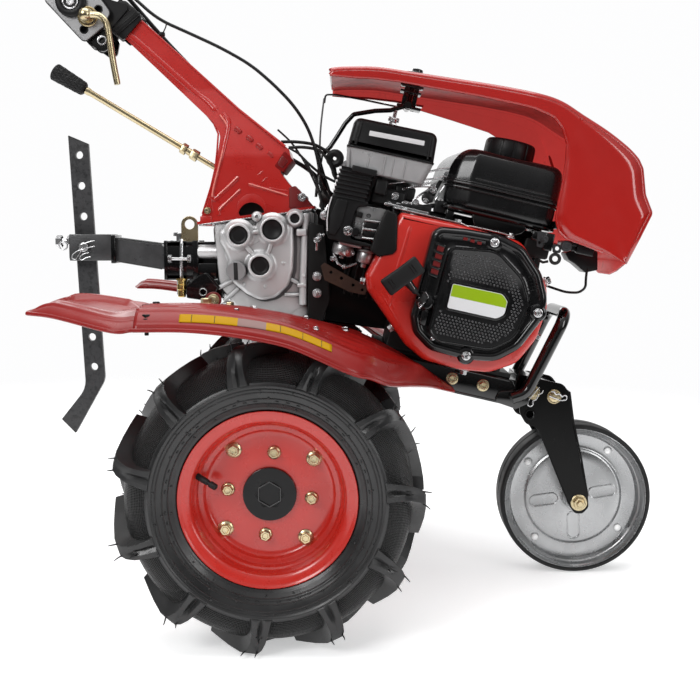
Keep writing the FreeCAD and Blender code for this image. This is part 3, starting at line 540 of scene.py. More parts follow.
# silver for the air cleaner cap's band, and as painted highlight on the air cleaner housing
M_SILVER_BAND_AND_HIGHLIGHT = surf('silver_band_and_painted_highlight', (0.78, 0.78, 0.79, 1), 0.35, metal=0.1, var=0.06, bevel=0.0004)
# colour darkened in recesses as painted shade
M_CARB = surf('carburettor_alloy', (0.50, 0.50, 0.505, 1), 0.28, painted_cavity_shade=0.9, painted_cavity_dist=0.006, metal=0.9, var=0.2, var_scale=30, rv=0.12, grain=0.2, grain_scale=900,
              col2=(0.20, 0.20, 0.20, 1), c2_scale=60, c2_lo=0.56, c2_hi=0.8)
M_ENGINE = surf('engine_black', (0.005, 0.005, 0.005, 1), 0.45, spec=0.25, var=0.3, rv=0.12, grain=0.3, grain_scale=700, grain_dist=0.0004, bevel=0.0016)
M_PLASTIC = surf('black_plastic', (0.0075, 0.0075, 0.008, 1), 0.42, spec=0.28, var=0.2, rv=0.1, grain=0.25, grain_scale=1500, grain_dist=0.0002)
M_TANK = surf('tank_black', (0.006, 0.006, 0.0065, 1), 0.26, spec=0.3, coat=0.5, coat_rough=0.07, var=0.25, rv=0.08, grain=0.05, grain_scale=300)
M_BAR = surf('bar_dark_grey', (0.034, 0.034, 0.036, 1), 0.42, var=0.25, rv=0.14, grain=0.5, grain_scale=330, grain_dist=0.0005, coat=0.25,
             col2=(0.012, 0.012, 0.013, 1), c2_scale=160, c2_lo=0.5, c2_hi=0.62)
# colour darkened in recesses as painted shade
M_HAMMER = surf('hammered_grey', (0.05, 0.05, 0.052, 1), 0.33, painted_cavity_shade=0.6, painted_cavity_dist=0.01, var=0.3, var_scale=40, rv=0.1, grain=0.55, grain_scale=360, grain_dist=0.0005, coat=0.35)
# colour darkened within 18 mm of corners and recesses as painted shade
M_CAST = surf('cast_alloy', (0.73, 0.73, 0.735, 1), 0.38, painted_cavity_shade=0.92, painted_cavity_dist=0.018, metal=0.55, var=0.12, rv=0.12, grain=0.4, grain_scale=900, grain_dist=0.0004,
              bevel=0.0022, col2=(0.66, 0.665, 0.67, 1), c2_scale=22, c2_lo=0.55, c2_hi=0.8)
M_COLUMN2 = surf('column_red_pressed', srgb(158, 26, 22), 0.36, coat=0.3, var=0.08, grain=0.06, grain_scale=320)
# painted highlight: pale red for the ridge crests
M_COLUMN_CREST_HIGHLIGHT = surf('column_red_painted_crest_highlight', srgb(240, 140, 128), 0.3, coat=0.4, var=0.08, bevel=0)
M_REDMATT = surf('matt_red', srgb(120, 18, 18), 0.6, spec=0.12, var=0.1, grain=0.06, grain_scale=300)
# painted highlight: rivet heads near-white for their bright glint
M_RIVET_HIGHLIGHT = surf('rivet_face_painted_highlight', (0.95, 0.95, 0.95, 1), 0.3, var=0.04, coat=0.3, bevel=0.0003)
# painted shadow: dark grey for the band under the gearbox face
M_SEAM_SHADOW = surf('case_seam_painted_shadow', (0.10, 0.10, 0.104, 1), 0.5, metal=0.3, var=0.15, grain=0.2, grain_scale=700)
M_BOSS = surf('machined_face', (0.72, 0.72, 0.725, 1), 0.32, metal=0.35, var=0.06, rv=0.06, grain=0.04, grain_scale=800)
M_STEEL = surf('bright_steel', (0.62, 0.62, 0.63, 1), 0.24, metal=1.0, var=0.18, rv=0.1, grain=0.06, grain_scale=700)
M_ZINC = surf('yellow_zinc', (0.58, 0.49, 0.31, 1), 0.27, metal=1.0, var=0.08, var_scale=30, rv=0.05, grain=0.02, grain_scale=500,
              col2=(0.60, 0.44, 0.22, 1), c2_scale=45, c2_lo=0.5, c2_hi=0.75, bevel=0.0006)
M_GALV = surf('galvanised', (0.56, 0.565, 0.57, 1), 0.27, metal=0.95, var=0.07, var_scale=10, rv=0.05, rv_scale=30, grain=0.03, grain_scale=500)
M_PLATE = surf('grey_plate', (0.34, 0.34, 0.345, 1), 0.36, metal=0.45, var=0.1, rv=0.1, grain=0.08, grain_scale=400)
M_RUBBER = surf('rubber', (0.010, 0.010, 0.0105, 1), 0.5, var=0.2, rv=0.12, grain=0.15, grain_scale=700, spec=0.28)
M_CABLE = surf('cable_sheath', (0.005, 0.005, 0.0055, 1), 0.32, spec=0.35, var=0.2, rv=0.1, grain=0.06, grain_scale=500, bevel=0)
# colour darkened in recesses as painted shade
M_TYRE = surf('tyre_rubber', (0.010, 0.010, 0.0105, 1), 0.33, painted_cavity_shade=0.8, painted_cavity_dist=0.008, spec=0.55, var=0.3, var_scale=14, rv=0.14, rv_scale=18, grain=0.22, grain_scale=420,
              grain_dist=0.0004, bevel=0.0016, dust=(0.06, 0.06, 0.06, 1), dust_amt=0.10, dust_scale=24)
# painted shade: near-black for holes, slots and insides that lie in shade
M_DARK_SHADE = surf('dark_inside_painted_shade', (0.004, 0.004, 0.004, 1), 0.6, var=0.2)
M_LEG = surf('leg_black', (0.002, 0.002, 0.002, 1), 0.34, spec=0.08, var=0.3, rv=0.1, grain=0.2, grain_scale=500, coat=0.2)
M_BUMPER = surf('bumper_black', (0.003, 0.003, 0.003, 1), 0.12, coat=0.7, coat_rough=0.03, var=0.2, rv=0.04, grain=0.02, grain_scale=160, bevel=0)
M_MUFF = surf('muffler_grey', (0.16, 0.16, 0.165, 1), 0.5, metal=0.6, var=0.15, rv=0.12, grain=0.2, grain_scale=700)
M_DARKMET = surf('dark_metal', (0.03, 0.028, 0.026, 1), 0.5, metal=0.4, var=0.3, rv=0.15, grain=0.2, grain_scale=600)
M_LENS = surf('lamp_lens', (0.75, 0.76, 0.78, 1), 0.12, coat=1.0, var=0.05, grain=0.3, grain_scale=260, grain_dist=0.0006)
M_STRIPEDK = surf('stripe_mark', (0.05, 0.04, 0.01, 1), 0.5, var=0.1, bevel=0)
M_LABELPK = surf('blank_label', srgb(214, 150, 150), 0.4, coat=0.3, var=0.2, var_scale=60, bevel=0)
M_GREEN = surf('label_green', srgb(146, 178, 8), 0.35, coat=0.4, var=0.03, bevel=0)
M_WHITE = surf('label_white', srgb(225, 226, 228), 0.35, coat=0.4, var=0.02, bevel=0)
M_STRIPEPK = surf('stripe_pale', srgb(150, 122, 118), 0.5, spec=0.15, coat=0.0, var=0.05, bevel=0)
M_YELLOW = surf('label_yellow', srgb(188, 142, 0), 0.45, spec=0.15, coat=0.0, var=0.05, bevel=0)
M_RUST = surf('rusty_strip', srgb(66, 46, 34), 0.6, metal=0.3, var=0.3, var_scale=60, rv=0.15, grain=0.4, grain_scale=500,
              col2=srgb(60, 40, 32), c2_scale=120, c2_lo=0.45, c2_hi=0.65)
M_BRASS = surf('brass', (0.70, 0.50, 0.18, 1), 0.25, metal=1.0, var=0.1, rv=0.08, bevel=0.0004)
M_GREYPL = surf('dark_grey_plastic', (0.03, 0.03, 0.032, 1), 0.45, spec=0.3, var=0.2, rv=0.1, grain=0.2, grain_scale=1200, grain_dist=0.0002)


def smoky():
    m, nt, b = base_nodes('smoke_plastic')
    tc = nt.nodes.new('ShaderNodeTexCoord')
    c = mixc(nt, ramp(nt, noise(nt, tc.outputs['Object'], 10, 4), 0.3, 0.7, 0, 1), (0.34, 0.345, 0.35, 1), (0.52, 0.525, 0.53, 1))
    nt.links.new(c, b.inputs['Base Color'])
    nt.links.new(ramp(nt, noise(nt, tc.outputs['Object'], 30, 4), 0.3, 0.7, 0.25, 0.4), b.inputs['Roughness'])
    b.inputs['Transmission Weight'].default_value = 0.15
    b.inputs['Subsurface Weight'].default_value = 0.2
    b.inputs['Subsurface Radius'].default_value = (0.01, 0.01, 0.01)
    b.inputs['Coat Weight'].default_value = 0.3
    bp = nt.nodes.new('ShaderNodeBump')
    bp.inputs['Strength'].default_value = 0.08
    bp.inputs['Distance'].default_value = 0.0004
    nt.links.new(noise(nt, tc.outputs['Object'], 120, 3), bp.inputs['Height'])
    nt.links.new(bp.outputs[0], b.inputs['Normal'])
    return m


M_SMOKE = smoky()


def turned():
    """Rolled sheet of the front wheel: fine rings about the wheel's axis stretch the highlights."""
    m = surf('turned_sheet', (0.40, 0.405, 0.41, 1), 0.27, metal=0.96, var=0.08, var_scale=10, rv=0.05, rv_scale=30, grain=0.03, grain_scale=500)
    nt = m.node_tree
    b = [n for n in nt.nodes if n.type == 'BSDF_PRINCIPLED'][0]
    b.inputs['Anisotropic'].default_value = 0.82
    lo_, hi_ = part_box("front_wheel")
    tc = nt.nodes.new('ShaderNodeTexCoord')
    sb = nt.nodes.new('ShaderNodeVectorMath')
    sb.operation = 'SUBTRACT'
    nt.links.new(tc.outputs['Object'], sb.inputs[0])
    sb.inputs[1].default_value = ((lo_.x + hi_.x) / 2, 0, (lo_.z + hi_.z) / 2)
    cr = nt.nodes.new('ShaderNodeVectorMath')
    cr.operation = 'CROSS_PRODUCT'
    nt.links.new(sb.outputs[0], cr.inputs[0])
    cr.inputs[1].default_value = (0, 1, 0)
    vt = nt.nodes.new('ShaderNodeVectorTransform')
    vt.vector_type = 'VECTOR'
    vt.convert_from = 'OBJECT'
    vt.convert_to = 'WORLD'
    nt.links.new(cr.outputs[0], vt.inputs[0])
    nt.links.new(vt.outputs[0], b.inputs['Tangent'])
    return m


M_TURNED = turned()


def roof_shade():
    """Painted shade under the roof: the hood's inside is coloured darker and browner, with noise, where the sheet faces
    up or down, and its painted glow is weaker there.
    """
    nt = M_HOODIN_GLOW.node_tree
    b = [n for n in nt.nodes if n.type == 'BSDF_PRINCIPLED'][0]
    src = b.inputs['Base Color'].links[0].from_socket
    g = nt.nodes.new('ShaderNodeNewGeometry')
    sep = nt.nodes.new('ShaderNodeSeparateXYZ')
    nt.links.new(g.outputs['Normal'], sep.inputs[0])
    ab = nt.nodes.new('ShaderNodeMath')
    ab.operation = 'ABSOLUTE'
    nt.links.new(sep.outputs[2], ab.inputs[0])
    f = ramp(nt, ab.outputs[0], 0.55, 0.9, 0, 1)
    tc = nt.nodes.new('ShaderNodeTexCoord')
    d = mixc(nt, ramp(nt, noise(nt, tc.outputs['Object'], 26, 5, 0.65), 0.42, 0.62, 0, 1), srgb(150, 62, 60), srgb(88, 58, 56))
    nt.links.new(mixc(nt, f, src, d), b.inputs['Base Color'])
    st = b.inputs['Emission Strength'].default_value
    nt.links.new(ramp(nt, f, 0, 1, st, st * 0.30), b.inputs['Emission Strength'])


roof_shade()


def tread_mat():
    """Tyre rubber with the fine diamond knurling of the tread ground; the UV map is in millimetres round and across."""
    m, nt, b = base_nodes('tyre_tread_ground')
    tc = nt.nodes.new('ShaderNodeTexCoord')
    uv = nt.nodes.new('ShaderNodeUVMap')
    uv.uv_map = 'mm'
    c = mixc(nt, ramp(nt, noise(nt, tc.outputs['Object'], 20, 4), 0.3, 0.7, 0, 1), (0.009, 0.009, 0.0095, 1), (0.022, 0.022, 0.023, 1))
    nt.links.new(ramp(nt, noise(nt, tc.outputs['Object'], 18, 4), 0.3, 0.7, 0.26, 0.42), b.inputs['Roughness'])
    sep = nt.nodes.new('ShaderNodeSeparateXYZ')
    nt.links.new(uv.outputs[0], sep.inputs[0])

    def m2(op, a, bb):
        q = nt.nodes.new('ShaderNodeMath')
        q.operation = op
        for i, v in enumerate((a, bb)):
            if isinstance(v, (int, float)):
                q.inputs[i].default_value = v
            elif v is not None:
                nt.links.new(v, q.inputs[i])
        return q.outputs[0]
    s = m2('ADD', sep.outputs[0], sep.outputs[1])
    d = m2('SUBTRACT', sep.outputs[0], sep.outputs[1])
    k = 2 * math.pi / 4.6
    h = m2('MULTIPLY', m2('SINE', m2('MULTIPLY', s, k), None), m2('SINE', m2('MULTIPLY', d, k), None))
    band = ramp(nt, sep.outputs[1], 64, 66, 0, 1)     # arc length from the bead where the knurling starts
    h = m2('MULTIPLY', h, band)
    bp = nt.nodes.new('ShaderNodeBump')
    bp.inputs['Strength'].default_value = 1.0
    bp.inputs['Distance'].default_value = 0.0022
    nt.links.new(h, bp.inputs['Height'])
    # painted shade: the knurl's valleys are coloured darker than its crests
    c2 = mixc(nt, ramp(nt, h, -0.2, 0.6, 0, 1), scl((0.010, 0.010, 0.010), 1), c)
    cc = mixc(nt, band, c, c2)
    nt.links.new(cc, b.inputs['Base Color'])
    nt.links.new(bp.outputs[0], b.inputs['Normal'])
    return m


M_TREAD = tread_mat()

CAD_FINISH = {
    "right_tyre": M_TYRE, "left_tyre": M_TYRE, "right_rim": M_RIM, "left_rim": M_RIM, "wheel_hubs": M_BLACK, "axle_shaft": M_BLACK,
    "gearbox": M_CAST, "gearbox_plugs": M_PLASTIC, "frame_rails": M_GLOSS, "bumper": M_GLOSS, "engine_block": M_BLACK,
    "fan_shroud": M_SHROUD, "recoil_cover": M_GLOSS, "pull_handle": M_RUBBER, "fuel_tank": M_TANK, "fuel_cap": M_PLASTIC,
    "tank_bracket": M_GLOSS, "air_cleaner_cap": M_PLASTIC, "air_cleaner_bowl": M_SMOKE, "air_cleaner_base": M_PLASTIC,
    "carburettor": M_CAST, "muffler": M_BLACK, "belt_guard": M_BLACK, "hood": M_RED, "hood_stay": M_BLACK, "headlight": M_GREYPL,
    "column": M_COLUMN, "column_head": M_BLACK, "handlebar_yoke": M_PLATE, "pivot_bolt": M_BLACK, "clamp_lever": M_ZINC,
    "handlebar_tubes": M_BLACK, "handle_grips": M_RUBBER, "hand_levers": M_BLACK, "gear_lever": M_ZINC, "lever_grip": M_RUBBER,
    "right_fender": M_FENDER, "left_fender": M_FENDER, "fender_extensions": M_FENDER, "hitch_bracket": M_BLACK, "hitch_pins": M_STEEL,
    "drawbar": M_HAMMER, "coulter": M_BAR, "front_leg": M_BLACK, "front_axle": M_ZINC, "leg_pivot_pin": M_ZINC,
    "leg_lock_pin": M_ZINC, "front_tyre": M_RUBBER, "front_wheel": M_GALV,
    "throttle_cable": M_CABLE, "clutch_cable": M_CABLE, "handlebar_cables": M_CABLE, "wiring": M_CABLE,
}
for _n, _o in N.items():
    _m = CAD_FINISH[_n]
    _o.data.materials.clear()
    _o.data.materials.append(_m)
    _o.data.polygons.foreach_set('material_index', [0] * len(_o.data.polygons))


# -------------------------------------------------------------- drive wheels
_rlo, _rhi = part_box("right_tyre")
WY = -(_rlo.y + _rhi.y) / 2 * 1000                          # wheel mid-plane, 320
HALF = [(101.9, 27), (102.2, 29.6), (104.2, 32.4), (106.4, 34.2), (110, 35.9), (113.6, 37.1), (116.4, 38.4), (118.2, 40.8),
        (119.6, 41.2), (121, 42.3), (125, 46.0), (127.2, 47.6), (128, 48.6), (129, 48.6), (130.5, 49.6), (137, 52.6), (143, 54.2),
        (147.2, 54.9), (148.4, 56.3), (149.6, 56.8), (150.8, 56.3), (152, 54.7), (155, 54.2), (161, 53.6), (167, 52.0), (172.5, 49.4),
        (177.5, 45.2), (181.4, 39.8), (184.2, 33), (186, 25), (187, 15), (187.5, 6)]


def tyre(name, node, side, body):
    """Agricultural tyre: turned carcass with its shoulder rib, 22 staggered bar lugs, and moulding hairs."""
    k = Kit()
    prof = [(r, -o) for (r, o) in HALF] + [(187.6, 0)] + [(r, o) for (r, o) in reversed(HALF)]
    seg = 176
    arc = [0.0]
    for i in range(1, len(prof)):
        arc.append(arc[-1] + math.hypot(prof[i][0] - prof[i - 1][0], prof[i][1] - prof[i - 1][1]))
    tot = arc[-1]
    n = len(prof)
    uvs = {}
    for i, (r, o) in enumerate(prof):
        for j in range(seg):
            a = 2 * math.pi * j / seg
            k.v.append((r * math.cos(a), o, r * math.sin(a)))
    for i in range(n - 1):
        for j in range(seg):
            j2 = (j + 1) % seg
            uvs[len(k.f)] = [(j, i), (j2, i), (j2, i + 1), (j, i + 1)]
            k.f.append((i * seg + j, i * seg + j2, (i + 1) * seg + j2, (i + 1) * seg + j))
            k.m.append(1 if prof[i][0] > 150 and prof[i + 1][0] > 150 else 0)
    # inside wall, so that the tyre is a closed shape
    inner = [(101.9, -27), (112, -28), (122, -36), (150, -44), (176, -38), (181, 0), (176, 38), (150, 44), (122, 36), (112, 28), (101.9, 27)]
    nfaces = len(k.f)
    lathe(k, inner, (0, 0, 0), (0, 1, 0), 88, 0)
    me = bpy.data.meshes.new(name + '_body')
    T = Matrix.Translation((AX, side * WY * 0.001, AZ)) @ Matrix.Scale(0.001, 4)
    me.from_pydata([T @ Vector(v) for v in k.v], [], k.f)
    me.materials.append(M_TYRE)
    me.materials.append(M_TREAD)
    me.polygons.foreach_set('material_index', k.m)
    uvl = me.uv_layers.new(name='mm')
    for pi, p in enumerate(me.polygons):
        if pi in uvs:
            js = [q[0] for q in uvs[pi]]
            wrap = max(js) - min(js) > 1
            for li, (j, i) in zip(p.loop_indices, uvs[pi]):
                jj = seg if (wrap and j == 0) else j
                v = min(arc[i], tot - arc[i])
                uvl.data[li].uv = (jj / seg * 1170.0, v)
    bm = bmesh.new()
    bm.from_mesh(me)
    bmesh.ops.remove_doubles(bm, verts=bm.verts, dist=1e-6)
    bmesh.ops.recalc_face_normals(bm, faces=bm.faces)
    bm.to_mesh(me)
    bm.free()
    me.polygons.foreach_set('use_smooth', [True] * len(me.polygons))
    me.set_sharp_from_angle(angle=D(55))
    ob = bpy.data.objects.new(name, me)
    bpy.context.scene.collection.objects.link(ob)
    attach(ob, body)
    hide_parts(node)
    # lugs
    L = Kit()
    st = [  # t, carcass r, carcass o, top r, top o, half width at the base, at the top, pocket depth share
        (0.0, 150.5, 54.8, 152.5, 57.4, 16.5, 12.5, 0.10, 0.0),
        (0.10, 156, 53.4, 162, 58.0, 15.5, 11.2, 0.10, 0.2),
        (0.20, 163, 52.0, 172, 57.6, 14.6, 10.3, 0.25, 0.5),
        (0.30, 170, 49.6, 183, 55.6, 13.8, 9.6, 0.75, 1.1),
        (0.40, 176, 45.0, 193, 52.4, 13.2, 9.2, 0.98, 2.2),
        (0.48, 180, 40.0, 199.2, 48.4, 12.8, 9.0, 1.0, 3.6),
        (0.55, 183, 34.0, 201.4, 42.6, 12.6, 8.9, 1.0, 5.2),
        (0.72, 185.5, 25, 201.7, 28.0, 12.4, 8.8, 1.0, 9.8),
        (0.88, 187, 12, 201.8, 13.0, 12.2, 8.6, 1.0, 14.2),
        (1.0, 187.4, 1.0, 201.8, 2.0, 11.8, 8.2, 1.0, 18.0)]
    cols = [(-1, 0), (-1, 1), (-0.42, 1), (0, 2), (0.42, 1), (1, 1), (1, 0)]
    hair = Kit()
    for s in (-1, 1):
        for q in range(11):
            th = D(5.2 + 360 / 11 * q + (0 if s * side > 0 else 180 / 11))
            vs, fs = [], []
            for (t, rb, ob_, rt, ot, wb, wt, pk, adv) in st:
                for (c, kind) in cols:
                    f = 0 if kind == 0 else (pk if kind == 2 else 1.0)
                    r = rb + (rt - rb) * f
                    o = ob_ + (ot - ob_) * f
                    if kind == 0:
                        r -= 1.5
                        o -= 1.2 if t < 0.5 else 0
                    w = (wb if kind == 0 else wt) * c
                    a = th - D(adv) + w / r
                    vs.append((r * math.cos(a), s * o, r * math.sin(a)))
            nc = len(cols)
            for i in range(len(st) - 1):
                for j in range(nc - 1):
                    fs.append((i * nc + j, i * nc + j + 1, (i + 1) * nc + j + 1, (i + 1) * nc + j))
            fs.append(tuple(range(nc)))
            fs.append(tuple((len(st) - 1) * nc + j for j in range(nc)))
            L.add(vs, fs, 0)
            # moulding hairs at the lug's shoulder corners
            for e, (c, rr, oo, ad) in enumerate(((-1, 197, 48.5, 3.4), (1, 197, 48.5, 3.4), (0, 176, 56.5, 0.6))):
                if e == 2 and q % 2:
                    continue
                a = th - D(ad) + c * 8 / rr
                p0 = Vector((rr * math.cos(a), s * oo, rr * math.sin(a)))
                out = Vector((math.cos(a), 0, math.sin(a)))
                tan = Vector((-math.sin(a), 0, math.cos(a)))
                ln = random.uniform(9, 14.5)
                lean = random.uniform(-0.55, 0.55)
                d = (out * 0.9 + tan * lean + Vector((0, s * random.uniform(0.1, 0.5), 0))).normalized()
                if p0.z < -150:           # near the ground the hairs lie outward
                    d = (Vector((tan.x * lean, s * 1.0, 0)) + Vector((0, 0, -0.05))).normalized()
                    ln = 15
                    p0.z = max(p0.z, -198)
                bend = tan * random.uniform(-2.5, 2.5)
                pts = [p0, p0 + d * ln * 0.35, p0 + d * ln * 0.7 + bend * 0.4, p0 + d * ln + bend]
                for p in pts:
                    p.z = max(p.z, -200.9)
                tube(hair, pts, [1.15, 1.0, 0.8, 0.5], 5, 0)
    # sidewall: small mould pips and blank raised bands
    for s in (-1, 1):
        for q in range(22):
            a = D(360 / 22 * q + 4)
            for (r, o) in ((134, 51.6), (144, 54.6), (123, 44.6)):
                if (q + int(r)) % 3 == 0:
                    continue
                a2 = a + D((r * 7) % 11)
                lathe(L, [(1.5, -0.5), (1.4, 0.8), (0.9, 1.2), (0, 1.3)], (r * math.cos(a2), s * o, r * math.sin(a2)), (0, s, 0), 8)
        for (r0_, o0_, h_) in ((126.6, 47.0, 0.9), (133, 51.0, 0.7), (141.5, 53.9, 0.7), (145.4, 54.6, 0.6)):
            lathe(L, [(r0_ - 0.9, -0.3), (r0_ - 0.3, h_), (r0_ + 0.3, h_), (r0_ + 0.9, -0.3)], (0, s * o0_, 0), (0, s, 0), 160)
        # short blank bars moulded between two of the ribs
        for q in range(60):
            if q % 15 in (0, 5, 6, 11):
                continue
            a = 2 * math.pi * q / 60
            c_, s_ = math.cos(a), math.sin(a)
            B = basis((129.8 * c_, s * 49.3, 129.8 * s_), (0, s, 0), up=(c_, 0, s_))
            vs = [(x_, y_, z_) for z_, e_ in ((-0.6, 0), (0.75, 0.5)) for (x_, y_) in
                  ((-0.9 + e_ * 0.6, -2.6 + e_), (0.9 - e_ * 0.6, -2.6 + e_), (0.9 - e_ * 0.6, 2.6 - e_), (-0.9 + e_ * 0.6, 2.6 - e_))]
            L.add(vs, [(0, 1, 5, 4), (1, 2, 6, 5), (2, 3, 7, 6), (3, 0, 4, 7), (4, 5, 6, 7)], 0, B)
    TT = Matrix.Translation((AX, side * WY * 0.001, AZ)) @ Matrix.Scale(0.001, 4)
    make(name + '_lugs', L, [M_TYRE], body, TT, angle=30)
    make(name + '_hairs', hair, [M_RUBBER], body, TT)


def wheel_frame(side):
    return Matrix.Translation((AX, side * WY * 0.001, AZ)) @ Matrix.Scale(0.001, 4)


def rim(name, node, side, body):
    k = Kit()
    f = [(25.2, 1.6), (60, 1.6), (76, 1.6), (79.5, 1.9), (82.6, 2.9), (84.6, 4.8), (85.4, 7.6), (86.4, 9.4), (88.4, 10.2), (90.6, 10.4),
         (92.4, 11.2), (93.2, 13.2), (93.6, 16.4), (94.6, 18.2), (96.4, 19.2), (97.4, 21.0), (97.9, 24.5), (98.6, 31), (99.8, 34.2),
         (102.4, 36.4), (106, 37.8), (109.6, 38.5), (112.2, 39.2), (113.6, 40.6), (114.8, 41.0), (115.6, 40.2), (115.4, 38.8), (114, 37.9),
         (109, 36.4), (105.4, 34.9), (102.6, 32.6), (101.75, 29), (101.75, 20)]
    prof = f + [(r, -h) for (r, h) in reversed(f)]
    lathe(k, prof, (0, 0, 0), (0, 1, 0), 144, 0, closed=True)
    ob = make(name, k, [M_RIM], body, wheel_frame(side), angle=32)
    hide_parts(node)
    # flange bolts, valve and hub face
    b = Kit()
    out = (0, side, 0)
    for R, angs, af, wr in ((74.5, (128.8, 38.8, -51.2, -141.2), 13.5, 10.6), (55, (83.8, -6.2, -96.2, -186.2), 12.5, 9.2)):
        for a in angs:
            p = (R * math.cos(D(a)), side * 1.6, R * math.sin(D(a)))
            lathe(b, [(0, 0), (wr, 0), (wr, 1.0), (wr * 0.94, 1.8), (af * 0.56, 3.2), (af * 0.5, 3.4)], p, out, 32, 0)
            hexa(b, Vector(p) + Vector(out) * 3, out, af, 6.5, 0, turn=random.uniform(0, 1))
    make(name + '_bolts', b, [M_ZINC], body, wheel_frame(side))
    v = Kit()
    p0, p1 = Vector((-94.5, side * 17, 28)), Vector((-66.5, side * 31, 15))
    d = (p1 - p0)
    tube(v, [p0, p0 + d * 0.06, p0 + d * 0.07, p0 + d * 0.60, p0 + d * 0.62, p0 + d * 0.70, p0 + d * 0.72, p0 + d * 0.97, p1],
         [6.6, 6.4, 4.4, 4.0, 3.0, 3.0, 4.4, 4.3, 3.4], 16, 0)
    make(name + '_valve', v, [M_RUBBER], body, wheel_frame(side))
    h = Kit()
    # turned end of the axle inside the black hub plate
    lathe(h, [(0, 3.4), (8.6, 3.4), (10.4, 4.6), (14.6, 4.6), (15.0, 7.0), (15.6, 7.9), (17.4, 7.9), (18.0, 7.2), (18.0, 3.6)], (0, 0, 0), out, 6, 0)
    lathe(h, [(0, 5.6), (4.6, 5.6), (6.2, 4.8), (6.4, 3.0)], (0, 0, 0), out, 28, 0)
    lathe(h, [(21.0, 5.0), (21.6, 5.7), (23.0, 5.7), (23.6, 5.0)], (0, 0, 0), out, 56, 0)
    lathe(h, [(33.9, 6.9), (34.9, 6.4), (35.4, 4.8), (35.4, 1.7)], (0, 0, 0), out, 64, 0)
    make(name + '_hub_face', h, [M_GLOSS], body, wheel_frame(side))


tyre("right_tyre_tread", "right_tyre", -1, "drive_axle")
tyre("left_tyre_tread", "left_tyre", 1, "drive_axle")
rim("right_wheel_disc", "right_rim", -1, "drive_axle")
rim("left_wheel_disc", "left_rim", 1, "drive_axle")

# ---------------------------------------------------------------- front wheel
_wlo, _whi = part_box("front_wheel")
FX, FZ = (_wlo.x + _whi.x) / 2, (_wlo.z + _whi.z) / 2
FT = Matrix.Translation((FX, 0, FZ)) @ Matrix.Scale(0.001, 4)
k = Kit()
f = [(10.5, 36), (17.5, 36), (18.2, 35), (18.4, 9.6), (19.6, 8.7), (30, 8.2), (60, 8.0), (73, 7.8), (75.6, 7.2), (77.6, 5.6), (78.8, 4.8), (80.2, 4.5),
     (84, 4.5), (99.4, 4.5), (100.6, 4.9), (101.4, 6.0), (103.4, 11.0), (104.0, 13.4), (105.2, 14.4), (106.4, 15.4), (107.4, 18.0), (108.6, 21.6),
     (109.6, 23.4), (110.8, 24.4), (111.4, 25.8), (112.2, 26.9), (112.9, 26.6), (113.2, 25.0)]
lathe(k, f + [(r, -h) for (r, h) in reversed(f)], (0, 0, 0), (0, 1, 0), 144, 0)
lathe(k, [(7.2, 36), (10.5, 36), (10.5, -36), (7.2, -36)], (0, 0, 0), (0, 1, 0), 32, 0, closed=True)
r_ = Kit()
for s in (-1, 1):
    for a in (8.5, 188, 272, 96):
        c, sn = math.cos(D(a)), math.sin(D(a))
        B = basis((48 * c, s * 8.05, 48 * sn), (0, s, 0), up=(c, 0, sn))
        for q0, q1, w_ in ((22.5, 9.6, 1.0),):
            o = rnd([(-q1, -q0), (q1, -q0), (q1, q0), (-q1, q0)], q1 - 0.4, 8)
            vs, fs = [], []
            st_ = ((-1.1, -0.1), (-0.5, 0.75), (0.3, 1.05), (1.0, 0.75), (1.7, 0.05), (2.4, -0.3))
            for (d, h) in st_:
                vs += [(q[1], q[0], h) for q in inset(o, d)]
            n = len(o)
            for i in range(len(st_) - 1):
                for j in range(n):
                    fs.append((i * n + j, i * n + (j + 1) % n, (i + 1) * n + (j + 1) % n, (i + 1) * n + j))
            fs.append(tuple((len(st_) - 1) * n + j for j in range(n)))
            k.add(vs, fs, 0, B)
    for a in (143, 53, 229, 324):
        c, sn = math.cos(D(a)), math.sin(D(a))
        lathe(k, [(7.4, -0.2), (6.6, 0.35), (5.6, 0.5), (5.0, 0.2)], (91.5 * c, s * 4.5, 91.5 * sn), (0, s, 0), 26, 0)
        lathe(r_, [(5.3, -0.2), (5.3, 1.0), (4.6, 2.0), (3.0, 2.7), (0, 2.9)], (91.5 * c, s * 4.5, 91.5 * sn), (0, s, 0), 24, 0)
    lathe(k, [(19.4, 0.0), (20.2, 0.8), (22.4, 0.8), (23.2, 0.0)], (0, s * 8.4, 0), (0, s, 0), 60, 0)
ob = make("front_wheel_disc", k, [M_TURNED], "front_wheel", FT, angle=30)
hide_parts("front_wheel")
# rivet heads painted near-white as highlights
make("front_wheel_rivets", r_, [M_RIVET_HIGHLIGHT], "front_wheel", FT, angle=40)
k = Kit()
lathe(k, [(113.0, -26.2), (113.9, -27.6), (115.6, -28), (117.6, -27.8), (119.0, -26.6), (119.7, -24.6), (120, -21), (120, -3), (119.3, -2.2), (119.3, 2.2), (120, 3),
          (120, 21), (119.7, 24.6), (119.0, 26.6), (117.6, 27.8), (115.6, 28), (113.9, 27.6), (113.0, 26.2)],
      (0, 0, 0), (0, 1, 0), 144, 0, closed=True)
# fine blank ribs round the tread
for o_ in (-17, -11, 11, 17):
    lathe(k, [(119.6, o_ - 0.9), (120.0, o_ - 0.6), (120.0, o_ + 0.6), (119.6, o_ + 0.9)], (0, 0, 0), (0, 1, 0), 120, 0)
ob = make("front_tyre_band", k, [M_RUBBER], "front_wheel", FT, angle=35)
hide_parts("front_tyre")



# ------------------------------------------------------------------ gearbox
def cyl_k(k, p, axis, r, h, m=0, ch=0.8, seg=32, M=None, hole=0.0):
    """Turned stub of radius r and height h standing on p."""
    prof = [(hole, 0), (r, 0), (r, h - ch), (r - ch, h), (hole, h)]
    lathe(k, prof, p, axis, seg, m, closed=hole > 0, M=M)
    return k


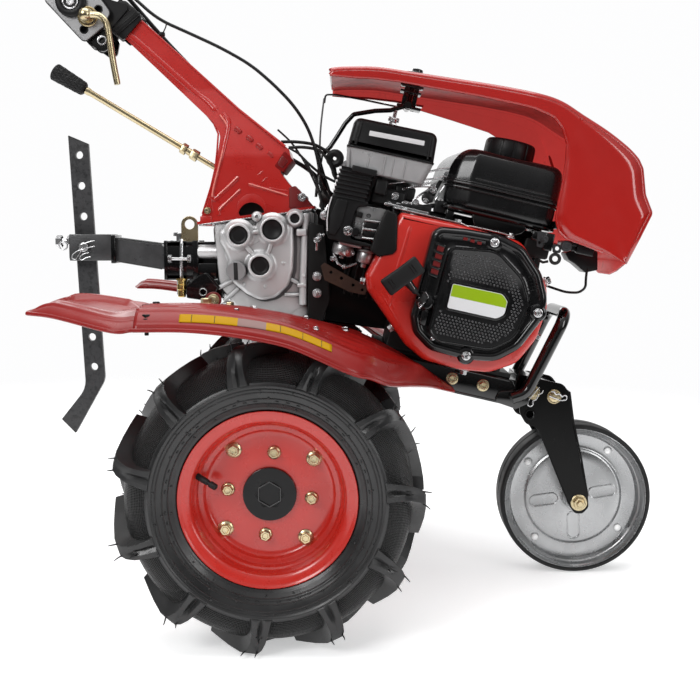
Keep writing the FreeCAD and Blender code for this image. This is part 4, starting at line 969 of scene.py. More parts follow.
def bead(k, pts, r, sink, out, m=0, seg=10, M=None, closed=False):
    """Pressed bead: half-round rib of radius r whose centre lies sink below the face; out is the face's outward axis."""
    o = Vector(out).normalized()
    P = [Vector(p) - o * sink for p in pts]
    n = len(P)
    rr = [r] * n
    if not closed and n > 4:
        rr[0] = r * 0.55
        rr[-1] = r * 0.55
    tube(k, P, rr, seg, m, closed=closed, M=M)
    return k


g = Kit()
top_out = [(-104, 558), (49, 579), (43, 436), (12, 415), (-60, 415), (-97, 462)]
prism(g, rnd(top_out, [8, 8, 20, 20, 40, 30], 8), PY, -46.5, 46.5, 3.0)
prism(g, rnd([(-58, 470), (40, 470), (40, 250), (-40, 250)], 6), PY, -46, 46, 3.0)
lathe(g, [(20.2, -97), (36, -97), (38, -95), (38, -88), (36, -86), (33, -84), (34, -60), (40, -47), (58, -46), (62, -42), (62, 42),
          (58, 46), (40, 47), (34, 60), (33, 84), (36, 86), (38, 88), (38, 95), (36, 97), (20.2, 97)], (0, 0, 202), (0, 1, 0), 56, closed=True)
prism(g, rnd([(-111, 557), (55, 579.8), (50, 432), (50, 230), (30, 150), (-30, 150), (-62, 215), (-68, 415), (-104, 460)], 12, 6),
      PY, -5, 5, 1.2)
face = [(-96.5, 548), (-95, 530), (-88, 517), (-82, 503), (-84, 482), (-73, 463.5), (-55, 449), (-33, 438.0), (-9, 443), (11, 462),
        (18, 486), (19.5, 515), (19.5, 563)]
for s in (-1, 1):
    prism(g, rnd(face, [10, 14, 20, 14, 16, 20, 22, 26, 26, 24, 22, 20, 6], 6), PY, s * 38, s * 56.5, 6.8, n=6)
    # webs that join the three bearing bosses round a sunk triangle
    for a, b_ in (((-52, 541), (-24, 546)), ((-14, 530), (-22, 508)), ((-56, 524), (-40, 506))):
        va, vb = Vector((a[0], s * 57.4, a[1])), Vector((b_[0], s * 57.4, b_[1]))
        tube(g, [va, (va + vb) / 2, vb], 3.6, 10, flat=0.7)
    bosses = [(-64.5, 538.5, 18.2, 14.2), (-13.2, 547, 19.2, 15.4), (-32.2, 492, 18.8, 14.4)]
    for (x, z, ro, ri) in bosses:
        hh = 9.5 if s < 0 else 4.0
        lathe(g, [(ri, 4.0), (ri, hh - 0.5), (ri + 0.9, hh), (ro - 1.0, hh), (ro, hh - 0.9), (ro + 1.0, hh - 4), (ro + 3.8, 1.2),
                  (ro + 7, -0.6)], (x, s * 56.5, z), (0, s, 0), 44)
        lathe(g, [(0, 3.6), (ri, 3.6)], (x, s * 56.5, z), (0, s, 0), 44)
    lathe(g, [(7.4, 1), (7.4, 4.5), (8, 5.2), (10.2, 5.2), (10.9, 4.4), (13, -1), (15, -4.5)], (21, s * 56.5, 564), (0, s, 0), 36)
    # rib beside the face, its lug and the foot ribs
    tube(g, [(33, s * 49.5, 432), (33.4, s * 49.5, 470), (35.5, s * 49.5, 520), (38, s * 49.5, 572)], 6.6, 14)
    rbox(g, (31, s * 51, 543), (8, 7, 5.5), 2.2)
    rbox(g, (31, s * 50.5, 462), (7, 6, 3.0), 1.6, M=None)
    tube(g, [(8, s * 47.5, 474), (20, s * 47.5, 468), (37, s * 47.5, 458)], 3.2, 10)
    tube(g, [(4, s * 47.5, 447.5), (20, s * 47.5, 447), (37.5, s * 47.5, 449.7)], 3.0, 10)
    for ang, r0, r1 in ((206, 50, 76), (222, 50, 80)):
        ca, sa = math.cos(D(ang)), math.sin(D(ang))
        va, vb = Vector((-30 + r0 * ca, s * 47.0, 491 + r0 * sa)), Vector((-30 + r1 * ca, s * 47.0, 491 + r1 * sa))
        tube(g, [va, (va + vb) / 2, vb], 3.3, 10)
    for (x, z) in ((2.7, 495.5), (-58, 463.8), (-25, 459.7), (34.6, 476), (-83, 545)):
        lathe(g, [(2.6, -0.4), (2.2, 0.7), (1.2, 1.0), (0, 1.0)], (x, s * (56.5 if x < 20 else 55.8), z), (0, s, 0), 14)
    # axle trumpet ribs
    for a in range(0, 360, 60):
        ca, sa = math.cos(D(a + 30)), math.sin(D(a + 30))
        pts = [(ca * 56, s * 46, 202 + sa * 56), (ca * 36, s * 60, 202 + sa * 36), (ca * 34, s * 84, 202 + sa * 34)]
        tube(g, pts, 2.6, 8)
# rear tubular boss, flared into the case
lathe(g, [(0, 0), (8.6, 0), (10.4, 1.0), (10.7, 3), (10.7, 26), (12.5, 34), (17, 42), (24, 50)], (-132, -28, 513), (1, 0, 0), 36)
# webs between the case halves above the neck and down the neck
for s in (-1, 1):
    for z in (400, 350, 300):
        rbox(g, (0, s * 46, z), (34, 2.6, 2.2), 1.4)
    prism(g, [(-30, 262), (-24, 262), (-10, 412), (-16, 412)], PY, s * 44, s * 50, 1.5)
    prism(g, [(26, 262), (20, 262), (8, 412), (14, 412)], PY, s * 44, s * 50, 1.5)
ob = make("gearbox_case", g, [M_CAST], "chassis", angle=30)
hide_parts("gearbox")

k = Kit()
for s in (-1, 1):
    for (x, z, ro, ri) in [(-64.5, 538.5, 18.2, 14.0), (-13.2, 547, 19.2, 15.2), (-32.2, 492, 18.8, 14.2)]:
        lathe(k, [(ri, 3.4), (ri, 6.4 if s < 0 else 3.9), (ri - 0.9, 7.2 if s < 0 else 4.4), (ri * 0.72, 6.9 if s < 0 else 4.2),
                  (ri * 0.66, 6.3 if s < 0 else 3.9), (0, 6.3 if s < 0 else 3.9)], (x, s * 56.5, z), (0, s, 0), 40)
    lathe(k, [(7.3, 1), (7.3, 3.0), (6.6, 3.6), (5.2, 3.3), (0, 3.2)], (21, s * 56.5, 564), (0, s, 0), 30)
# slotted filler plug
lathe(k, [(14.2, -6), (14.2, 7.0), (0, 7.0)], (-69, -56.5, 484), (0, -1, 0), 40)
ob = make("gearbox_caps", k, [M_PLASTIC], "chassis", angle=35)
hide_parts("gearbox_plugs")
k = Kit()
for s in (-1, 1):
    for (x, z, ro, ri) in [(-64.5, 538.5, 18.2, 14.2), (-13.2, 547, 19.2, 15.4), (-32.2, 492, 18.8, 14.4)]:
        hh = 9.5 if s < 0 else 4.0
        lathe(k, [(ri + 0.2, hh - 1.6), (ri + 0.4, hh + 0.1), (ri + 0.9, hh + 0.5), (ro - 1.3, hh + 0.5), (ro - 0.6, hh + 0.1), (ro - 0.5, hh - 0.6)],
              (x, s * 56.5, z), (0, s, 0), 48)
    lathe(k, [(7.4, 4), (7.6, 5.3), (8.2, 5.6), (9.8, 5.6), (10.3, 5.2)], (21, s * 56.5, 564), (0, s, 0), 36)
make("gearbox_boss_faces", k, [M_BOSS], "chassis", angle=35)
# painted shadow: thin dark band under the raised main face, widest down its front side
k = Kit()
for s in (-1, 1):
    prism(k, rnd([(x + 4.2 if x > -40 else x + 1.0, z - 2.4 if z < 500 else z) for (x, z) in face], [6, 14, 20, 14, 16, 20, 22, 26, 26, 24, 22, 20, 4], 6), PY, s * 44, s * 47.6, 0.5)
make("gearbox_seam_shadow", k, [M_SEAM_SHADOW], "chassis", angle=35)
k = Kit()
# painted shade: dark strip for the plug's slot
prism(k, [(-71.6, 471.2), (-65.4, 470.6), (-66.4, 496.8), (-72.6, 497.4)], PY, -66.2, -67.1, 0.2)
make("gearbox_plug_slot", k, [M_DARK_SHADE], "chassis")
k = Kit()
lathe(k, [(0, 0), (15, 0), (15, 8.6), (13.8, 10.2), (0, 10.2)], (-69, -56.5, 484), (0, -1, 0), 40)
make("gearbox_plug", k, [M_PLATE], "chassis", angle=35)
k = Kit()
for s in (-1, 1):
    lathe(k, [(8.6, -8), (8.6, 1.2), (7.4, 4.2), (4.4, 6.4), (2.6, 6.8), (2.4, 5.0), (0, 5.0)], (-37, s * 54, 566.5), (0, s, 0), 28, 1)
    for (x, z) in ((54, 452), (54, 500), (50, 300), (46, 210), (-63, 400), (-65, 330), (-66, 250), (0, 146), (-96, 480)):
        if abs(x) < 200 and not (x == 0):
            bolt(k, (x - (6 if x > 0 else -6), s * 5, z), (0, s, 0), 10, 6, m=0)
    for a in range(0, 360, 60):
        bolt(k, (50 * math.cos(D(a)), s * 46, 202 + 50 * math.sin(D(a))), (0, s, 0), 10, 6, m=0)
    for (x, z) in ((50.5, 471.8), (50.5, 446.1)):
        bolt(k, (x + 4, s * 58, z + 4), (0, s, 0), 9, 7, wr=7.2, m=0, stub=2)
make("gearbox_bolts", k, [M_STEEL, M_CAST], "chassis", angle=30)
k = Kit()
# bright plate between the case and the column
M8 = Matrix.Translation((0, 0, 569.9)) @ Matrix.Rotation(D(-7.8), 4, 'Y')
prism(k, rnd([(-128, -50), (-128, 50), (50, 50), (50, -50)], 6), PZ, 0, 2.6, 0.6, M=M8)
make("case_top_plate", k, [M_STEEL], "chassis")
# black bracket plates on the gearbox's front that carry the two bolts and the frame
k = Kit()
for s in (-1, 1):
    prism(k, rnd([(42, 560), (66, 552), (74, 440), (60, 400), (40, 396)], [6, 10, 10, 10, 6]), PY, s * 54, s * 58, 0.8)
rbox(k, (62, 0, 478), (3, 56, 70), 1.4)
make("case_front_plate", k, [M_ENGINE], "chassis")

# ------------------------------------------------------------------- column
k = Kit()
for s in (-1, 1):
    o = (0, s, 0)
    y = lambda v: s * v
    # long bead down the tube, then the one that sweeps down the cheek and turns up in a V
    bead(k, spline([(-246, y(21), 856), (-190, y(21), 807), (-136.8, y(21.2), 760), (-116, y(24.2), 744), (-98, y(29), 725)], 6), 7.0, 4.4, o)
    bead(k, spline([(-91, y(31.6), 724), (-83, y(33.8), 714), (-81.5, y(36), 703), (-85, y(40), 684), (-90, y(45.6), 661),
                    (-98, y(46), 632), (-103.4, y(46), 609), (-105.4, y(46), 598), (-103.5, y(46), 593), (-97, y(46), 597),
                    (-84, y(46), 609.5), (-64.5, y(46), 628)], 6), 5.0, 2.9, o)
    bead(k, spline([(-96, y(46), 568), (-96.3, y(46), 576), (-92, y(46), 582), (-78, y(46), 593.4), (-61.7, y(46), 608.6)], 6), 3.8, 2.3, o)
    bead(k, spline([(-51.4, y(46), 616.7), (-24.8, y(46), 608.6), (12, y(46), 598)], 6), 3.4, 2.1, o)
    bead(k, spline([(-20, y(46), 611.5), (-6, y(46), 608), (12, y(46), 605.6)], 6), 2.0, 1.5, o)
    bead(k, spline([(-36.9, y(46), 629), (-32, y(46), 633), (-27.6, y(46), 637)], 4), 1.5, 0.8, o)
    bead(k, spline([(-30.9, y(46), 618.7), (-26, y(46), 623), (-21.6, y(46), 626.8)], 4), 1.5, 0.8, o)
    bead(k, spline([(-118.5, y(46), 573), (-113, y(46), 587), (-109.3, y(46), 597), (-107, y(46), 585), (-105, y(46), 574)], 4), 1.4, 0.7, o)
    # rolled edges
    tube(k, [(-222, y(20.4), 871.6), (-150, y(20.4), 806.6), (-102, y(20.8), 763.4), (-84, y(24.5), 747.2), (-66.5, y(28.5), 731.2),
             (-30, y(37), 702), (6, y(44.6), 673.5)], 2.0, 8)
    tube(k, [(-247, y(20.4), 849.4), (-190, y(20.4), 795), (-140, y(20.6), 747), (-118, y(24.8), 726), (-104, y(30), 709),
             (-96.6, y(37), 693), (-98, y(42.5), 668), (-101, y(45.5), 640), (-108, y(45.6), 612), (-121.5, y(45.6), 571)], 1.5, 8)
    # little gusset over the front foot and the folded tab at the back foot
    prism(k, rnd([(12, 611), (22, 614), (33, 601), (48, 583.5), (12, 579)], [2, 4, 3, 2, 2]), PY, s * 45, s * 47.6, 0.7, m=1)
    rbox(k, (-116, s * 43.5, 560.5), (9, 4.2, 7.4), 1.6, m=0)
    # four shallow dashes pressed side by side on the cheek, bare
# hooked tab over the cable notch and the four bare dashes pressed beside it
prism(k, rnd([(5.4, 667), (18.4, 653.2), (2.6, 633.6), (-10.4, 643.6)], 3.0), PY, -47.0, 47.0, 1.2, m=4, n=3)
prism(k, rnd([(2, 660), (11, 651.4), (1.8, 640.0), (-5.6, 646.4)], 2.4), PY, -48.0, -46.6, 0.6, m=1)
for (x, z) in ((-71, 702), (-53, 689), (-38, 676.5), (-21, 664)):
    for s in (-1, 1):
        bead(k, spline([(x, s * (38.4 if z > 695 else 41.4 if z > 684 else 43.8 if z > 672 else 45.2), z), (x + 5, s * (38.8 if z > 695 else 41.8 if z > 684 else 44.2 if z > 672 else 45.5), z - 3.6), (x + 9, s * (39.2 if z > 695 else 42.2 if z > 684 else 44.6 if z > 672 else 45.8), z - 8.4)], 4), 4.2, 2.9, (0, s, 0), m=2)
for s in (-1, 1):
    # painted highlight: lighter red crest lines along the two ridges
    for P_, r_ in (([(-94, 32.9, 722), (-84.5, 35.2, 708), (-85, 37.6, 694), (-88, 42.4, 676), (-91, 48.0, 658), (-98.6, 48.3, 630),
                     (-104.2, 48.2, 608), (-106, 48.1, 597)], 1.25), ([(-98, 48.1, 598.6), (-84, 48.2, 611), (-66, 48.1, 628)], 1.0),
                   ([(-96.6, 47.6, 577), (-78, 47.7, 594.8), (-63, 47.6, 608.8)], 0.9), ([(-50, 47.5, 617), (-24.8, 47.5, 609.6), (10, 47.4, 599)], 0.8)):
        tube(k, spline([(a_, s * b_, c_) for a_, b_, c_ in P_], 6), r_, 8, 3)
    # plain crescent that closes the top of the cable notch down to its low arch
    cr_ = [(-46 + 22.6 * math.cos(D(a)), 579 + 22.6 * math.sin(D(a))) for a in range(-4, 185, 8)]
    cr_ += [(-46 + 20.6 * math.cos(D(a)), 568 + 20.6 * math.sin(D(a))) for a in range(180, -1, -8)]
    prism(k, cr_, PY, s * 43.2, s * 46.4, 0.25)
make("column_beads", k, [M_COLUMN, M_REDDARK, M_COLUMN2, M_COLUMN_CREST_HIGHLIGHT, M_REDMATT], "chassis", angle=40)
k = Kit()
# painted shade: dark plate inside the column, seen through the cable notch
prism(k, rnd([(-76, 566), (-16, 572), (-18, 600), (-74, 598)], 8), PY, -26, 26, 1, m=0)
make("column_inside", k, [M_DARK_SHADE], "chassis")
k = Kit()
for s in (-1, 1):
    bolt(k, (-113.4, s * 47.6, 576), (0, s, 0), 6, 4, wr=5.5, m=1)
    bolt(k, (31.5, s * 47.6, 596.4), (0, s, 0), 8, 4.5, wr=6.6, m=0)
make("column_bolts", k, [M_STEEL, M_ZINC], "chassis")

# ------------------------------------------- handlebar joint on the column head
PVX, PVZ = -315.4, 888.7
k = Kit()
lathe(k, [(12.2, 0.2), (12.4, 4.4), (13.6, 6.2), (15.5, 6.8), (20, 6.6), (22.6, 4.8), (23, 2.4), (23, 0.0)], (PVX, -41.6, PVZ), (0, -1, 0), 56, 0)
lathe(k, [(12.2, 0.2), (12.4, 4.4), (13.6, 6.2), (15.5, 6.8), (20, 6.6), (22.6, 4.8), (23, 2.4), (23, 0.0)], (PVX, 41.6, PVZ), (0, 1, 0), 56, 0)
lathe(k, [(7.5, 4.2), (9.6, 4.2), (10.2, 7.6), (11.2, 8.2), (12.4, 7.6), (12.4, 4.0)], (PVX, -41.6, PVZ), (0, -1, 0), 40, 1)
# painted shade: dark disc in the collar's recess round the nut
lathe(k, [(9.8, 4.6), (9.8, 5.0), (0, 5.0)], (PVX, -41.6, PVZ), (0, -1, 0), 32, 2)
hexa(k, (PVX, -46.4, PVZ), (0, -1, 0), 12, 2.4, 1)
hexa(k, (PVX, 46.6, PVZ), (0, 1, 0), 17, 8, 1)
ob = make("pivot_washers", k, [M_PLASTIC, M_STEEL, M_DARK_SHADE], "handlebar")
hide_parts("pivot_bolt")
k = Kit()
tube(k, [(PVX, -42, PVZ), (PVX, 0, PVZ), (PVX, 42, PVZ)], 8.0, 20)
make("pivot_shank", k, [M_STEEL], "handlebar")
# plates with their rimmed holes
k = Kit()
gp = [(-348, 908), (-356, 892), (-297, 829), (-268, 852), (-257, 873), (-280, 905), (-312, 940), (-345, 944)]
gpr = [6, 8, 8, 8, 8, 20, 10, 10]


def holed(k, poly, holes, P, h0, h1, bev, m=0, hm=None):
    """Flat plate with round holes, its rims softened; triangulated faces with real openings."""
    bm = bmesh.new()
    loops = [poly] + [[(x + r * math.cos(2 * math.pi * i / 28), z + r * math.sin(2 * math.pi * i / 28)) for i in range(28)] for x, z, r in holes]
    for h in (h0, h1):
        sg = 1 if h == h1 else -1
        edges = []
        for li, lp in enumerate(loops):
            lp2 = inset(lp, bev) if li == 0 else inset(lp, -bev * 0.6)
            vs = [bm.verts.new(Vector(P(q[0], q[1], h))) for q in lp2]
            edges += [bm.edges.new((vs[i], vs[(i + 1) % len(vs)])) for i in range(len(vs))]
        bmesh.ops.triangle_fill(bm, use_beauty=True, use_dissolve=False, edges=edges)
    bm.verts.index_update()
    k.add([v.co for v in bm.verts], [[v.index for v in f.verts] for f in bm.faces], m)
    bm.free()
    d = (h1 - h0)
    e = bev if d > 0 else -bev
    for li, lp in enumerate(loops):
        i1 = inset(lp, bev) if li == 0 else inset(lp, -bev * 0.6)
        rings = [(i1, h0), (lp, h0 + e), (lp, h1 - e), (i1, h1)]
        c = len(lp)
        vs = [P(q[0], q[1], h) for pl, h in rings for q in pl]
        fs = [(i * c + j, i * c + (j + 1) % c, (i + 1) * c + (j + 1) % c, (i + 1) * c + j) for i in range(3) for j in range(c)]
        k.add(vs, fs, m if li == 0 or hm is None else hm)
    return k


for s in (-1, 1):
    holed(k, rnd(gp, gpr, 6), [(PVX, PVZ, 8.2), (-274.8, 877.4, 5), (-297.2, 848.1, 5)], PY, s * 36, s * 41, 0.7)
tube(k, [(-332, -37, 928), (-332, 0, 928), (-332, 37, 928)], 10, 20, 0)
ob = make("yoke_plates", k, [M_PLATE], "handlebar")
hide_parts("handlebar_yoke")
k = Kit()
for s in (-1, 1):
    for (x, z, r) in ((-274.8, 877.4, 5.0), (-297.2, 848.1, 5.0)):
        lathe(k, [(r - 0.1, -4.6), (r - 0.1, 0.4), (r + 0.3, 0.9), (r + 1.5, 0.8), (r + 1.9, 0.1)], (x, s * 41, z), (0, s, 0), 28, 0)
    # dark edging round the plates' rims
    pl = rnd(gp, gpr, 6)
    tube(k, [(q[0], s * 38.5, q[1]) for q in inset(pl, -0.1)], 1.3, 6, 0, closed=True)
make("yoke_edges", k, [M_PLASTIC], "handlebar")
# L-shaped clamp lever with its round head
k = Kit()
lathe(k, [(11.6, 0), (12, 1.0), (11.6, 2.0), (6, 2.4), (6, 6), (8.2, 8), (9.6, 11), (9.8, 14), (9.0, 17.6), (6.6, 20.4), (3.2, 22), (0, 22.4)],
      (-291.6, -41.6, 867.4), (0, -1, 0), 36, 0)
rod = spline([(-290, -55, 866.5), (-281, -55.6, 866.6), (-270, -56.2, 865), (-261, -56.6, 857), (-257.4, -57, 846), (-254.6, -57.2, 826),
              (-249.6, -57.6, 792), (-244.6, -58, 764)], 6)
tube(k, rod, [5.6] + [4.9] * (len(rod) - 2) + [4.6], 18, 0)
ringwire(k, (-290.4, -43.6, 866.6), (0, 1, 0), 14, 1.6, 0, 30)
tube(k, [(-291.6, -41.6, 867.4), (-291.6, -30, 867.4)], 5.6, 16, 0)
ob = make("clamp_lever_rod", k, [M_ZINC], "handlebar")
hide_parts("clamp_lever")
# lower link behind the lever, with a bushed hole, and the sleeve over the column's end
k = Kit()
holed(k, rnd([(-293, 838), (-287, 826), (-272, 815), (-262, 822), (-258, 842), (-270, 852)], [5, 6, 8, 7, 6, 5]), [(-272.6, 833.6, 5.4)],
      PY, -26.6, -32.6, 0.9)
holed(k, rnd([(-293, 838), (-287, 826), (-272, 815), (-262, 822), (-258, 842), (-270, 852)], [5, 6, 8, 7, 6, 5]), [(-272.6, 833.6, 5.4)],
      PY, 26.6, 32.6, 0.9)
for s in (-1, 1):
    lathe(k, [(5.2, -5), (5.2, 0.6), (5.8, 1.1), (7, 0.9), (7.3, 0)], (-272.6, s * 32.6, 833.6), (0, s, 0), 28, 1)
make("head_links", k, [M_GLOSS, M_STEEL], "chassis")
k = Kit()
cx_, cz_ = -236.5, 860.5
ux_, uz_ = math.cos(D(138)), math.sin(D(138))


def on_col(d, n_):
    return (cx_ + ux_ * d + uz_ * n_, cz_ + uz_ * d - ux_ * n_)


slv = [on_col(-9, 25), on_col(22, 25), on_col(30, 18), on_col(34, -12), on_col(26, -25), on_col(-2, -25)]
prism(k, rnd(slv, [3, 8, 6, 8, 8, 3]), PY, -28, 28, 3.4, 0, n=4)
for d in (-5, 2, 9):
    pts = [on_col(d, -24), on_col(d, 24)]
    tube(k, [(pts[0][0], -26, pts[0][1]), (pts[0][0], -28.1, pts[0][1] + 4), (pts[1][0], -28.1, pts[1][1] - 4), (pts[1][0], -26, pts[1][1])], 0.8, 6, 0)
make("column_sleeve", k, [M_RUBBER], "chassis", angle=40)

# cable ties and the wire clip on the column's front edge
k = Kit()
c1 = on_col(-46, 24.5)
rbox(k, (c1[0], -4, c1[1]), (4.5, 4, 3), 1.0, 0)
tube(k, [(c1[0] + 1, -4, c1[1]), (c1[0] + 6, -5, c1[1] + 10), (c1[0] + 8, -6, c1[1] + 16)], 1.1, 6, 1)
make("column_clip", k, [M_PLASTIC, M_BLACK], "chassis")

# --------------------------------------------------------------- gear lever
k = Kit()
p0, p1 = Vector((-107, -30, 645)), Vector((-302, -34, 761.3))
d_ = (p1 - p0).normalized()
tube(k, [p0 - d_ * 16, p0 + d_ * 28], 4.4, 18)
hexa(k, p0 + d_ * 26, d_, 15, 12, 0, cham=0.2)
tube(k, [p0 + d_ * 38, p0 + d_ * 44], 5.6, 18)
hexa(k, p0 + d_ * 46, d_, 15, 9, 0, cham=0.2)
lathe(k, [(4.9, 0), (4.9, 170), (5.8, 172), (5.8, 178), (4.9, 179)], p0 + d_ * 44, d_, 20)
ob = make("gear_lever_rod", k, [M_ZINC], "chassis")
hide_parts("gear_lever")
k = Kit()
a_, b_ = Vector((-299.2, -34, 759.5)), Vector((-346, -35, 787.4))
L_ = (b_ - a_).length
B = basis(a_, b_ - a_)
seg, ring = 72, 52
vs, fs = [], []
tri = lambda t: abs((t % 1.0) - 0.5) * 2
for i in range(ring + 1):
    t = i / ring
    for j in range(seg):
        r = 10.2 + 3.0 * t
        if t < 0.06:
            r -= 2.2 * (1 - t / 0.06) ** 2
        if t > 0.95:
            r -= 3.0 * ((t - 0.95) / 0.05) ** 2
        kn = min(tri(j / seg * 14 + t * 4.0), tri(j / seg * 14 - t * 4.0))
        if 0.05 < t < 0.96:
            r += 1.1 * min(1.0, kn * 1.6) - 0.5
        an = 2 * math.pi * j / seg
        vs.append((r * math.cos(an), r * math.sin(an), t * L_))
for i in range(ring):
    for j in range(seg):
        j2 = (j + 1) % seg
        fs.append((i * seg + j, i * seg + j2, (i + 1) * seg + j2, (i + 1) * seg + j))
fs.append(tuple(range(seg)))
fs.append(tuple(ring * seg + j for j in range(seg)))
k.add(vs, fs, 0, B)
ob = make("gear_lever_grip", k, [M_RUBBER], "chassis", angle=20)
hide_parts("lever_grip")

# --------------------------------------------------------------- rear hitch
k = Kit()
# drawbar beam with its raised black edges, and the clamp box round the depth bar
beam = [(-266, 498.5), (-266, 533.5), (-190, 524), (-186, 519.5), (-152, 519.5), (-152, 479.5), (-190, 486)]
holed(k, beam, [(-1000, 0, 1)][:0], PY, -17, 17, 0.9, 0)
for s in (-1, 1):
    tube(k, [(-262, s * 16.4, 533.6), (-190, s * 16.4, 524.2)], 1.8, 8, 1)
    tube(k, [(-262, s * 16.4, 498.6), (-190, s * 16.4, 486.4)], 1.5, 8, 1)
rbox(k, (-300, -19.5, 519.6), (33.0, 4.4, 20.6), 1.3, 0)
rbox(k, (-300, 19.5, 519.6), (33.0, 4.4, 20.6), 1.3, 0)
rbox(k, (-326.4, 0, 519.6), (5.0, 23.4, 20.6), 1.3, 1)
rbox(k, (-264.6, 0, 517), (3.6, 24.4, 22.2), 1.3, 1)
rbox(k, (-331.6, 0, 519.6), (2.2, 23.0, 17.6), 1.3, 1)
ob = make("drawbar_beam", k, [M_HAMMER, M_GLOSS], "chassis", angle=30)
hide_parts("drawbar")
k = Kit()
# bracket: channel with lips, upright tab with hole, foot block with hole
for (x0, x1, z0, z1, y0, y1) in ((-184, -134, 521, 529, -34, 34), (-184, -134, 470, 478, -34, 34), (-150, -134, 476, 523, -34, 34)):
    rbox(k, ((x0 + x1) / 2, (y0 + y1) / 2, (z0 + z1) / 2), ((x1 - x0) / 2, (y1 - y0) / 2, (z1 - z0) / 2), 1.4, 0)
for s in (-1, 1):
    rbox(k, (-166, s * 28, 499.5), (18, 6.0, 30.4), 1.4, 0)
    rbox(k, (-181, s * 28.4, 500), (2.6, 6.6, 30.4), 1.2, 0)
    rbox(k, (-134.5, s * 35.2, 499.5), (4.4, 2.4, 31), 1.0, 0)
rbox(k, (-118, 9, 499.5), (16, 25, 29), 1.6, 0)
rbox(k, (-118, -24, 483), (16, 10, 12.5), 1.6, 0)
rbox(k, (-122, 0, 455), (28, 33, 14), 1.6, 0)
blk = rnd([(-147, 462), (-128, 477), (-117, 481), (-97.5, 459), (-111, 437), (-147, 442)], [3, 4, 4, 3, 4, 3])
holed(k, blk, [(-121.6, 451.5, 4.6)], PY, -40, -49, 0.9, 0)
prism(k, [(-118, 481.5), (-113, 479.5), (-94.5, 458.5), (-98, 455.6)], PY, -38, -51, 0.8, 0)
lathe(k, [(4.6, 0.2), (4.6, 1.2), (6.0, 1.4), (6.4, 0.2)], (-121.6, -49, 451.5), (0, -1, 0), 26, 1)
holed(k, rnd([(-157, 529), (-157, 568), (-131, 568), (-131, 529)], [1, 12.6, 12.6, 1]), [(-144, 555.5, 7.6)], PY, -25.4, -30, 0.5, 2)
ob = make("hitch_channel", k, [M_GLOSS, M_GALV, M_ZINC], "chassis", angle=30)
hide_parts("hitch_bracket")
k = Kit()
# tow pin, its nut, cross bolt with nuts, set screw, depth bar pin
tube(k, [(-162, 0, 445), (-162, 0, 538)], 7.9, 24, 0)
lathe(k, [(7.9, 0), (12.4, 0.6), (12.4, 5), (11.6, 6)], (-162, 0, 537), (0, 0, 1), 30, 0)
tube(k, [(-157, -29.0, 470), (-157, -33.4, 474), (-157, -33.6, 500), (-156, -33.6, 526), (-156, -29.0, 531)], 3.1, 12, 0)
tube(k, [(-177, -37.8, 502.4), (-141, -37.8, 501.8)], 2.6, 14, 0)
for x in (-176.5, -146.5):
    hexa(k, (x, -37.8, 502.3), (1, 0, 0), 10.5, 6.0, 0)
tube(k, [(-308.5, -34, 520.5), (-308.5, 30, 520.5)], 4.9, 16, 0)
lathe(k, [(7.4, 0), (7.4, 2.4), (6.4, 3.4), (0, 3.4)], (-308.5, -30.5, 520.5), (0, -1, 0), 26, 0)
lathe(k, [(8.6, 0), (8.6, 1.6)], (-308.5, -24.2, 520.5), (0, -1, 0), 26, 0)
tube(k, [(-333, 0, 529), (-352, 0, 529)], 5.6, 18, 0)
hexa(k, (-350, 0, 529), (-1, 0, 0), 17, 9, 0)
hexa(k, (-336, 0, 529), (-1, 0, 0), 16, 6, 0)
ringwire(k, (-347, -7, 522), (0, 1, 0.2), 6.4, 1.2, 0, 20)
ob = make("hitch_pins_bright", k, [M_STEEL], "chassis", angle=34)
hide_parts("hitch_pins")
# R-clip through the pin
k = Kit()
rc = spline([(-312, -33.6, 524.6), (-304, -33.8, 526.8), (-296, -34, 529.5), (-290.8, -34, 530.2)], 5)
tube(k, rc, 0.85, 8, 0)
rc = spline([(-290.8, -34, 522), (-300, -35, 519.5), (-309, -37, 516.6), (-318, -36, 514), (-325, -34.6, 509), (-326.4, -34, 503.5), (-321, -34, 501.6),
             (-317, -34.4, 506.5), (-313, -35, 512), (-310, -33.8, 519)], 6)
tube(k, rc, 0.85, 8, 0)
rc = spline([(-299, -36.4, 512), (-308, -36.6, 509.6), (-314, -36, 504.6), (-311, -36, 500.4), (-305, -36, 503.4), (-297, -36, 506)], 6)
tube(k, rc, 0.75, 8, 0)
make("depth_pin_clip", k, [M_STEEL], "chassis")
# nuts above the channel, brass sleeve below it and the zinc bolt on its red washer
k = Kit()
hexa(k, (-150, -10, 531), (0, 0, 1), 19, 7, 2)
hexa(k, (-150, -10, 539), (0, 0, 1), 16, 6, 2)
lathe(k, [(11.5, 0), (11.5, 1.6), (5, 2)], (-150, -10, 529.4), (0, 0, 1), 28, 0)
lathe(k, [(0, 0), (5.0, 0), (6.2, 1.2), (6.2, 11), (7.6, 12), (7.6, 19), (6.0, 20), (6.0, 27)], (-156, -38, 443), (0, 0, 1), 28, 1)
lathe(k, [(8.6, 0), (8.6, 3)], (-156, -38, 469), (0, 0, 1), 28, 1)
lathe(k, [(0, 0), (12.6, 0), (12.6, 1.4), (11.8, 2.0), (0, 2.0)], (-105.8, -49.2, 439.4), (0, -1, 0), 36, 3)
bolt(k, (-105.8, -51.2, 439.4), (0, -1, 0), 12.5, 8, wr=9.2, m=2, turn=0.2)
bolt(k, (-88.5, -47, 430), (0, -1, 0), 8.5, 6, wr=6.4, m=0, turn=0.5)
make("hitch_fasteners", k, [M_STEEL, M_BRASS, M_ZINC, M_REDDARK], "chassis", angle=34)


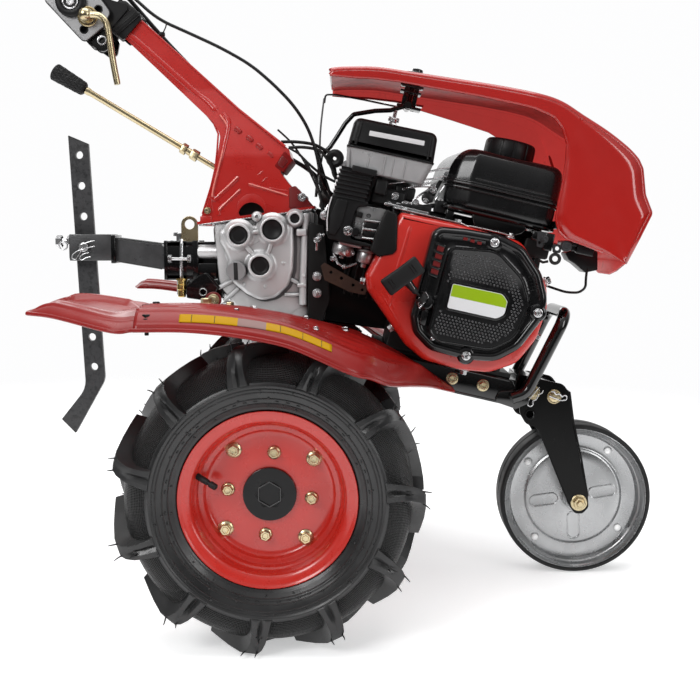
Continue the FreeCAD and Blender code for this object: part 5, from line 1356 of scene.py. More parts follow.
# -------------------------------------------------------- fan shroud (red)
def rings_mesh(k, rings, m=0, M=None, closed_u=True, mats=None):
    """Skin through rings of equal length."""
    c = len(rings[0])
    vs = [p for r_ in rings for p in r_]
    fs, o = [], len(k.v)
    for p in vs:
        p = Vector(p)
        k.v.append(tuple(M @ p) if M is not None else tuple(p))
    for i in range(len(rings) - 1):
        for j in range(c if closed_u else c - 1):
            j2 = (j + 1) % c
            k.f.append((o + i * c + j, o + i * c + j2, o + (i + 1) * c + j2, o + (i + 1) * c + j))
            k.m.append(mats[i] if mats else m)
    return k


def even(poly, n, closed=True):
    """Outline resampled to n evenly spaced points."""
    P = [Vector(p) for p in poly]
    if closed:
        P = P + [P[0]]
    L = [0]
    for i in range(len(P) - 1):
        L.append(L[-1] + (P[i + 1] - P[i]).length)
    out = []
    j = 0
    for i in range(n):
        t = L[-1] * i / (n if closed else n - 1)
        while j < len(L) - 2 and L[j + 1] < t:
            j += 1
        f = (t - L[j]) / max(1e-9, L[j + 1] - L[j])
        out.append(tuple(P[j] + (P[j + 1] - P[j]) * min(1, f)))
    return out


shroud_pts = [(92, 401), (86, 384), (61.7, 298.3), (69, 279), (142, 212.7), (173, 197), (230, 194.5), (272.7, 200.2), (309.8, 222.4),
              (329.6, 265), (334.6, 311.6), (324.6, 347), (274, 399), (169, 403)]
sp_ = rnd(shroud_pts, [6, 20, 14, 14, 30, 30, 30, 40, 40, 40, 40, 40, 30, 20], 8)
k = Kit()
rg = []
for (ins, y) in ((2.5, -58), (0, -58), (0, -66), (0, -120.5), (0.7, -125), (2.6, -128.6), (5.4, -131), (9.4, -132)):
    rg.append([(q[0], y, q[1]) for q in inset(sp_, ins)])
rings_mesh(k, rg)
rg = [[(q[0], y, q[1]) for q in inset(sp_, i_)] for (i_, y) in ((2.5, -58), (2.5, -121), (4.5, -126), (9.4, -129.4))]
rings_mesh(k, rg)
# face with its fan opening
for (y, ins) in ((-132, 9.4), (-129.4, 9.4)):
    bm = bmesh.new()
    edges = []
    for lp in (inset(sp_, ins), [(222 + 70 * math.cos(2 * math.pi * i / 64), 300 + 70 * math.sin(2 * math.pi * i / 64)) for i in range(64)]):
        vs_ = [bm.verts.new((q[0], y, q[1])) for q in lp]
        edges += [bm.edges.new((vs_[i], vs_[(i + 1) % len(vs_)])) for i in range(len(vs_))]
    bmesh.ops.triangle_fill(bm, use_beauty=True, edges=edges)
    bm.verts.index_update()
    k.add([v.co for v in bm.verts], [[v.index for v in f.verts] for f in bm.faces])
    bm.free()
# pressed crease down the face, and the folds towards the bottom corner
bead(k, spline([(109.8, -132, 386), (107.6, -132, 350), (105.4, -132, 318), (106.4, -132, 285), (105.4, -132, 262)], 6), 3.6, 2.5, (0, -1, 0))
bead(k, [(78, -131, 290), (92, -132, 277), (112, -132, 256), (128, -132, 238)], 1.8, 1.2, (0, -1, 0))
bead(k, [(84, -131.6, 300.7), (98, -132, 280), (114, -132, 262)], 1.6, 1.1, (0, -1, 0))
ob = make("fan_shroud_shell", k, [M_SHROUD], "chassis", ET, angle=34)
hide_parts("fan_shroud")

# bolts that hold the shroud along its rim
k = Kit()
for (x, z, a) in ((100, 402.6, 0), (180, 404, 0), (262, 401.6, 0)):
    bolt(k, (x, -84, z), (0, 0, 1), 10, 6, m=0)
for (x, y, z, n_) in ((331.6, -96, 268, (1, 0, -0.35)), (327.4, -96, 350, (0.8, 0, 0.6)), (64, -96, 290, (-1, 0, 0)), (120, -96, 232, (-0.7, 0, -0.7)),
                      (240, -96, 193.8, (0, 0, -1))):
    bolt(k, (x, y, z), n_, 10, 6, m=0)
make("shroud_bolts", k, [M_STEEL], "chassis", ET)

# fan seen through the cover's slots
k = Kit()
lathe(k, [(0, 0), (66, 0), (66, 2), (60, 4), (22, 5), (16, 12), (0, 12)], (222, -100, 300), (0, -1, 0), 48, 0)
for i in range(18):
    a = 2 * math.pi * i / 18
    M = Matrix.Translation((222, -104, 300)) @ Matrix.Rotation(-a, 4, 'Y') @ Matrix.Translation((45, 0, 0)) @ Matrix.Rotation(D(25), 4, 'Y')
    rbox(k, (0, -9, 0), (17, 9, 1.0), 0.6, 0, M, 1)
make("cooling_fan", k, [M_PLASTIC], "chassis", ET)

# ---------------------------------------------------- recoil starter cover
cover_pts = [(137, 258), (140.5, 383), (150, 393), (186, 398), (239, 401), (275, 392), (309, 360), (327, 325), (325, 293), (304, 246),
             (274, 220), (230, 213), (176, 215), (147, 234)]
cp = even(rnd(cover_pts, [20, 12, 16, 30, 40, 40, 40, 40, 40, 40, 40, 40, 30, 25], 8), 180)
panel_pts = [(166, 240), (170.6, 367), (237, 377), (283, 346), (301, 313), (293, 261), (262, 236), (186, 231)]
pp = even(rnd(panel_pts, [14, 10, 34, 40, 40, 34, 30, 18], 8), 180)
# line the two outlines up by angle so that the skin between them runs straight
ang = lambda q: math.atan2(q[1] - 305, q[0] - 230)
s0 = min(range(180), key=lambda i: abs(ang(cp[i]) - 0.0))
cp = cp[s0:] + cp[:s0]
s0 = min(range(180), key=lambda i: abs(ang(pp[i]) - 0.0))
pp = pp[s0:] + pp[:s0]
area2 = lambda P: sum(P[i - 1][0] * P[i][1] - P[i][0] * P[i - 1][1] for i in range(len(P)))
if area2(cp) * area2(pp) < 0:
    pp = [pp[0]] + pp[:0:-1]


def mixp(P, Q, t):
    return [((a[0] * (1 - t) + b[0] * t), (a[1] * (1 - t) + b[1] * t)) for a, b in zip(P, Q)]


k = Kit()
rg = []
for (ins, y) in ((0, -132), (0, -146), (0.3, -150.5), (1.4, -154), (3.4, -156.8), (6.4, -158.2), (9.2, -158.4), (11.2, -157.6), (12.6, -156.0)):
    rg.append([(q[0], y, q[1]) for q in inset(cp, ins)])
inner = inset(cp, 12.6)
for (t, y) in ((0.12, -155.2), (0.5, -154.8), (0.8, -155.0), (0.9, -156.2), (0.965, -160.0), (1.0, -162.0)):
    rg.append([(q[0], y, q[1]) for q in mixp(inner, pp, t)])
for (ins, y) in ((0.9, -163.2), (2.2, -163.6), (3.6, -163.2), (4.6, -162.6)):
    rg.append([(q[0], y, q[1]) for q in inset(pp, ins)])
rings_mesh(k, rg)
last = rg[-1]
o = len(k.v)
k.v += [tuple(p) for p in last]
k.f.append(tuple(range(o, o + len(last))))
k.m.append(0)
PANEL_Y = -162.6
# frame round the label
lab = rnd([(185.4, 281.6), (185.4, 317.6), (259, 319.0), (268.4, 310), (268.4, 291), (259, 282.2)], [3, 3, 12, 8, 8, 12], 6)
prism(k, inset(lab, -3.2), PY, PANEL_Y + 0.4, PANEL_Y - 1.2, 0.6)
# bosses at the three screws
for (x, z) in ((230.9, 387.8), (316.0, 303.7), (229.5, 219.9)):
    lathe(k, [(13, -2), (11.4, 0.6), (9.0, 1.6), (6, 1.6), (0, 1.4)], (x, -156.4, z), (0, -1, 0), 32)
# rungs of the air slots on the left, and the long rim beside them
for i in range(5):
    z = 367.5 - i * 11.2
    M = Matrix.Translation((156.2 - i * 0.25, -157.4, z)) @ Matrix.Rotation(D(9), 4, 'Y')
    rbox(k, (0, 0, 0), (7.4, 1.5, 1.7), 1.0, 0, M, 2)
tube(k, [(146.6, -156.6, 376), (147.4, -157.4, 352), (146.4, -157.4, 330), (149.6, -157.0, 318)], 1.8, 8)
# rope housing below the handle: raised boss that the rope comes out of
lathe(k, [(15, -3), (13.5, 2.5), (11.2, 5.4), (8, 6.4), (4.4, 6.6), (4.0, 5.0), (0, 4.8)], (153.5, -156, 283), (-0.28, -1, 0.1), 32)
rbox(k, (157, -157.4, 262), (5, 2.2, 13), 1.8, 0, None, 3)
bead(k, [(150.5, -156, 262), (149.4, -156, 248), (157, -156, 236)], 1.7, 0.6, (0, -1, 0))
# raised lines round the bottom and right of the panel
bead(k, spline([(196, -155.6, 224), (232, -155.6, 221.8), (264, -155.6, 227), (292, -155.6, 247), (306, -155.6, 276), (313.5, -155.6, 300)], 6),
     1.6, 0.4, (0, -1, 0))
bead(k, spline([(314, -155.6, 322), (302, -155.6, 348), (280, -155.6, 371), (258, -155.6, 384)], 6), 1.5, 0.3, (0, -1, 0))
for i in range(5):
    a, b_ = Vector((309 - i * 1.5, -156.2, 338 + i * 4.5)), Vector((297 - i * 2.0, -156.6, 332 + i * 4.6))
    tube(k, [a, (a + b_) / 2, b_], 1.1, 6)
ob = make("recoil_shell", k, [M_COVER], "chassis", ET, angle=34)
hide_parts("recoil_cover")

# perforations of the raised panel: small punched collars in staggered rows round the label, the collars painted lighter
# than the cover as glints and the discs in their holes painted near-black as shade


def inside(q, poly):
    c, n_ = False, len(poly)
    for i in range(n_):
        a, b = poly[i], poly[i - 1]
        if (a[1] > q[1]) != (b[1] > q[1]) and q[0] < (b[0] - a[0]) * (q[1] - a[1]) / (b[1] - a[1]) + a[0]:
            c = not c
    return c


k = Kit()
hold = Kit()
field = inset(pp, 8.5)
keep = inset(lab, -8.5)
row, z = 0, 226.0
while z < 372:
    x = 160.0 + (2.55 if row % 2 else 0)
    while x < 306:
        if inside((x, z), field) and not inside((x, z), keep):
            lathe(k, [(1.75, -0.15), (1.5, 0.5), (1.1, 0.75), (0.9, 0.3), (0.84, -0.1)], (x, PANEL_Y, z), (0, -1, 0), 8)
            lathe(hold, [(0.84, 0.02), (0, 0.02)], (x, PANEL_Y, z), (0, -1, 0), 8)
        x += 5.1
    z += 4.45
    row += 1
make("recoil_perforations", k, [M_GLINT], "chassis", ET, angle=50)
# painted shade: near-black discs in the perforation holes
make("recoil_perforation_holes", hold, [M_DARK_SHADE], "chassis", ET)
k = Kit()
prism(k, inset(lab, 0.2), PY, PANEL_Y - 1.0, PANEL_Y - 1.9, 0.3, 1)
up_ = [q for q in inset(lab, 0.9)]
split = lambda x: 299.2 + (x - 176.6) * 0.012
top_half = [(q[0], max(q[1], split(q[0]))) for q in up_]
low_half = [(q[0], min(q[1], split(q[0]) - 0.02)) for q in up_]
k.add([(q[0], PANEL_Y - 1.97, q[1]) for q in top_half], [tuple(range(len(top_half)))], 0)
k.add([(q[0], PANEL_Y - 1.96, q[1]) for q in low_half], [tuple(range(len(low_half)))], 1)
make("cover_label", k, [M_GREEN, M_WHITE], "chassis", ET, weld=0.0005)
k = Kit()
for (x, z) in ((230.9, 387.8), (316.0, 303.7), (229.5, 219.9)):
    lathe(k, [(6.6, 0), (6.6, 1.0), (5.6, 1.4), (4.9, 1.4)], (x, -158, z), (0, -1, 0), 30, 0)
    hexa(k, (x, -159.2, z), (0, -1, 0), 9.6, 3.6, 0, turn=random.random())
screw(k, (176.5, -156.6, 233.5), (0, -1, 0), 2.4, 1.8, 0)
make("cover_screws", k, [M_STEEL], "chassis", ET)
k = Kit()
# dark red patches between the slot rungs: the shroud's red seen through the slots, painted dark as shade
for i in range(4):
    z = 362 - i * 11.2
    prism(k, [(149.6, z - 3.4), (162.2, z - 4.4), (162.6, z + 3.2), (150.0, z + 4.2)], PY, -155.3, -156.0, 0.2)
for i, x in enumerate((189, 199.5, 210)):
    rbox(k, (x, -156.6, 383.6 - i * 0.8), (3.2, 0.6, 2.2), 0.5, 0, None, 1)
make("cover_slot_backs", k, [M_REDDARK], "chassis", ET)

# T handle of the starter rope, with its guide eye
k = Kit()
a_, b_ = Vector((92.6, -172, 289)), Vector((132.6, -172, 335))
ax_ = (b_ - a_).normalized()
B = basis((a_ + b_) / 2, ax_, up=(0, -1, 0))
hl = (b_ - a_).length / 2
rg = []
for (h, w, d_) in ((-hl, 10.8, 6.4), (-hl + 1.0, 12.6, 7.8), (-hl + 3, 13.4, 8.6), (-hl * 0.4, 13.0, 8.9), (0, 12.8, 9.0), (hl * 0.4, 13.0, 8.9),
                   (hl - 3, 13.4, 8.6), (hl - 1.0, 12.6, 7.8), (hl, 10.8, 6.4)):
    lp = rnd([(-d_, -w), (d_, -w), (d_, w), (-d_, w)], 3.2, 4)
    rg.append([(q[0], q[1], h) for q in lp])
rings_mesh(k, rg, 0, B)
for e in (0, -1):
    o = len(k.v)
    k.v += [tuple(B @ Vector(p)) for p in rg[e]]
    k.f.append(tuple(range(o, o + len(rg[e]))))
    k.m.append(0)
for h in (-20, -16, 16, 20):
    tube(k, [B @ Vector((9.2, -7, h)), B @ Vector((9.3, 0, h)), B @ Vector((9.2, 7, h))], 0.7, 6)
lathe(k, [(0, 0), (6.4, 0), (6.8, 4), (5.2, 16), (4.6, 26), (0, 26)], (116.5, -171, 308.4), (0.86, 0.22, -0.62), 28)
lathe(k, [(6.6, 0), (8.6, 1), (9.6, 3.5), (9.6, 8), (8.6, 9.4), (4.2, 9.4), (3.6, 4), (3.6, 0)], (143, -163.6, 290), (0.82, 0.35, -0.5), 32)
tube(k, [(120, -170.6, 305), (134, -167.6, 295), (146, -164, 288)], 2.0, 10)
ob = make("starter_handle", k, [M_RUBBER], "chassis", ET, angle=34)
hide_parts("pull_handle")
k = Kit()
tube(k, [(124, -175.6, 307), (133.5, -172.6, 297.6)], 0.7, 6)
tube(k, [(147, -166.8, 272), (152, -167, 283), (155.5, -166.4, 291), (150, -166, 297)], 1.0, 6)
tube(k, [(147, -166.8, 272), (144, -166.8, 280), (143, -166.6, 288)], 0.9, 6)
make("starter_guide_wire", k, [M_STEEL], "chassis", ET)

# -------------------------------------------------------------- air cleaner
k = Kit()
capo = rnd([(-7, 479.4), (-5, 524), (121, 527), (124, 481.6)], [2.5, 11, 11, 2.5], 7)
rg = []
capo = even(capo, 120)
for s in (-1,):
    ys = [(-92 + 35 * 0, 0)]
prof = [(-35 - 57 + 0, 9.0), (-35 - 56.2, 5.4), (-35 - 54.2, 2.6), (-35 - 50.6, 0.7), (-35 - 46, 0), (-35, 0), (-35 + 46, 0), (-35 + 50.6, 0.7),
        (-35 + 54.2, 2.6), (-35 + 56.2, 5.4), (-35 + 57, 9.0)]
for (y, ins) in prof:
    rg.append([(q[0], y, q[1]) for q in inset(capo, ins)])
rings_mesh(k, rg)
for e in (0, -1):
    o = len(k.v)
    k.v += [tuple(p) for p in rg[e]]
    k.f.append(tuple(range(o, o + len(rg[e]))))
    k.m.append(0)
# vertical ribs at the cap's corners, and a lip round its foot
tube(k, [(4.4, -91.6, 484), (5.6, -92.0, 500), (6.4, -91.6, 517)], 2.1, 10)
tube(k, [(113.4, -91.6, 486), (112.8, -92.0, 500), (112.2, -91.6, 518)], 1.6, 10)
lip = rnd([(-8.0, -93), (125.2, -93), (125.2, 23), (-8.0, 23)], 12, 6)
Mlip = Matrix.Translation((0, 0, 480.4)) @ Matrix.Rotation(D(-0.95), 4, 'Y')
prism(k, lip, PZ, -1.4, 1.8, 0.9, M=Mlip)
ob = make("air_cap_shell", k, [M_PLASTIC], "chassis", ET, angle=40)
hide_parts("air_cleaner_cap")
k = Kit()
lb = rnd([(20.5, 508.2), (103.5, 511.6), (103.8, 504.6), (20.9, 500.8)], 1.0, 3)
prism(k, lb, PY, -91.8, -92.35, 0.15)
make("air_cap_stripe", k, [M_SILVER_BAND_AND_HIGHLIGHT], "chassis", ET)
k = Kit()
# wing nut on its stud
tube(k, [(52.5, -20, 524), (52.5, -20, 560)], 2.7, 14)
for i in range(14):
    lathe(k, [(2.6, 0), (3.2, 0.5), (2.6, 1.0)], (52.5, -20, 543 + i * 1.2), (0, 0, 1), 14)
lathe(k, [(9.6, 0), (9.8, 1.2), (7.4, 2.0), (0, 2.0)], (52.5, -20, 527.2), (0, 0, 1), 30)
hexa(k, (52.5, -20, 529), (0, 0, 1), 11, 6.4, 0, turn=0.3)
hexa(k, (52.5, -20, 536), (0, 0, 1), 9.4, 5.0, 0, turn=0.9)
for s_ in (-1, 1):
    rbox(k, (52.5 + s_ * 6.0, -20, 540), (2.6, 1.0, 3.4), 0.8, 0)
make("air_cap_wing_nut", k, [M_STEEL], "chassis", ET, angle=30)

# milky bowl: wide at its rim, ribbed inside
k = Kit()
rim_ = rnd([(-7, -90), (124, -90), (124, 20), (-7, 20)], 13, 7)
foot_ = rnd([(-0.5, -85), (116.5, -85), (116.5, 15), (-0.5, 15)], 15, 7)
top_z = lambda x: 478.9 + (x + 7) * 0.0153
rg = []
for (t, dz) in ((0, 0), (0.02, -2.2), (0.34, -11), (0.7, -22), (0.94, -28.5), (1.0, -30.6)):
    q_ = mixp(rim_, foot_, t)
    rg.append([(p[0], p[1], top_z(p[0]) + dz) for p in q_])
q_ = inset(foot_, 3.5)
rg.append([(p[0], p[1], top_z(p[0]) - 32.2) for p in q_])
rings_mesh(k, rg)
for e in (0, -1):
    o = len(k.v)
    k.v += [tuple(p) for p in rg[e]]
    k.f.append(tuple(range(o, o + len(rg[e]))))
    k.m.append(0)
for x in (29, 53, 66, 84):
    tube(k, [(x - 0.5, -89.6, 477), (x - 0.2, -87.6, 462), (x + 0.2, -85.6, 450)], 0.9 if x != 53 else 1.5, 8)
for x in (2.4,):
    tube(k, [(x - 6, -86.8, 477), (x - 4.2, -85, 462), (x - 1.4, -82.6, 450)], 2.6, 10)
ob = make("air_bowl_shell", k, [M_SMOKE], "chassis", ET, angle=40)
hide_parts("air_cleaner_bowl")

# ribbed housing with its front panel
k = Kit()
hs = rnd([(-10, -88), (43, -88), (43, -20), (-10, -20)], 5, 4)
n_r = 7
rg = []
for i in range(n_r * 4 + 1):
    t = i / (n_r * 4)
    z = 449.5 - t * 46
    w = [0.0, -2.0, -2.2, -0.2][i % 4] if 0 < i < n_r * 4 else 0
    x_off = -t * 3.0
    rg.append([(p[0] + x_off, p[1], z + (p[0] - 16) * 0.02) for p in inset(hs, -w)])
rings_mesh(k, rg)
o = len(k.v)
k.v += [tuple(p) for p in rg[0]]
k.f.append(tuple(range(o, o + len(rg[0]))))
k.m.append(0)
low = [(-13, 405), (44, 406), (42, 399), (30, 396), (26.5, 388), (26, 352), (31, 346.5), (66, 345), (65, 339.6), (-5, 339), (-16, 372)]
prism(k, rnd(low, [4, 4, 3, 4, 6, 5, 4, 2, 2, 6, 8], 5), PY, -20, -86, 2.0, n=3)
tube(k, [(-12.2, -86.6, 400), (-14.4, -87.2, 380), (-11, -87.2, 362), (-6.4, -86.6, 345)], 2.2, 10)
prism(k, rnd([(-4, 400), (12, 401), (11, 366), (4, 346), (-5, 347), (-9, 372)], 3), PY, -87, -89.2, 0.9)
rbox(k, (26, -89.2, 449.3), (19, 2.4, 4.6), 1.4)
ob = make("air_housing", k, [M_PLASTIC], "chassis", ET, angle=40)
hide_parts("air_cleaner_base")
# painted highlights: silver pips on the housing's ribs and a silver line along its left edge
k = Kit()
for i in range(6):
    z = 446 - i * 6.7
    lathe(k, [(1.8, 0), (1.5, 1.2), (0, 1.6)], (-9.4 - i * 0.55, -87.4, z), (-0.5, -1, 0), 12)
tube(k, [(-12.6, -88.8, 401), (-14.0, -89.2, 385), (-12.0, -89.2, 366), (-8, -88.8, 350)], 0.9, 8)
make("air_housing_painted_highlights", k, [M_SILVER_BAND_AND_HIGHLIGHT], "chassis", ET)

k = Kit()
# black side cover; it also covers the shroud's lower corner that lies in shade, so part of it is painted shadow
prism(k, rnd([(70, 400), (86.5, 396.4), (89.9, 385.4), (97.8, 345.6), (94.1, 338.8), (74, 330), (60, 336), (64, 372)], [3, 3, 4, 5, 6, 8, 8, 10], 5), PY, -84, -135, 2.2, n=3)
make("carburettor_side_cover", k, [M_ENGINE], "chassis", ET, angle=36)

# --------------------------------------------------------------- carburettor
k = Kit()
# choke plate with rounded corners, pockets and levers in front of the bodies
mq_ = []
holed(k, rnd([(27, 398.5), (72, 401.5), (79, 380), (79, 353), (31, 348)], [5, 6, 8, 6, 6], 5), [(47.5, 386, 3.4), (47, 358, 2.6), (71, 362, 3)],
      PY, -77.6, -80, 0.5, 0)
rbox(k, (42, -52, 371), (21, 25, 24), 5, 0, None, 4)
lathe(k, [(17.4, 0), (17.4, 5), (16.2, 6.6), (16.2, 9), (18, 10.4), (18, 13.6), (16, 15), (0, 15)], (57, -54, 346), (0, 0, -1), 40, 0)
lathe(k, [(13.0, 0), (13.8, 2), (13.8, 15), (12.8, 17.6), (9, 18.6), (0, 18.8)], (57, -56, 333), (0, 0, -1), 40, 0)
rbox(k, (30, -58, 338.4), (18, 22, 3.6), 3, 0)
lathe(k, [(15.4, 0), (16.4, 1.6), (16.4, 14), (15.0, 17.6), (9, 19), (0, 19.2)], (21, -60, 337), (0, 0, -1), 40, 0)
lathe(k, [(5.6, 0), (5.6, 5), (4.2, 7)], (57, -56, 315), (0, 0, -1), 20, 0)
lathe(k, [(4.6, 0), (4.6, 4), (0, 4)], (21, -60, 318.4), (0, 0, -1), 16, 0)
for (x, z, w) in ((55, 379, 12), (56, 366, 12), (56, 352.4, 11)):
    tube(k, [(x - w, -82, z - 0.8), (x + w, -82.4, z + 1.4)], 1.9, 10)
tube(k, [(42.5, -81.6, 374), (43.6, -81.8, 364), (42.8, -81.6, 353)], 1.6, 8)
rbox(k, (72, -81, 372), (2.2, 2, 10), 0.9, 0)
tube(k, [(64, -62, 335), (76, -60, 338), (84, -58, 332), (90, -54, 322)], 2.6, 12)
hexa(k, (76, -60, 338), (0.8, 0, -0.4), 8.5, 6, 0)
ob = make("carburettor_body", k, [M_CARB], "chassis", ET, angle=36)
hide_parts("carburettor")
k = Kit()
for (x, z, r) in ((22.4, 357.4, 4.8), (-17.4, 372, 4.6), (36, 326, 3.2), (9, 311, 3.2), (28.7, 303.1, 3.0)):
    screw(k, (x, -88.2 if x > 20 and z > 340 else -82.6 if z > 340 else -66, z), (0, -1, 0), r, 3.6, 0)
lathe(k, [(7.2, -4), (7.2, 2.4), (4, 2.8), (0, 2.8)], (22.4, -86, 357.4), (0, -1, 0), 24, 0)
lathe(k, [(7.0, -1), (7.0, 1.2), (3.6, 1.6), (0, 1.6)], (-17.4, -81.4, 372), (0, -1, 0), 24, 0)
tube(k, [(-17.4, -80.6, 378), (-15, -80.6, 388), (-11.4, -80, 397)], 2.0, 8)
for (x, z) in ((-16, 340), (-20, 333)):
    hexa(k, (x, -72, z), (-0.5, -0.8, 0), 8, 5, 0)
tube(k, [(-12, -72, 345), (-20, -70, 330), (-18, -66, 318)], 2.2, 8)
tube(k, [(8, -64, 321), (18, -66, 306), (30, -66, 302), (46, -64, 312)], 2.2, 8)
make("carburettor_screws", k, [M_STEEL], "chassis", ET)
k = Kit()
# dark parts behind and above the plate: throttle lever, choke knob, springs
lathe(k, [(0, 0), (5.8, 0), (6.4, 1.2), (6.4, 7), (5.2, 8.4), (0, 8.6)], (33.4, -80, 358), (0, -1, 0), 24, 0)
rbox(k, (33.6, -81.4, 384.6), (4.6, 1.6, 4.0), 1.0, 0)
rbox(k, (58, -80.8, 359), (11, 0.8, 3.6), 0.5, 0)
rbox(k, (58, -80.8, 372.4), (12, 0.8, 4.2), 0.5, 0)
rbox(k, (86, -66, 385), (6, 12, 26), 2.6, 0)
rbox(k, (98, -62, 352), (9, 9, 14), 3.2, 0)
rbox(k, (70, -55, 420), (26, 14, 13), 4, 0)
rbox(k, (56, -62, 432), (10, 16, 12), 4, 0)
rbox(k, (93, -50, 432), (16, 12, 11), 4, 0)
lathe(k, [(6, 0), (6.5, 2), (6.5, 12), (4, 15)], (102, -58, 330), (0.2, -1, -0.1), 24, 0)
make("carburettor_dark_parts", k, [M_PLASTIC], "chassis", ET, angle=36)

# ------------------------------------------- governor linkage up to the tank
k = Kit()
rbox(k, (100, -70, 409.4), (34, 13, 2.0), 0.9, 0)
holed(k, rnd([(64, 411), (70, 424), (88, 421), (112, 416), (112, 408), (66, 407)], [3, 5, 5, 3, 2, 2]), [(80, 415, 2.6)], PY, -60, -62, 0.4, 0)
for (x0, z0, x1, z1, y) in ((66, 418, 84, 426, -66), (84, 414, 96, 411, -72), (96, 420, 112, 414, -70), (108, 424, 128, 446, -62),
                           (126, 436, 148, 470, -58), (140, 430, 152, 462, -62), (118, 470, 156, 485, -60)):
    tube(k, [(x0, y, z0), ((x0 + x1) / 2, y - 1, (z0 + z1) / 2 + 1.5), (x1, y, z1)], 1.5, 8)
for (x, z, r) in ((80, 424, 4.6), (96, 416, 3.6), (112, 421, 4.6), (126, 428, 3.2), (134, 446, 4.2), (74, 410, 3.2), (105, 409.5, 3.2), (148, 432, 3.4)):
    screw(k, (x, -71, z), (0, -1, 0), r, 3.0, 0)
# spring
hp = []
for i in range(140):
    t = i / 139
    c_ = Vector((88, -64, 436)).lerp(Vector((126, -60, 456)), t)
    a = t * 2 * math.pi * 14
    hp.append(c_ + Vector((0.4 * math.cos(a), 2.6 * math.cos(a), 2.6 * math.sin(a))))
tube(k, hp, 0.55, 6, 0)
tube(k, spline([(66, -58, 440), (98, -62, 452), (128, -60, 462), (158, -58, 474), (176, -50, 482)], 5), 1.4, 8)
tube(k, spline([(70, -56, 430), (104, -60, 444), (140, -60, 452), (170, -58, 456)], 5), 1.1, 8)
prism(k, rnd([(126, 424), (138, 428), (142, 452), (132, 458), (122, 440)], 4), PY, -54, -56.4, 0.5, 0)
prism(k, rnd([(140, 462), (160, 470), (164, 482), (146, 478)], 3), PY, -56, -58, 0.5, 0)
make("governor_linkage", k, [M_STEEL], "chassis", ET, angle=36)
k = Kit()
rbox(k, (124, -62, 414), (14, 10, 7), 3, 0)
rbox(k, (150, -66, 424), (9, 9, 9), 2.5, 0)
tube(k, [(70, -66, 414), (92, -72, 412), (120, -70, 416), (142, -64, 424)], 3.6, 12, 0)
tube(k, [(120, -66, 432), (136, -66, 440), (142, -60, 462)], 3.0, 12, 0)
lathe(k, [(8.5, 0), (8.5, 7), (6, 8.5), (0, 8.5)], (128, -62, 432), (0, -1, 0), 26, 0)
make("governor_dark_parts", k, [M_PLASTIC], "chassis", ET, angle=36)
# bright edge of the plate under the tank, over the shroud's top
k = Kit()
prism(k, rnd([(80, -104), (188, -104), (188, -40), (80, -40)], 5), PZ, 404.6, 406.6, 0.6, 0)
bead(k, spline([(182, -106, 406), (192, -108, 403.6), (200, -110, 404.4), (240, -112, 404.8), (262, -112, 403.4)], 5), 1.2, 0, (0, -1, 0), 0)
make("shroud_top_plate", k, [M_GALV], "chassis", ET)

# perforated brown strip below the carburettor
k = Kit()
strip = [(60, 492), (66, 497), (134, 459), (128, 447), (104, 452), (66, 470)]
holed(k, rnd(strip, 2), [(76, 482, 2.3), (92, 473, 2.3), (110, 462.5, 2.3), (124, 455, 2.0)], PY, -56, -59, 0.5, 0)
make("exhaust_strip", k, [M_RUST], "chassis", MT)

# ------------------------------------------------------------- engine block
k = Kit()
prism(k, rnd([(118, 193), (118, 330), (300, 330), (300, 193)], 8, 4), PY, -56, 92, 3.0)
for i in range(9):
    x = 36 + i * 11.5
    prism(k, rnd([(x, 262), (x, 378), (x + 3.4, 378), (x + 3.4, 262)], 1), PY, -52, 62, 1.2, n=2)
prism(k, rnd([(40, 270), (40, 370), (150, 370), (150, 270)], 8), PY, -44, 54, 2)
prism(k, rnd([(30, 292), (30, 352), (38, 358), (38, 286)], 3), PY, -38, 48, 2)
rbox(k, (209, 18, 195), (109, 74, 4), 1.6)
prism(k, rnd([(120, 326), (120, 414), (176, 420), (300, 420), (322, 404), (326, 330)], [4, 14, 8, 8, 12, 6], 4), PY, -40, 74, 4.0)
for i in range(7):
    prism(k, rnd([(186, 340 + i * 11), (298, 340 + i * 11), (298, 343.2 + i * 11), (186, 343.2 + i * 11)], 1), PY, -47, 80, 1.0, n=2)
rbox(k, (150, -52, 405), (20, 12, 10), 4)
rbox(k, (306, -60, 396), (20, 16, 14), 4)
lathe(k, [(17, 0), (17, 24), (15.5, 26), (0, 26)], (222, 92, 300), (0, 1, 0), 32)
lathe(k, [(44, 0), (44, 5), (40, 8), (26, 9), (20, 12)], (222, 90, 300), (0, 1, 0), 44)
for a in range(0, 360, 60):
    bolt(k, (222 + 50 * math.cos(D(a)), 92, 268 + 50 * math.sin(D(a))), (0, 1, 0), 10, 6)
ob = make("engine_castings", k, [M_ENGINE], "chassis", ET, angle=34)
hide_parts("engine_block")

# cables and breather hose gathered behind the air cleaner
k = Kit()
for r_, y, pts in ((2.5, -36, ((-0.7, 681), (23.6, 681), (49.2, 677.2), (67, 668.4), (82.4, 660.8), (92.6, 653.3))),
                   (2.4, -46, ((11.4, 671.3), (34.2, 672.1), (57.1, 667.6), (69.8, 655), (78.6, 637.4), (83.7, 622.3))),
                   (1.6, -52, ((11.7, 670.8), (29.4, 659.6), (42, 642.1), (52, 624.5), (59.6, 601.9), (65.1, 576.7))),
                   (2.0, -40, ((21.2, 668.1), (41.5, 647.9), (59.4, 632.8), (72.1, 625.2), (82.4, 620.1))),
                   (2.2, -24, ((50, 678.3), (56.4, 659.2), (56.3, 633.7), (53.7, 613.3), (52.3, 597.9))),
                   (2.0, -30, ((56.6, 661.3), (64.2, 633.4), (71.9, 610.4), (75.7, 593.8))),
                   (1.8, -44, ((59.4, 617.4), (67, 602.2), (77.2, 592.1)))):
    tube(k, spline([(x, y + 2 * math.sin(i), z) for i, (x, z) in enumerate(pts)], 6), r_, 10)
make("engine_leads", k, [M_RUBBER], "chassis", MT)
k = Kit()
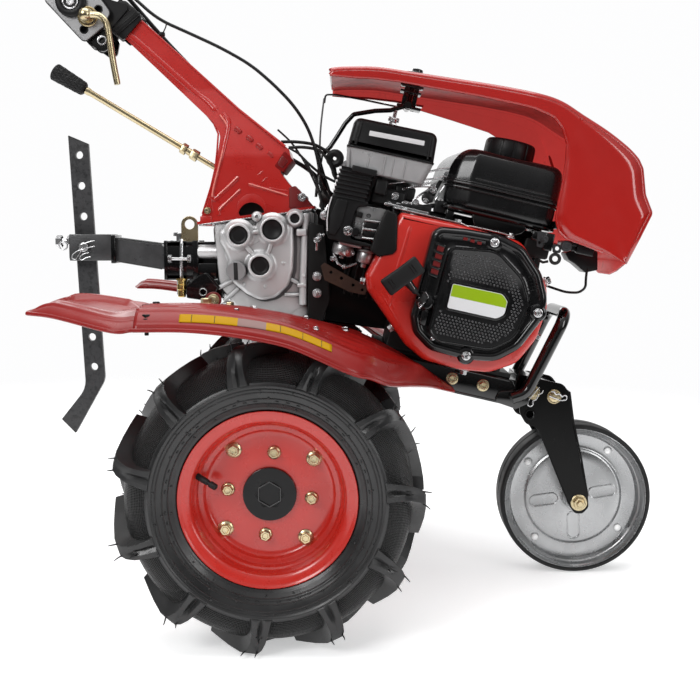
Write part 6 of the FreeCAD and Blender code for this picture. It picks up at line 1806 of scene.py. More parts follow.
ringwire(k, (-22.4, -36, 460.6), (0.15, 1, 0.1), 8.4, 5.8, 0, 40)
tube(k, spline([(-22, -36, 448), (-16, -30, 436), (-2, -26, 430)], 6), 4.2, 12)
make("breather_hose", k, [M_RUBBER], "chassis", ET)


# --------------------------------------------------------------- fuel tank
def end_caps(k, rg, m=0, M=None):
    for e in (0, -1):
        o = len(k.v)
        for p in rg[e]:
            p = Vector(p)
            k.v.append(tuple(M @ p) if M is not None else tuple(p))
        k.f.append(tuple(range(o, o + len(rg[e]))))
        k.m.append(m)


def slab(k, poly, prof, m=0, P=PY, M=None, n=140):
    """Outline carried through (offset, inset) steps, both ends closed."""
    pl = even(poly, n)
    rg = [[P(q[0], q[1], h) for q in inset(pl, i_)] for (h, i_) in prof]
    rings_mesh(k, rg, m, M)
    end_caps(k, rg, m, M)
    return k


def tank_ring(ins, z, dx=0.0, lower=False):
    """Plan outline of the tank at one height: near left corner cut off, left end skewed."""
    if lower:
        pl = [(186, -92.5), (319, -92.5), (319, 85.5), (140, 85.5), (140.5, 60), (152, -68), (166, -81)]
        rr = [5, 16, 16, 14, 10, 5, 4]
    else:
        pl = [(183, -95.2), (320, -95.2), (320, 88.2), (137, 88.2), (137.5, 62), (149.5, -68), (160, -84)]
        rr = [4, 18, 18, 14, 10, 5, 4]
    q_ = [(q[0] + dx * (1 - min(1.0, max(0.0, (q[0] - 137) / 60.0))), q[1], z) for q in inset(even(rnd(pl, rr, 6), 220), ins)]
    return q_


k = Kit()
rg = [tank_ring(i_, z_, d_) for (z_, i_, d_) in ((463, 0, 0), (472, 0, 0.5), (486, 0.2, 2.0), (497, 0.8, 5.0), (505, 2.0, 9.0), (510, 3.6, 12.5), (514, 6.4, 16.0),
                                                 (517, 10.4, 19.0), (518.8, 15.0, 21.5), (519.4, 20.0, 23))]
rings_mesh(k, rg)
end_caps(k, rg)
rg = [tank_ring(i_, z_, d_, True) for (z_, i_, d_) in ((426.6, 9, 3), (427.4, 5.6, 2), (430, 2.6, 1), (434.6, 0.8, 0.4), (441, 0, 0), (463, 0, 0))]
rings_mesh(k, rg)
end_caps(k, rg)
# welded seam flange and the pressed line below it
fl = rnd([(183, -101), (324, -101), (324, 94), (134, 94), (134.5, 62), (146, -70), (158, -89)], [6, 16, 16, 10, 8, 6, 6], 8)
prism(k, fl, PZ, 463, 466.6, 1.4)
fl2 = rnd([(183.5, -98), (321.6, -98), (321.6, 91), (136.6, 91), (137, 62), (148.4, -69), (159.4, -87)], [6, 16, 16, 10, 8, 6, 6], 8)
prism(k, fl2, PZ, 466.4, 470, 1.6)
prism(k, fl2, PZ, 456.6, 460.4, 1.6)
for y in (-95.3, 88.3):
    bead(k, spline([(190, y, 475), (200, y, 474.6), (250, y, 474.4), (304, y, 475)], 4), 1.8, 0.8, (0, -1 if y < 0 else 1, 0))
# collar under the cap
lathe(k, [(36, -3), (35, 1.6), (32, 2.6), (30, 2.6)], (238, -22, 519), (0, 0, 1), 48)
ob = make("tank_shell", k, [M_TANK], "chassis", ET, angle=40)
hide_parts("fuel_tank")

k = Kit()
seg = 192
rg = []
for (r, z, fl_) in ((33.5, 519.8, 0), (38.0, 520.4, 0.6), (39.0, 522.4, 1.0), (39.0, 534, 1.0), (38.8, 541, 1.0), (37.6, 544.6, 0.8), (35.4, 546.6, 0.2),
                    (33.6, 547.2, 0), (31.8, 546.2, 0), (29.6, 546.0, 0)):
    lp = []
    for j in range(seg):
        a = 2 * math.pi * j / seg
        ph = (a * 12 / (2 * math.pi)) % 1
        d_ = 1.5 if ph < 0.16 else 0.0
        rr_ = r - fl_ * d_
        lp.append((238 + rr_ * math.cos(a), -22 + rr_ * math.sin(a), z))
    rg.append(lp)
rings_mesh(k, rg)
end_caps(k, rg)
rbox(k, (238, -22, 547), (24, 5, 2.0), 1.2)
ob = make("fuel_cap_fluted", k, [M_PLASTIC], "chassis", ET, angle=28)
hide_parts("fuel_cap")

k = Kit()
# tray under the tank with its turned-up rim, legs and front strap
tr = rnd([(152, -92), (322, -92), (322, 84), (152, 84)], 18, 8)
prism(k, tr, PZ, 423.5, 426.4, 0.8)
tube(k, [(q[0], q[1], 426.6) for q in even(inset(tr, -0.6), 120)], 2.6, 8, 0, closed=True)
for (x0, x1, y0, y1, z0, z1) in ((160, 172, -80, 80, 404, 424), (300, 312, -52, 80, 330, 424), (319, 324, -108, 108, 429, 441), (300, 324, -30, 30, 421, 427.6)):
    rbox(k, ((x0 + x1) / 2, (y0 + y1) / 2, (z0 + z1) / 2), ((x1 - x0) / 2, (y1 - y0) / 2, (z1 - z0) / 2), 1.6)
prism(k, rnd([(196, 424), (286, 424), (276, 411), (262, 404), (206, 404)], 4), PY, -88, -74, 1.2)
# spring and front mount shapes between tray and hood side
rbox(k, (316, -101, 408), (7, 6, 13), 1.6)
rbox(k, (299, -98, 413), (9, 6, 7), 2)
ob = make("tank_tray", k, [M_GLOSS], "chassis", ET, angle=34)
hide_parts("tank_bracket")
k = Kit()
holed(k, rnd([(296, 420), (318, 421), (322, 399), (300, 397)], 2.5, 4), [(303, 404, 2.2)], PY, -103, -105.4, 0.5)
holed(k, rnd([(322, 407), (336, 408), (338, 396), (326, 394)], 3, 4), [(331, 401.6, 3.0)], PY, -101, -103, 0.5)
bolt(k, (309, -105.4, 411), (0, -1, 0), 7, 4, wr=6)
lathe(k, [(0, 0), (7.6, 0), (8.2, 1), (8.2, 8), (7.2, 9.4), (4, 9.6), (3.6, 8.6), (0, 8.6)], (343, -98, 408), (0, -1, 0), 30)
make("tank_front_mount", k, [M_GREYPL], "chassis", ET, angle=34)
k = Kit()
ringwire(k, (331, -106, 386), (0.1, 1, 0), 6.6, 2.5, 0, 36)
tube(k, [(322, -104, 380), (316, -100, 377), (308, -98, 379)], 2.0, 8, 0)
make("fuel_hose_clip", k, [M_RUBBER], "chassis", ET)

# ------------------------------------------------------------------- hood
HWd = 113.0
topl = [(-56, 580), (-34, 587), (12, 597), (60, 601), (123, 606), (190, 611), (250, 613), (285, 609.5), (320, 597.5), (360, 583.5), (394, 568),
        (414, 555.5)]
prof = [(p.x, p.z) for p in spline([(a, 0, b) for a, b in topl], 5)]
nose = rnd([(394, 568), (414, 555.5), (424, 543), (437, 507), (454, 483), (445, 443), (435, 402)], [0, 22, 14, 26, 10, 60, 0], 6)
i0 = [i for i, q in enumerate(nose) if q[0] > 413.9][0]
prof = prof[:-1] + [q for q in nose if q[0] > 414.0 or q[1] < 555.5]
lowe = [(397, 412), (338, 419), (325, 427), (317, 443), (315, 466), (314, 497), (311, 528), (306, 553), (295, 572), (278, 586), (246, 592),
        (220, 592), (166, 591), (80, 586.5), (50, 585), (5.5, 580), (-16, 576), (-54, 571)]


def open_inset(pl, d):
    out = []
    n_ = len(pl)
    for i in range(n_):
        a, b = Vector(pl[max(0, i - 1)]), Vector(pl[min(n_ - 1, i + 1)])
        t = (b - a).normalized()
        out.append((pl[i][0] + t.y * d, pl[i][1] - t.x * d))
    return out


k = Kit()
rg = []
FR = 5.5
for s in (-1,):
    for j in range(8):
        a = math.pi / 2 * j / 7
        rg.append([(q[0], -(HWd - FR * (1 - math.sin(math.pi / 2 - a))) if False else -(HWd - FR + FR * math.cos(a)), q[1])
                   for q in open_inset(prof, FR * (1 - math.sin(a)))])
mid = []
# roof: gently crowned between the two rims
for yy in (-104, -90, -60, -30, 0, 30, 60, 90, 104):
    cr = 2.2 * (1 - (yy / 101.0) ** 2)
    dz = -1.6 if abs(abs(yy) - 86) < 2 else 0
    mid.append([(q[0], yy, q[1]) for q in open_inset(prof, -cr * 0.9 - dz - 0.0)])
rg2 = rg + mid + [[(x, -y, z) for (x, y, z) in r_] for r_ in reversed(rg)]
rings_mesh(k, rg2, closed_u=False)
low = [(p.x, p.z) for p in bent([Vector((-56, 0, 571.2))] + [Vector((q[0], 0, q[1])) for q in lowe[::-1]] + [Vector((435, 0, 402))], 12, 6)]
upi = open_inset(prof, FR)


def arc_split(pl, i0_, i1_, n_):
    """n_ points spread evenly along part of an outline."""
    seg_ = [Vector((q[0], q[1])) for q in pl[i0_:i1_ + 1]]
    L_ = [0.0]
    for a_, b_ in zip(seg_, seg_[1:]):
        L_.append(L_[-1] + (b_ - a_).length)
    out, j_ = [], 0
    for i_ in range(n_):
        t_ = L_[-1] * i_ / (n_ - 1)
        while j_ < len(L_) - 2 and L_[j_ + 1] < t_:
            j_ += 1
        f_ = (t_ - L_[j_]) / max(1e-9, L_[j_ + 1] - L_[j_])
        p_ = seg_[j_].lerp(seg_[j_ + 1], min(1, max(0, f_)))
        out.append((p_.x, p_.y))
    return out


iu = min(range(len(upi)), key=lambda i_: abs(upi[i_][0] - 318))
il = min(range(len(low)), key=lambda i_: (low[i_][0] - 300) ** 2 + (low[i_][1] - 565) ** 2)
back = [q for q in upi[:iu + 1]]
for s in (-1, 1):
    rgs = []
    xs_low = [q[0] for q in low[:il + 1]]
    pu = arc_split(upi, 0, iu, 60)
    pl_ = arc_split(low, 0, il, 60)
    pu2 = arc_split(upi, iu, len(upi) - 1, 60)
    pl2 = arc_split(low, il, len(low) - 1, 60)
    for a_, b_ in list(zip(pu, pl_)) + list(zip(pu2, pl2))[1:]:
        col_ = []
        for j in range(9):
            t_ = j / 8
            x_, z_ = a_[0] + (b_[0] - a_[0]) * t_, a_[1] + (b_[1] - a_[1]) * t_
            # faint diagonal crease in the side panel
            dcr = ((x_ - 318) * 0.86 + (z_ - 560) * 0.51) / 1.0
            acr = abs((x_ - 318) * 0.82 + (z_ - 560) * 0.57)
            col_.append((x_, s * (HWd + 0.9 * math.exp(-(acr / 7.0) ** 2) * (1 if x_ > 316 else 0)), z_))
        rgs.append(col_)
    rings_mesh(k, rgs, closed_u=False)
ob = make("hood_shell", k, [M_HOOD, M_HOODIN_GLOW], "chassis", ET, angle=32, solid=2.6, off=0, weld=0.05)
top_ = max(ob.data.polygons, key=lambda p_: p_.center.z)
if top_.normal.z < 0:
    ob.data.flip_normals()
# the inner face takes the inside red with its painted glow
ob.modifiers['sheet'].material_offset = 1
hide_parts("hood")
# chin of the front panel, and the left panel's rearward part
k = Kit()
prism(k, rnd([(-108, 405), (108, 405), (70, 391), (35, 384.8), (-35, 384.8), (-70, 391)], [1, 1, 8, 8, 8, 8], 5), PX, 431.4, 433.0, 0.3)
prism(k, rnd([(-108, 405), (108, 405), (70, 391), (35, 384.8), (-35, 384.8), (-70, 391)], [1, 1, 8, 8, 8, 8], 5), PX, 433.1, 434.8, 0.5, m=1)
tube(k, bent([Vector((432.9, y_, z_)) for y_, z_ in ((-108, 403), (-70, 391), (-35, 384.8), (35, 384.8), (70, 391), (108, 403))], 8, 6), 1.9, 10)
make("hood_chin", k, [M_HOODIN_GLOW, M_HOOD], "chassis", ET, angle=36)
k = Kit()
lp_ = rnd([(94, 581), (146, 577.4), (181, 574.6), (214, 571.6), (234, 565), (247, 545), (257, 500), (265, 450), (277, 432), (298, 421.5), (336, 419.4),
           (343, 432), (326, 450), (323, 500), (319, 555), (300, 583), (284, 589), (250, 595), (150, 596), (100, 592)],
          [1, 2, 2, 8, 10, 14, 20, 20, 10, 8, 2, 2, 2, 2, 2, 2, 2, 2, 2, 2], 5)
prism(k, lp_, PY, 110.2, 112.0, 0.3)
prism(k, lp_, PY, 112.1, 113.4, 0.4, m=1)
rm_ = bent([Vector((x_, 111.2, z_)) for x_, z_ in ((94, 581), (146, 577.4), (181, 574.6), (214, 571.6), (234, 565), (247, 545), (257, 500), (265, 450), (277, 432),
                                                 (298, 421.5), (336, 419.4))], 8, 5)
tube(k, rm_, 1.8, 10)
make("hood_left_panel", k, [M_HOODIN_GLOW, M_HOOD], "chassis", ET, angle=36)
# pressed bead down each side panel, and the hood's rolled rims
k = Kit()
for s in (-1, 1):
    o_ = (0, s, 0)
    bead(k, spline([(322, s * HWd, 556), (342, s * HWd, 524), (366, s * HWd, 490), (384, s * HWd, 460)], 6), 2.2, 1.7, o_)
    # rolled lower rim
    lowr = [(p.x, s * (HWd - 0.4), p.z) for p in bent([Vector((q[0], 0, q[1])) for q in lowe], 12, 4)]
    tube(k, lowr, 2.0, 8)
tube(k, [(-56, -100, 579.6), (-56.6, -60, 581.4), (-56.8, 0, 582), (-56.6, 60, 581.4), (-56, 100, 579.6)], 1.9, 8)
make("hood_rims", k, [M_HOOD], "chassis", ET, angle=40)
# catch, wire stay and knob
k = Kit()
for s in (-1, 1):
    prism(k, rnd([(58.5, 562), (65.5, 562), (65.5, 600), (58.5, 600)], 1), PY, s * 13, s * 10.6, 0.5)
    prism(k, rnd([(74.5, 562), (81, 562), (81, 600), (74.5, 600)], 1), PY, s * 13, s * 10.6, 0.5)
rbox(k, (69, 0, 597), (18, 14, 2.0), 0.8)
rbox(k, (69, 0, 587.6), (16.5, 15, 1.6), 0.8)
rbox(k, (71, 0, 564.4), (19, 15, 2.2), 0.8)
lathe(k, [(0, 0), (4.6, 0), (4.6, 34), (0, 34)], (69.5, 0, 564), (0, 0, 1), 20)
tube(k, [(69, -24, 566), (69, 24, 566)], 5.4, 16)
lathe(k, [(6.6, 0), (7.4, 1), (7.4, 5), (6, 6)], (69, -20, 566), (0, -1, 0), 24)
ers = [(69, 566)] + [None] * 6
_c, _s = math.cos(D(13)), math.sin(D(13))
lvp = lambda X, Z: (X * _c - (Z - 202) * _s, X * _s + (Z - 202) * _c)
ers = [(69, 566)] + [lvp(*q) for q in ((168, 730.4), (144, 729.5), (110.6, 724.3), (97.7, 710.4), (84.8, 690.1), (74.4, 674.8), (62.5, 663))]
tube(k, bent([(q[0], -20, q[1]) for q in ers], 9, 6), 3.6, 14)
w_ = [(lvp(q[0], q[1]), q[2]) for q in ((62.6, 757, 106), (64.5, 771, 106), (81, 771, 106), (125.5, 763, 106), (160, 755, 100), (185, 746, 70), (202, 737, 24))]
tube(k, bent([(q[0], y_, q[1]) for q, y_ in w_], 5, 4), 1.7, 10)
w2 = [lvp(*q) for q in ((62.5, 663), (60, 650), (58, 636), (57, 618))]
tube(k, spline([(q[0], -20 - 3 * i, q[1]) for i, q in enumerate(w2)], 5), 1.8, 10)
kn = [(0, 17.2), (6.6, 17.2), (8.2, 16.4), (8.8, 14.6), (9.2, 11.6), (14.6, 11.2), (17.2, 10.0), (17.8, 7.6), (17.6, 3.6), (16, 1.4), (9, 0.4), (7, 0.2), (7, -8), (0, -8)]
lathe(k, kn, (72, 0, 608.6), (0.0, 0, 1), 36)
ob = make("hood_catch", k, [M_GLOSS], "chassis", ET, angle=36)
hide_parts("hood_stay")
# head lamp behind the nose
k = Kit()
slab(k, rnd([(-57, 425), (-57, 473), (57, 473), (57, 425)], 15, 6), [(404, 3), (406, 1), (409, 0), (424, 0), (428, 0.6), (430, 2)], 0, PX, n=100)
slab(k, rnd([(-45, 432), (-45, 466), (45, 466), (45, 432)], 12, 6), [(372, 8), (373.4, 4), (377, 1.6), (384, 0.4), (404, 0)], 0, PX, n=100)
for y in (-30, -10, 10, 30):
    rbox(k, (388, y, 431), (14, 1.6, 3), 1)
rbox(k, (360, 0, 448), (12, 9, 9), 2.2)
for s in (-1, 1):
    lathe(k, [(9, 0), (10, 1), (10, 18), (9, 19), (0, 19)], (388, s * 52, 440), (0, s, 0.2), 24)
ob = make("lamp_housing", k, [M_GREYPL], "chassis", ET, angle=36)
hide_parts("headlight")
k = Kit()
slab(k, rnd([(-53, 429), (-53, 469), (53, 469), (53, 429)], 13, 6), [(429.6, 0), (431.4, 0.6), (432.6, 2.4), (433.2, 6)], 0, PX, n=100)
make("lamp_lens", k, [M_LENS], "chassis", ET, angle=36)
k = Kit()
rbox(k, (358, -86, 416), (9, 3, 12), 1.4)
rbox(k, (374, -92, 409), (13, 6, 7), 1.8)
rbox(k, (366, -60, 414), (22, 34, 3), 1.2)
lb_ = rnd([(381.8, 413.8), (407.9, 413.9), (415.1, 385.7), (397.1, 377.5), (378.5, 387.2), (367.6, 390.7), (359.1, 400.6)], 3)
prism(k, lb_, PY, -30, 10, 1.2)
make("lamp_bracket", k, [M_BLACK], "chassis", ET, angle=36)

# ----------------------------------------------------------------- fenders
F_MAIN = [(-158, (250, 443), (262, 443), (385, 427), (402, 423)), (-100, (215, 442), (262, 441), (385, 429), (402, 423)),
          (-50, (170, 436), (262, 434), (385, 427), (403, 419)), (0, (120, 424), (262, 425), (385, 421), (403, 411)),
          (40, (80, 412), (262, 416), (385, 412), (402, 400)), (105, (62, 394), (262, 391), (383, 386), (400, 371)),
          (130, (62, 384), (255, 377), (360, 372), (380, 362)), (155, (62, 372), (220, 362), (312, 355), (332, 347)),
          (190, (62, 352), (150, 343), (225, 338), (240, 333)), (225, (62, 329), (90, 325), (128, 320), (138, 317)),
          (264, (62, 302), (65, 301.5), (69, 301), (73, 300.5))]
F_LEFT = [(-158, (250, 443), (262, 443), (385, 427), (402, 423)), (-100, (215, 442), (262, 441), (385, 429), (402, 423)),
          (-50, (186, 437), (262, 434), (385, 427), (403, 419)), (0, (186, 427), (262, 425), (385, 421), (403, 411)),
          (40, (186, 418), (262, 416), (385, 412), (402, 400)), (105, (186, 393), (262, 391), (383, 386), (400, 371)),
          (130, (182, 381), (255, 377), (360, 372), (380, 362)), (155, (150, 366), (220, 362), (312, 355), (332, 347)),
          (190, (100, 349), (150, 343), (225, 338), (240, 333)), (225, (62, 329), (90, 325), (128, 320), (138, 317)),
          (264, (62, 302), (65, 301.5), (69, 301), (73, 300.5))]
F_REAR = [(-303, (335, 441.5), (338, 441.3), (342, 441), (346, 440)), (-262, (238, 455), (245, 452), (360, 440), (368, 437)),
          (-185, (240, 447), (250, 445), (392, 427), (406, 423)), (-160, (251, 443.4), (262, 443.4), (385, 427.4), (402, 423.4)),
          (-140, (240, 443), (262, 442.8), (385, 428), (402, 423.4))]
smooth = lambda a, b, t: (lambda q: q * q * (3 - 2 * q))(max(0.0, min(1.0, (t - a) / (b - a))))


def dense(st, n):
    """Stations interpolated along the length: inner, a, b, outer lines."""
    lines = [spline([(x, p[i][0], p[i][1]) for (x, *p) in st], n) for i in range(4)]
    return list(zip(*lines))


def section(four, crown, flank, nu):
    """Points across the sheet, inner edge to outer edge, with t along the flat and the flank."""
    pi, pa, pb, po = four
    w = abs(po.y - pi.y)
    f = min(1.0, w / 120.0)
    bz = po.z + flank * f
    by = po.y - 24 * f * (1 if po.y > 0 else -1)
    pb2 = Vector((pb.x, by, max(bz, pb.z)))
    out = []
    n1 = int(nu * 0.72)
    for i in range(n1 + 1):
        t = i / n1
        y = pi.y + (pb2.y - pi.y) * t
        z = pi.z + (pb2.z - pi.z) * t + crown * f * math.sin(math.pi * t) * 0.9
        zq = (1 - t) ** 2 * pi.z + 2 * t * (1 - t) * (pa.z + 1.5 * f) + t * t * pb2.z
        out.append((Vector((pi.x, y, 0.45 * z + 0.55 * zq)), t * 0.8))
    n2 = nu - n1
    for i in range(1, n2 + 1):
        t = i / n2
        y = pb2.y + (po.y - pb2.y) * (math.sin(t * math.pi / 2) * 0.55 + t * 0.45)
        z = pb2.z + (po.z - pb2.z) * (1 - math.cos(t * math.pi / 2)) * 0.55 + (po.z - pb2.z) * t * 0.45
        out.append((Vector((pi.x, y, z)), 0.8 + 0.2 * t))
    return out


def sheet_piece(name, st, side, ridges, flank=23, crown=4, n=12, nu=70, fade=None, mat=None, extra=None):
    st2 = [(x, *[(side * y, z) for (y, z) in p]) for (x, *p) in st]
    rows = []
    dn = dense(st2, n)
    L = len(dn) - 1
    for i, four in enumerate(dn):
        row = []
        w = abs(four[3].y - four[0].y)
        env = smooth(20, 90, w)
        for p, t in section([Vector(q) for q in four], crown, flank, nu):
            h = 0.0
            for (c_, hw, hh) in ridges:
                d_ = abs(t - c_) / hw
                if d_ < 1:
                    h += hh * (0.5 + 0.5 * math.cos(math.pi * d_)) ** 0.6
            if extra:
                h += extra(p.x, t)
            row.append((p.x, p.y, p.z + h * env))
        rows.append(row)
    k = Kit()
    rings_mesh(k, rows, closed_u=False)
    make(name, k, [mat or M_FENDER], "chassis", MT, angle=50, solid=2.2, off=0)
    # rolled edge along both sides
    e = Kit()
    tube(e, [r_[-1] for r_ in rows], 2.7, 10)
    tube(e, [r_[0] for r_ in rows], 2.0, 8)
    if abs(rows[0][0][1] - rows[0][-1][1]) < 60:
        tube(e, [rows[0][0], rows[0][nu // 2], rows[0][-1]], 2.0, 8)
    make(name + "_edge", e, [mat or M_FENDER], "chassis", MT, angle=50)
    return rows


RID = [(0.10, 0.022, 1.8), (0.26, 0.028, 3.0), (0.40, 0.028, 3.0), (0.54, 0.028, 3.2), (0.67, 0.026, 3.0), (0.79, 0.018, 2.2), (0.975, 0.03, 1.4)]
rows_r = sheet_piece("fender_right", F_MAIN, -1, RID)
rows_l = sheet_piece("fender_left", F_LEFT, 1, RID)
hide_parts("right_fender")
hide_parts("left_fender")


def leaf(x, t):
    """Pressed leaf panel of the rear extension."""
    a = smooth(-292, -262, x) * (1 - smooth(-196, -158, x))
    c_, w = 0.40, 0.27 * a + 1e-6
    d_ = abs(t - c_) / w
    return -5.0 * a * (1 - smooth(0.72, 1.05, d_)) + 2.4 * a * math.exp(-((d_ - 1.15) / 0.16) ** 2)


RID2 = [(0.83, 0.03, 2.4), (0.10, 0.03, 2.0)]
rows_x = sheet_piece("fender_extension_right", F_REAR, -1, RID2, flank=14, crown=3, n=16, extra=leaf)
rows_y = sheet_piece("fender_extension_left", F_REAR, 1, RID2, flank=14, crown=3, n=16, extra=leaf)
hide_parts("fender_extensions")

# yellow strip with its white part, on the flank
k = Kit()


def flank_pt(row, t, up=0.9):
    n1 = int(70 * 0.72)
    seg_ = row[n1:]
    q = t * (len(seg_) - 1)
    i = min(int(q), len(seg_) - 2)
    a, b = Vector(seg_[i]), Vector(seg_[i + 1])
    p = a.lerp(b, q - i)
    nrm = Vector((0, (b.z - a.z), -(b.y - a.y))).normalized()
    if nrm.z < 0:
        nrm = -nrm
    return p + nrm * up


def row_at(rows, x):
    for i in range(len(rows) - 1):
        if rows[i][0][0] <= x <= rows[i + 1][0][0] or rows[i][0][0] >= x >= rows[i + 1][0][0]:
            f = (x - rows[i][0][0]) / (rows[i + 1][0][0] - rows[i][0][0])
            return [tuple(Vector(a).lerp(Vector(b), f)) for a, b in zip(rows[i], rows[i + 1])]
    return rows[-1]


for (x0, x1, mi) in ((-103, -32, 0), (-32, 2.5, 1), (2.5, 82.5, 0)):
    rg = []
    for i in range(21):
        r_ = row_at(rows_r, x0 + (x1 - x0) * i / 20)
        rg.append([tuple(flank_pt(r_, 0.15 + 0.19 * (82.5 - (x0 + (x1 - x0) * i / 20)) / 185.5 + 0.36 * j / 6, 1.75)) for j in range(7)])
    rings_mesh(k, rg, mi, closed_u=False)
make("fender_stripe", k, [M_YELLOW, M_STRIPEPK], "chassis", MT, angle=60, solid=0.3, off=0)
k = Kit()
for xx in (-88, -60, 20, 47, 70):
    r_ = row_at(rows_r, xx)
    a, b_ = flank_pt(r_, 0.18 + 0.19 * (82.5 - xx) / 185.5, 2.0), flank_pt(r_, 0.48 + 0.19 * (82.5 - xx) / 185.5, 2.0)
    tube(k, [a, (a + b_) / 2, b_], 0.5, 6)
make("fender_stripe_marks", k, [M_STRIPEDK], "chassis", MT)


def surf_pt(rows, x, yabs, side):
    r_ = row_at(rows, x)
    best = min(r_, key=lambda p: abs(abs(p[1]) - yabs))
    return Vector(best)


k = Kit()
for (x, y, m_, af) in ((-92, 232, 1, 13), (-60, 226, 1, 10), (-30, 205, 0, 8), (41, 160, 0, 9), (98, 128, 0, 9), (-40, 330, 0, 6), (60, 300, 0, 6)):
    p = surf_pt(rows_r, x, y, -1)
    bolt(k, (p.x, p.y, p.z + 1.0), (0, 0, 1), af, af * 0.5, m=m_)
    p = surf_pt(rows_l, x, max(y, 200), 1)
    bolt(k, (p.x, p.y, p.z + 1.0), (0, 0, 1), af, af * 0.5, m=m_)
for s, rows in ((-1, rows_r), (1, rows_l)):
    for (x, y) in ((-150, 290), (-147, 370), (-156, 325), (-144, 388)):
        p = surf_pt(rows_x if s < 0 else rows_y, x, y, s)
        bolt(k, (p.x, p.y, p.z + 1.4), (0, 0, 1), 9, 5, m=2)
        bolt(k, (p.x, p.y, p.z - 6.5), (0, 0, -1), 9, 5, m=2, stub=5)
make("fender_bolts", k, [M_STEEL, M_ZINC, M_BLACK], "chassis", MT, angle=30)
k = Kit()
rg = []
for i in range(9):
    r_ = row_at(rows_x, -262 + 52 * i / 8)
    q = [Vector(p) for p in r_]
    n_ = len(q)
    rg.append([tuple(q[int(n_ * (0.50 + 0.09 * j / 3))] + Vector((0, 0, 1.5))) for j in range(4)])
rings_mesh(k, rg, 0, closed_u=False)
make("extension_label", k, [M_LABELPK], "chassis", MT, angle=60, solid=0.3, off=0)
# stays that carry the fenders from the frame
k = Kit()
for s in (-1, 1):
    tube(k, bent([(-70, s * 52, 402), (-70, s * 150, 414), (-70, s * 240, 432), (-70, s * 300, 430)], 20, 5), 6, 12)
    rbox(k, (-30, s * 150, 421), (40, 26, 1.6), 1.0)
    prism(k, rnd([(-110, -14), (-40, -14), (-40, 14), (-110, 14)], 4), PZ, 418, 421, 0.6, M=Matrix.Translation((0, s * 160, 4)))
    for x in (150,):
        prism(k, rnd([(x - 9, 0), (x + 9, 0), (x + 9, 34), (x - 9, 34)], 3), PY, s * 60.4, s * 63, 0.5,
              M=Matrix.Translation((0, 0, 318 - (x - 150) * 0.62)))
make("fender_stays", k, [M_BLACK], "chassis", MT, angle=34)


# -------------------------------------------------- frame rails and bumper
k = Kit()
for s in (-1, 1):
    web = rnd([(-34, 151), (-34, 191), (322, 191), (331, 180), (331, 160), (326, 151)], 6, 5)
    prism(k, web, PY, s * 54.2, s * 60.2, 1.4)
    rbox(k, (147, s * 43, 153.5), (175, 11.4, 2.6), 1.0)
    rbox(k, (145, s * 43, 188.5), (173, 11.4, 2.6), 1.0)
    # edge line pressed along the rail's top and its lower fold
    tube(k, [(-30, s * 60.0, 188.4), (120, s * 60.4, 188.8), (318, s * 60.2, 188.6)], 1.3, 8)
    tube(k, [(-30, s * 60.0, 153.8), (150, s * 60.3, 153.6), (320, s * 60.0, 153.8)], 1.1, 8)
make("rail_covers", k, [M_GLOSS], "chassis", ET, angle=34)
k = Kit()
for s in (-1, 1):
    for (x, z) in ((230.1, 172.4), (279, 172.8)):
        bolt(k, (x, s * 60.6, z), (0, s, 0), 12, 6.5, wr=9.6, m=0, turn=0.3)
    bolt(k, (120, s * 60.6, 172), (0, s, 0), 11, 6.5, wr=9, m=0)
    bolt(k, (40, s * 60.6, 172), (0, s, 0), 11, 6.5, wr=9, m=0)
    for (x, z) in ((P_[0], P_[1]) for P_ in ()):
        pass
make("rail_bolts", k, [M_ZINC], "chassis", ET, angle=30)
k = Kit()
lv = lambda X, Z: (X * _c - (Z - 202) * _s, X * _s + (Z - 202) * _c)
ft, hd = lv(378, 304), lv(436, 419)
bp_ = bent([(ft[0] - 20, -69.6, ft[1] - 20), (ft[0], -69.6, ft[1] - 8), (hd[0], -69.6, hd[1]), (hd[0], 69.6, hd[1]), (ft[0], 69.6, ft[1] - 8),
            (ft[0] - 20, 69.6, ft[1] - 20)], 26, 12)
tube(k, bp_, 9.6, 28)
for s in (-1, 1):
    prism(k, rnd([(ft[0] - 44, ft[1] - 32), (ft[0] - 40, ft[1] - 14), (ft[0] + 2, ft[1] - 4), (ft[0] + 10, ft[1] - 22), (ft[0] - 8, ft[1] - 36)], 6),
          PY, s * 58, s * 64, 1.0)
ob = make("bumper_tube", k, [M_BUMPER], "chassis", ET, angle=40)
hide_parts("bumper")

# ---------------------------------------------------------------- front leg
FT0 = (465.2, 120.0)
P1_, P2_, PH_ = (390.2, 295.1), (423.1, 288.5), (386.2, 260.6)
leg_pts = [(370, 262), (370, 300), (377, 315), (398, 316.5), (437, 308), (446, 296), (453, 249), (480, 128), (481, 112), (472, 102), (460, 102),
           (452, 112), (405, 224), (396, 240), (380, 245)]
k = Kit()
for s in (-1, 1):
    holed(k, rnd(leg_pts, [16, 14, 10, 16, 14, 14, 60, 8, 8, 8, 8, 8, 30, 14, 14], 6), [(PH_[0], PH_[1], 6.2)], PY, s * 46, s * 51, 0.9)
    lathe(k, [(6.2, -4), (6.2, 0.3), (7, 0.8), (8.6, 0.7), (9, 0)], (PH_[0], s * 51, PH_[1]), (0, s, 0), 28)
    # folded stiffener along the leg's front edge
    tube(k, [(447, s * 50.0, 292), (455, s * 50.0, 246), (468, s * 50.0, 190), (479.5, s * 50.0, 130)], 1.5, 8)
    tube(k, [(398, s * 50.0, 236), (408, s * 50.0, 218), (428, s * 50.0, 170), (450, s * 50.0, 118)], 1.3, 8)
prism(k, rnd([(443, 296), (449, 296), (456, 249), (450, 248)], 1), PY, -50.6, 50.6, 1.0)
prism(k, [(450, 250), (455, 250), (454, 243), (449, 243)], PY, -50.6, 50.6, 0.6)
ob = make("leg_plates", k, [M_LEG], "front_leg", angle=34)
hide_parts("front_leg")
k = Kit()
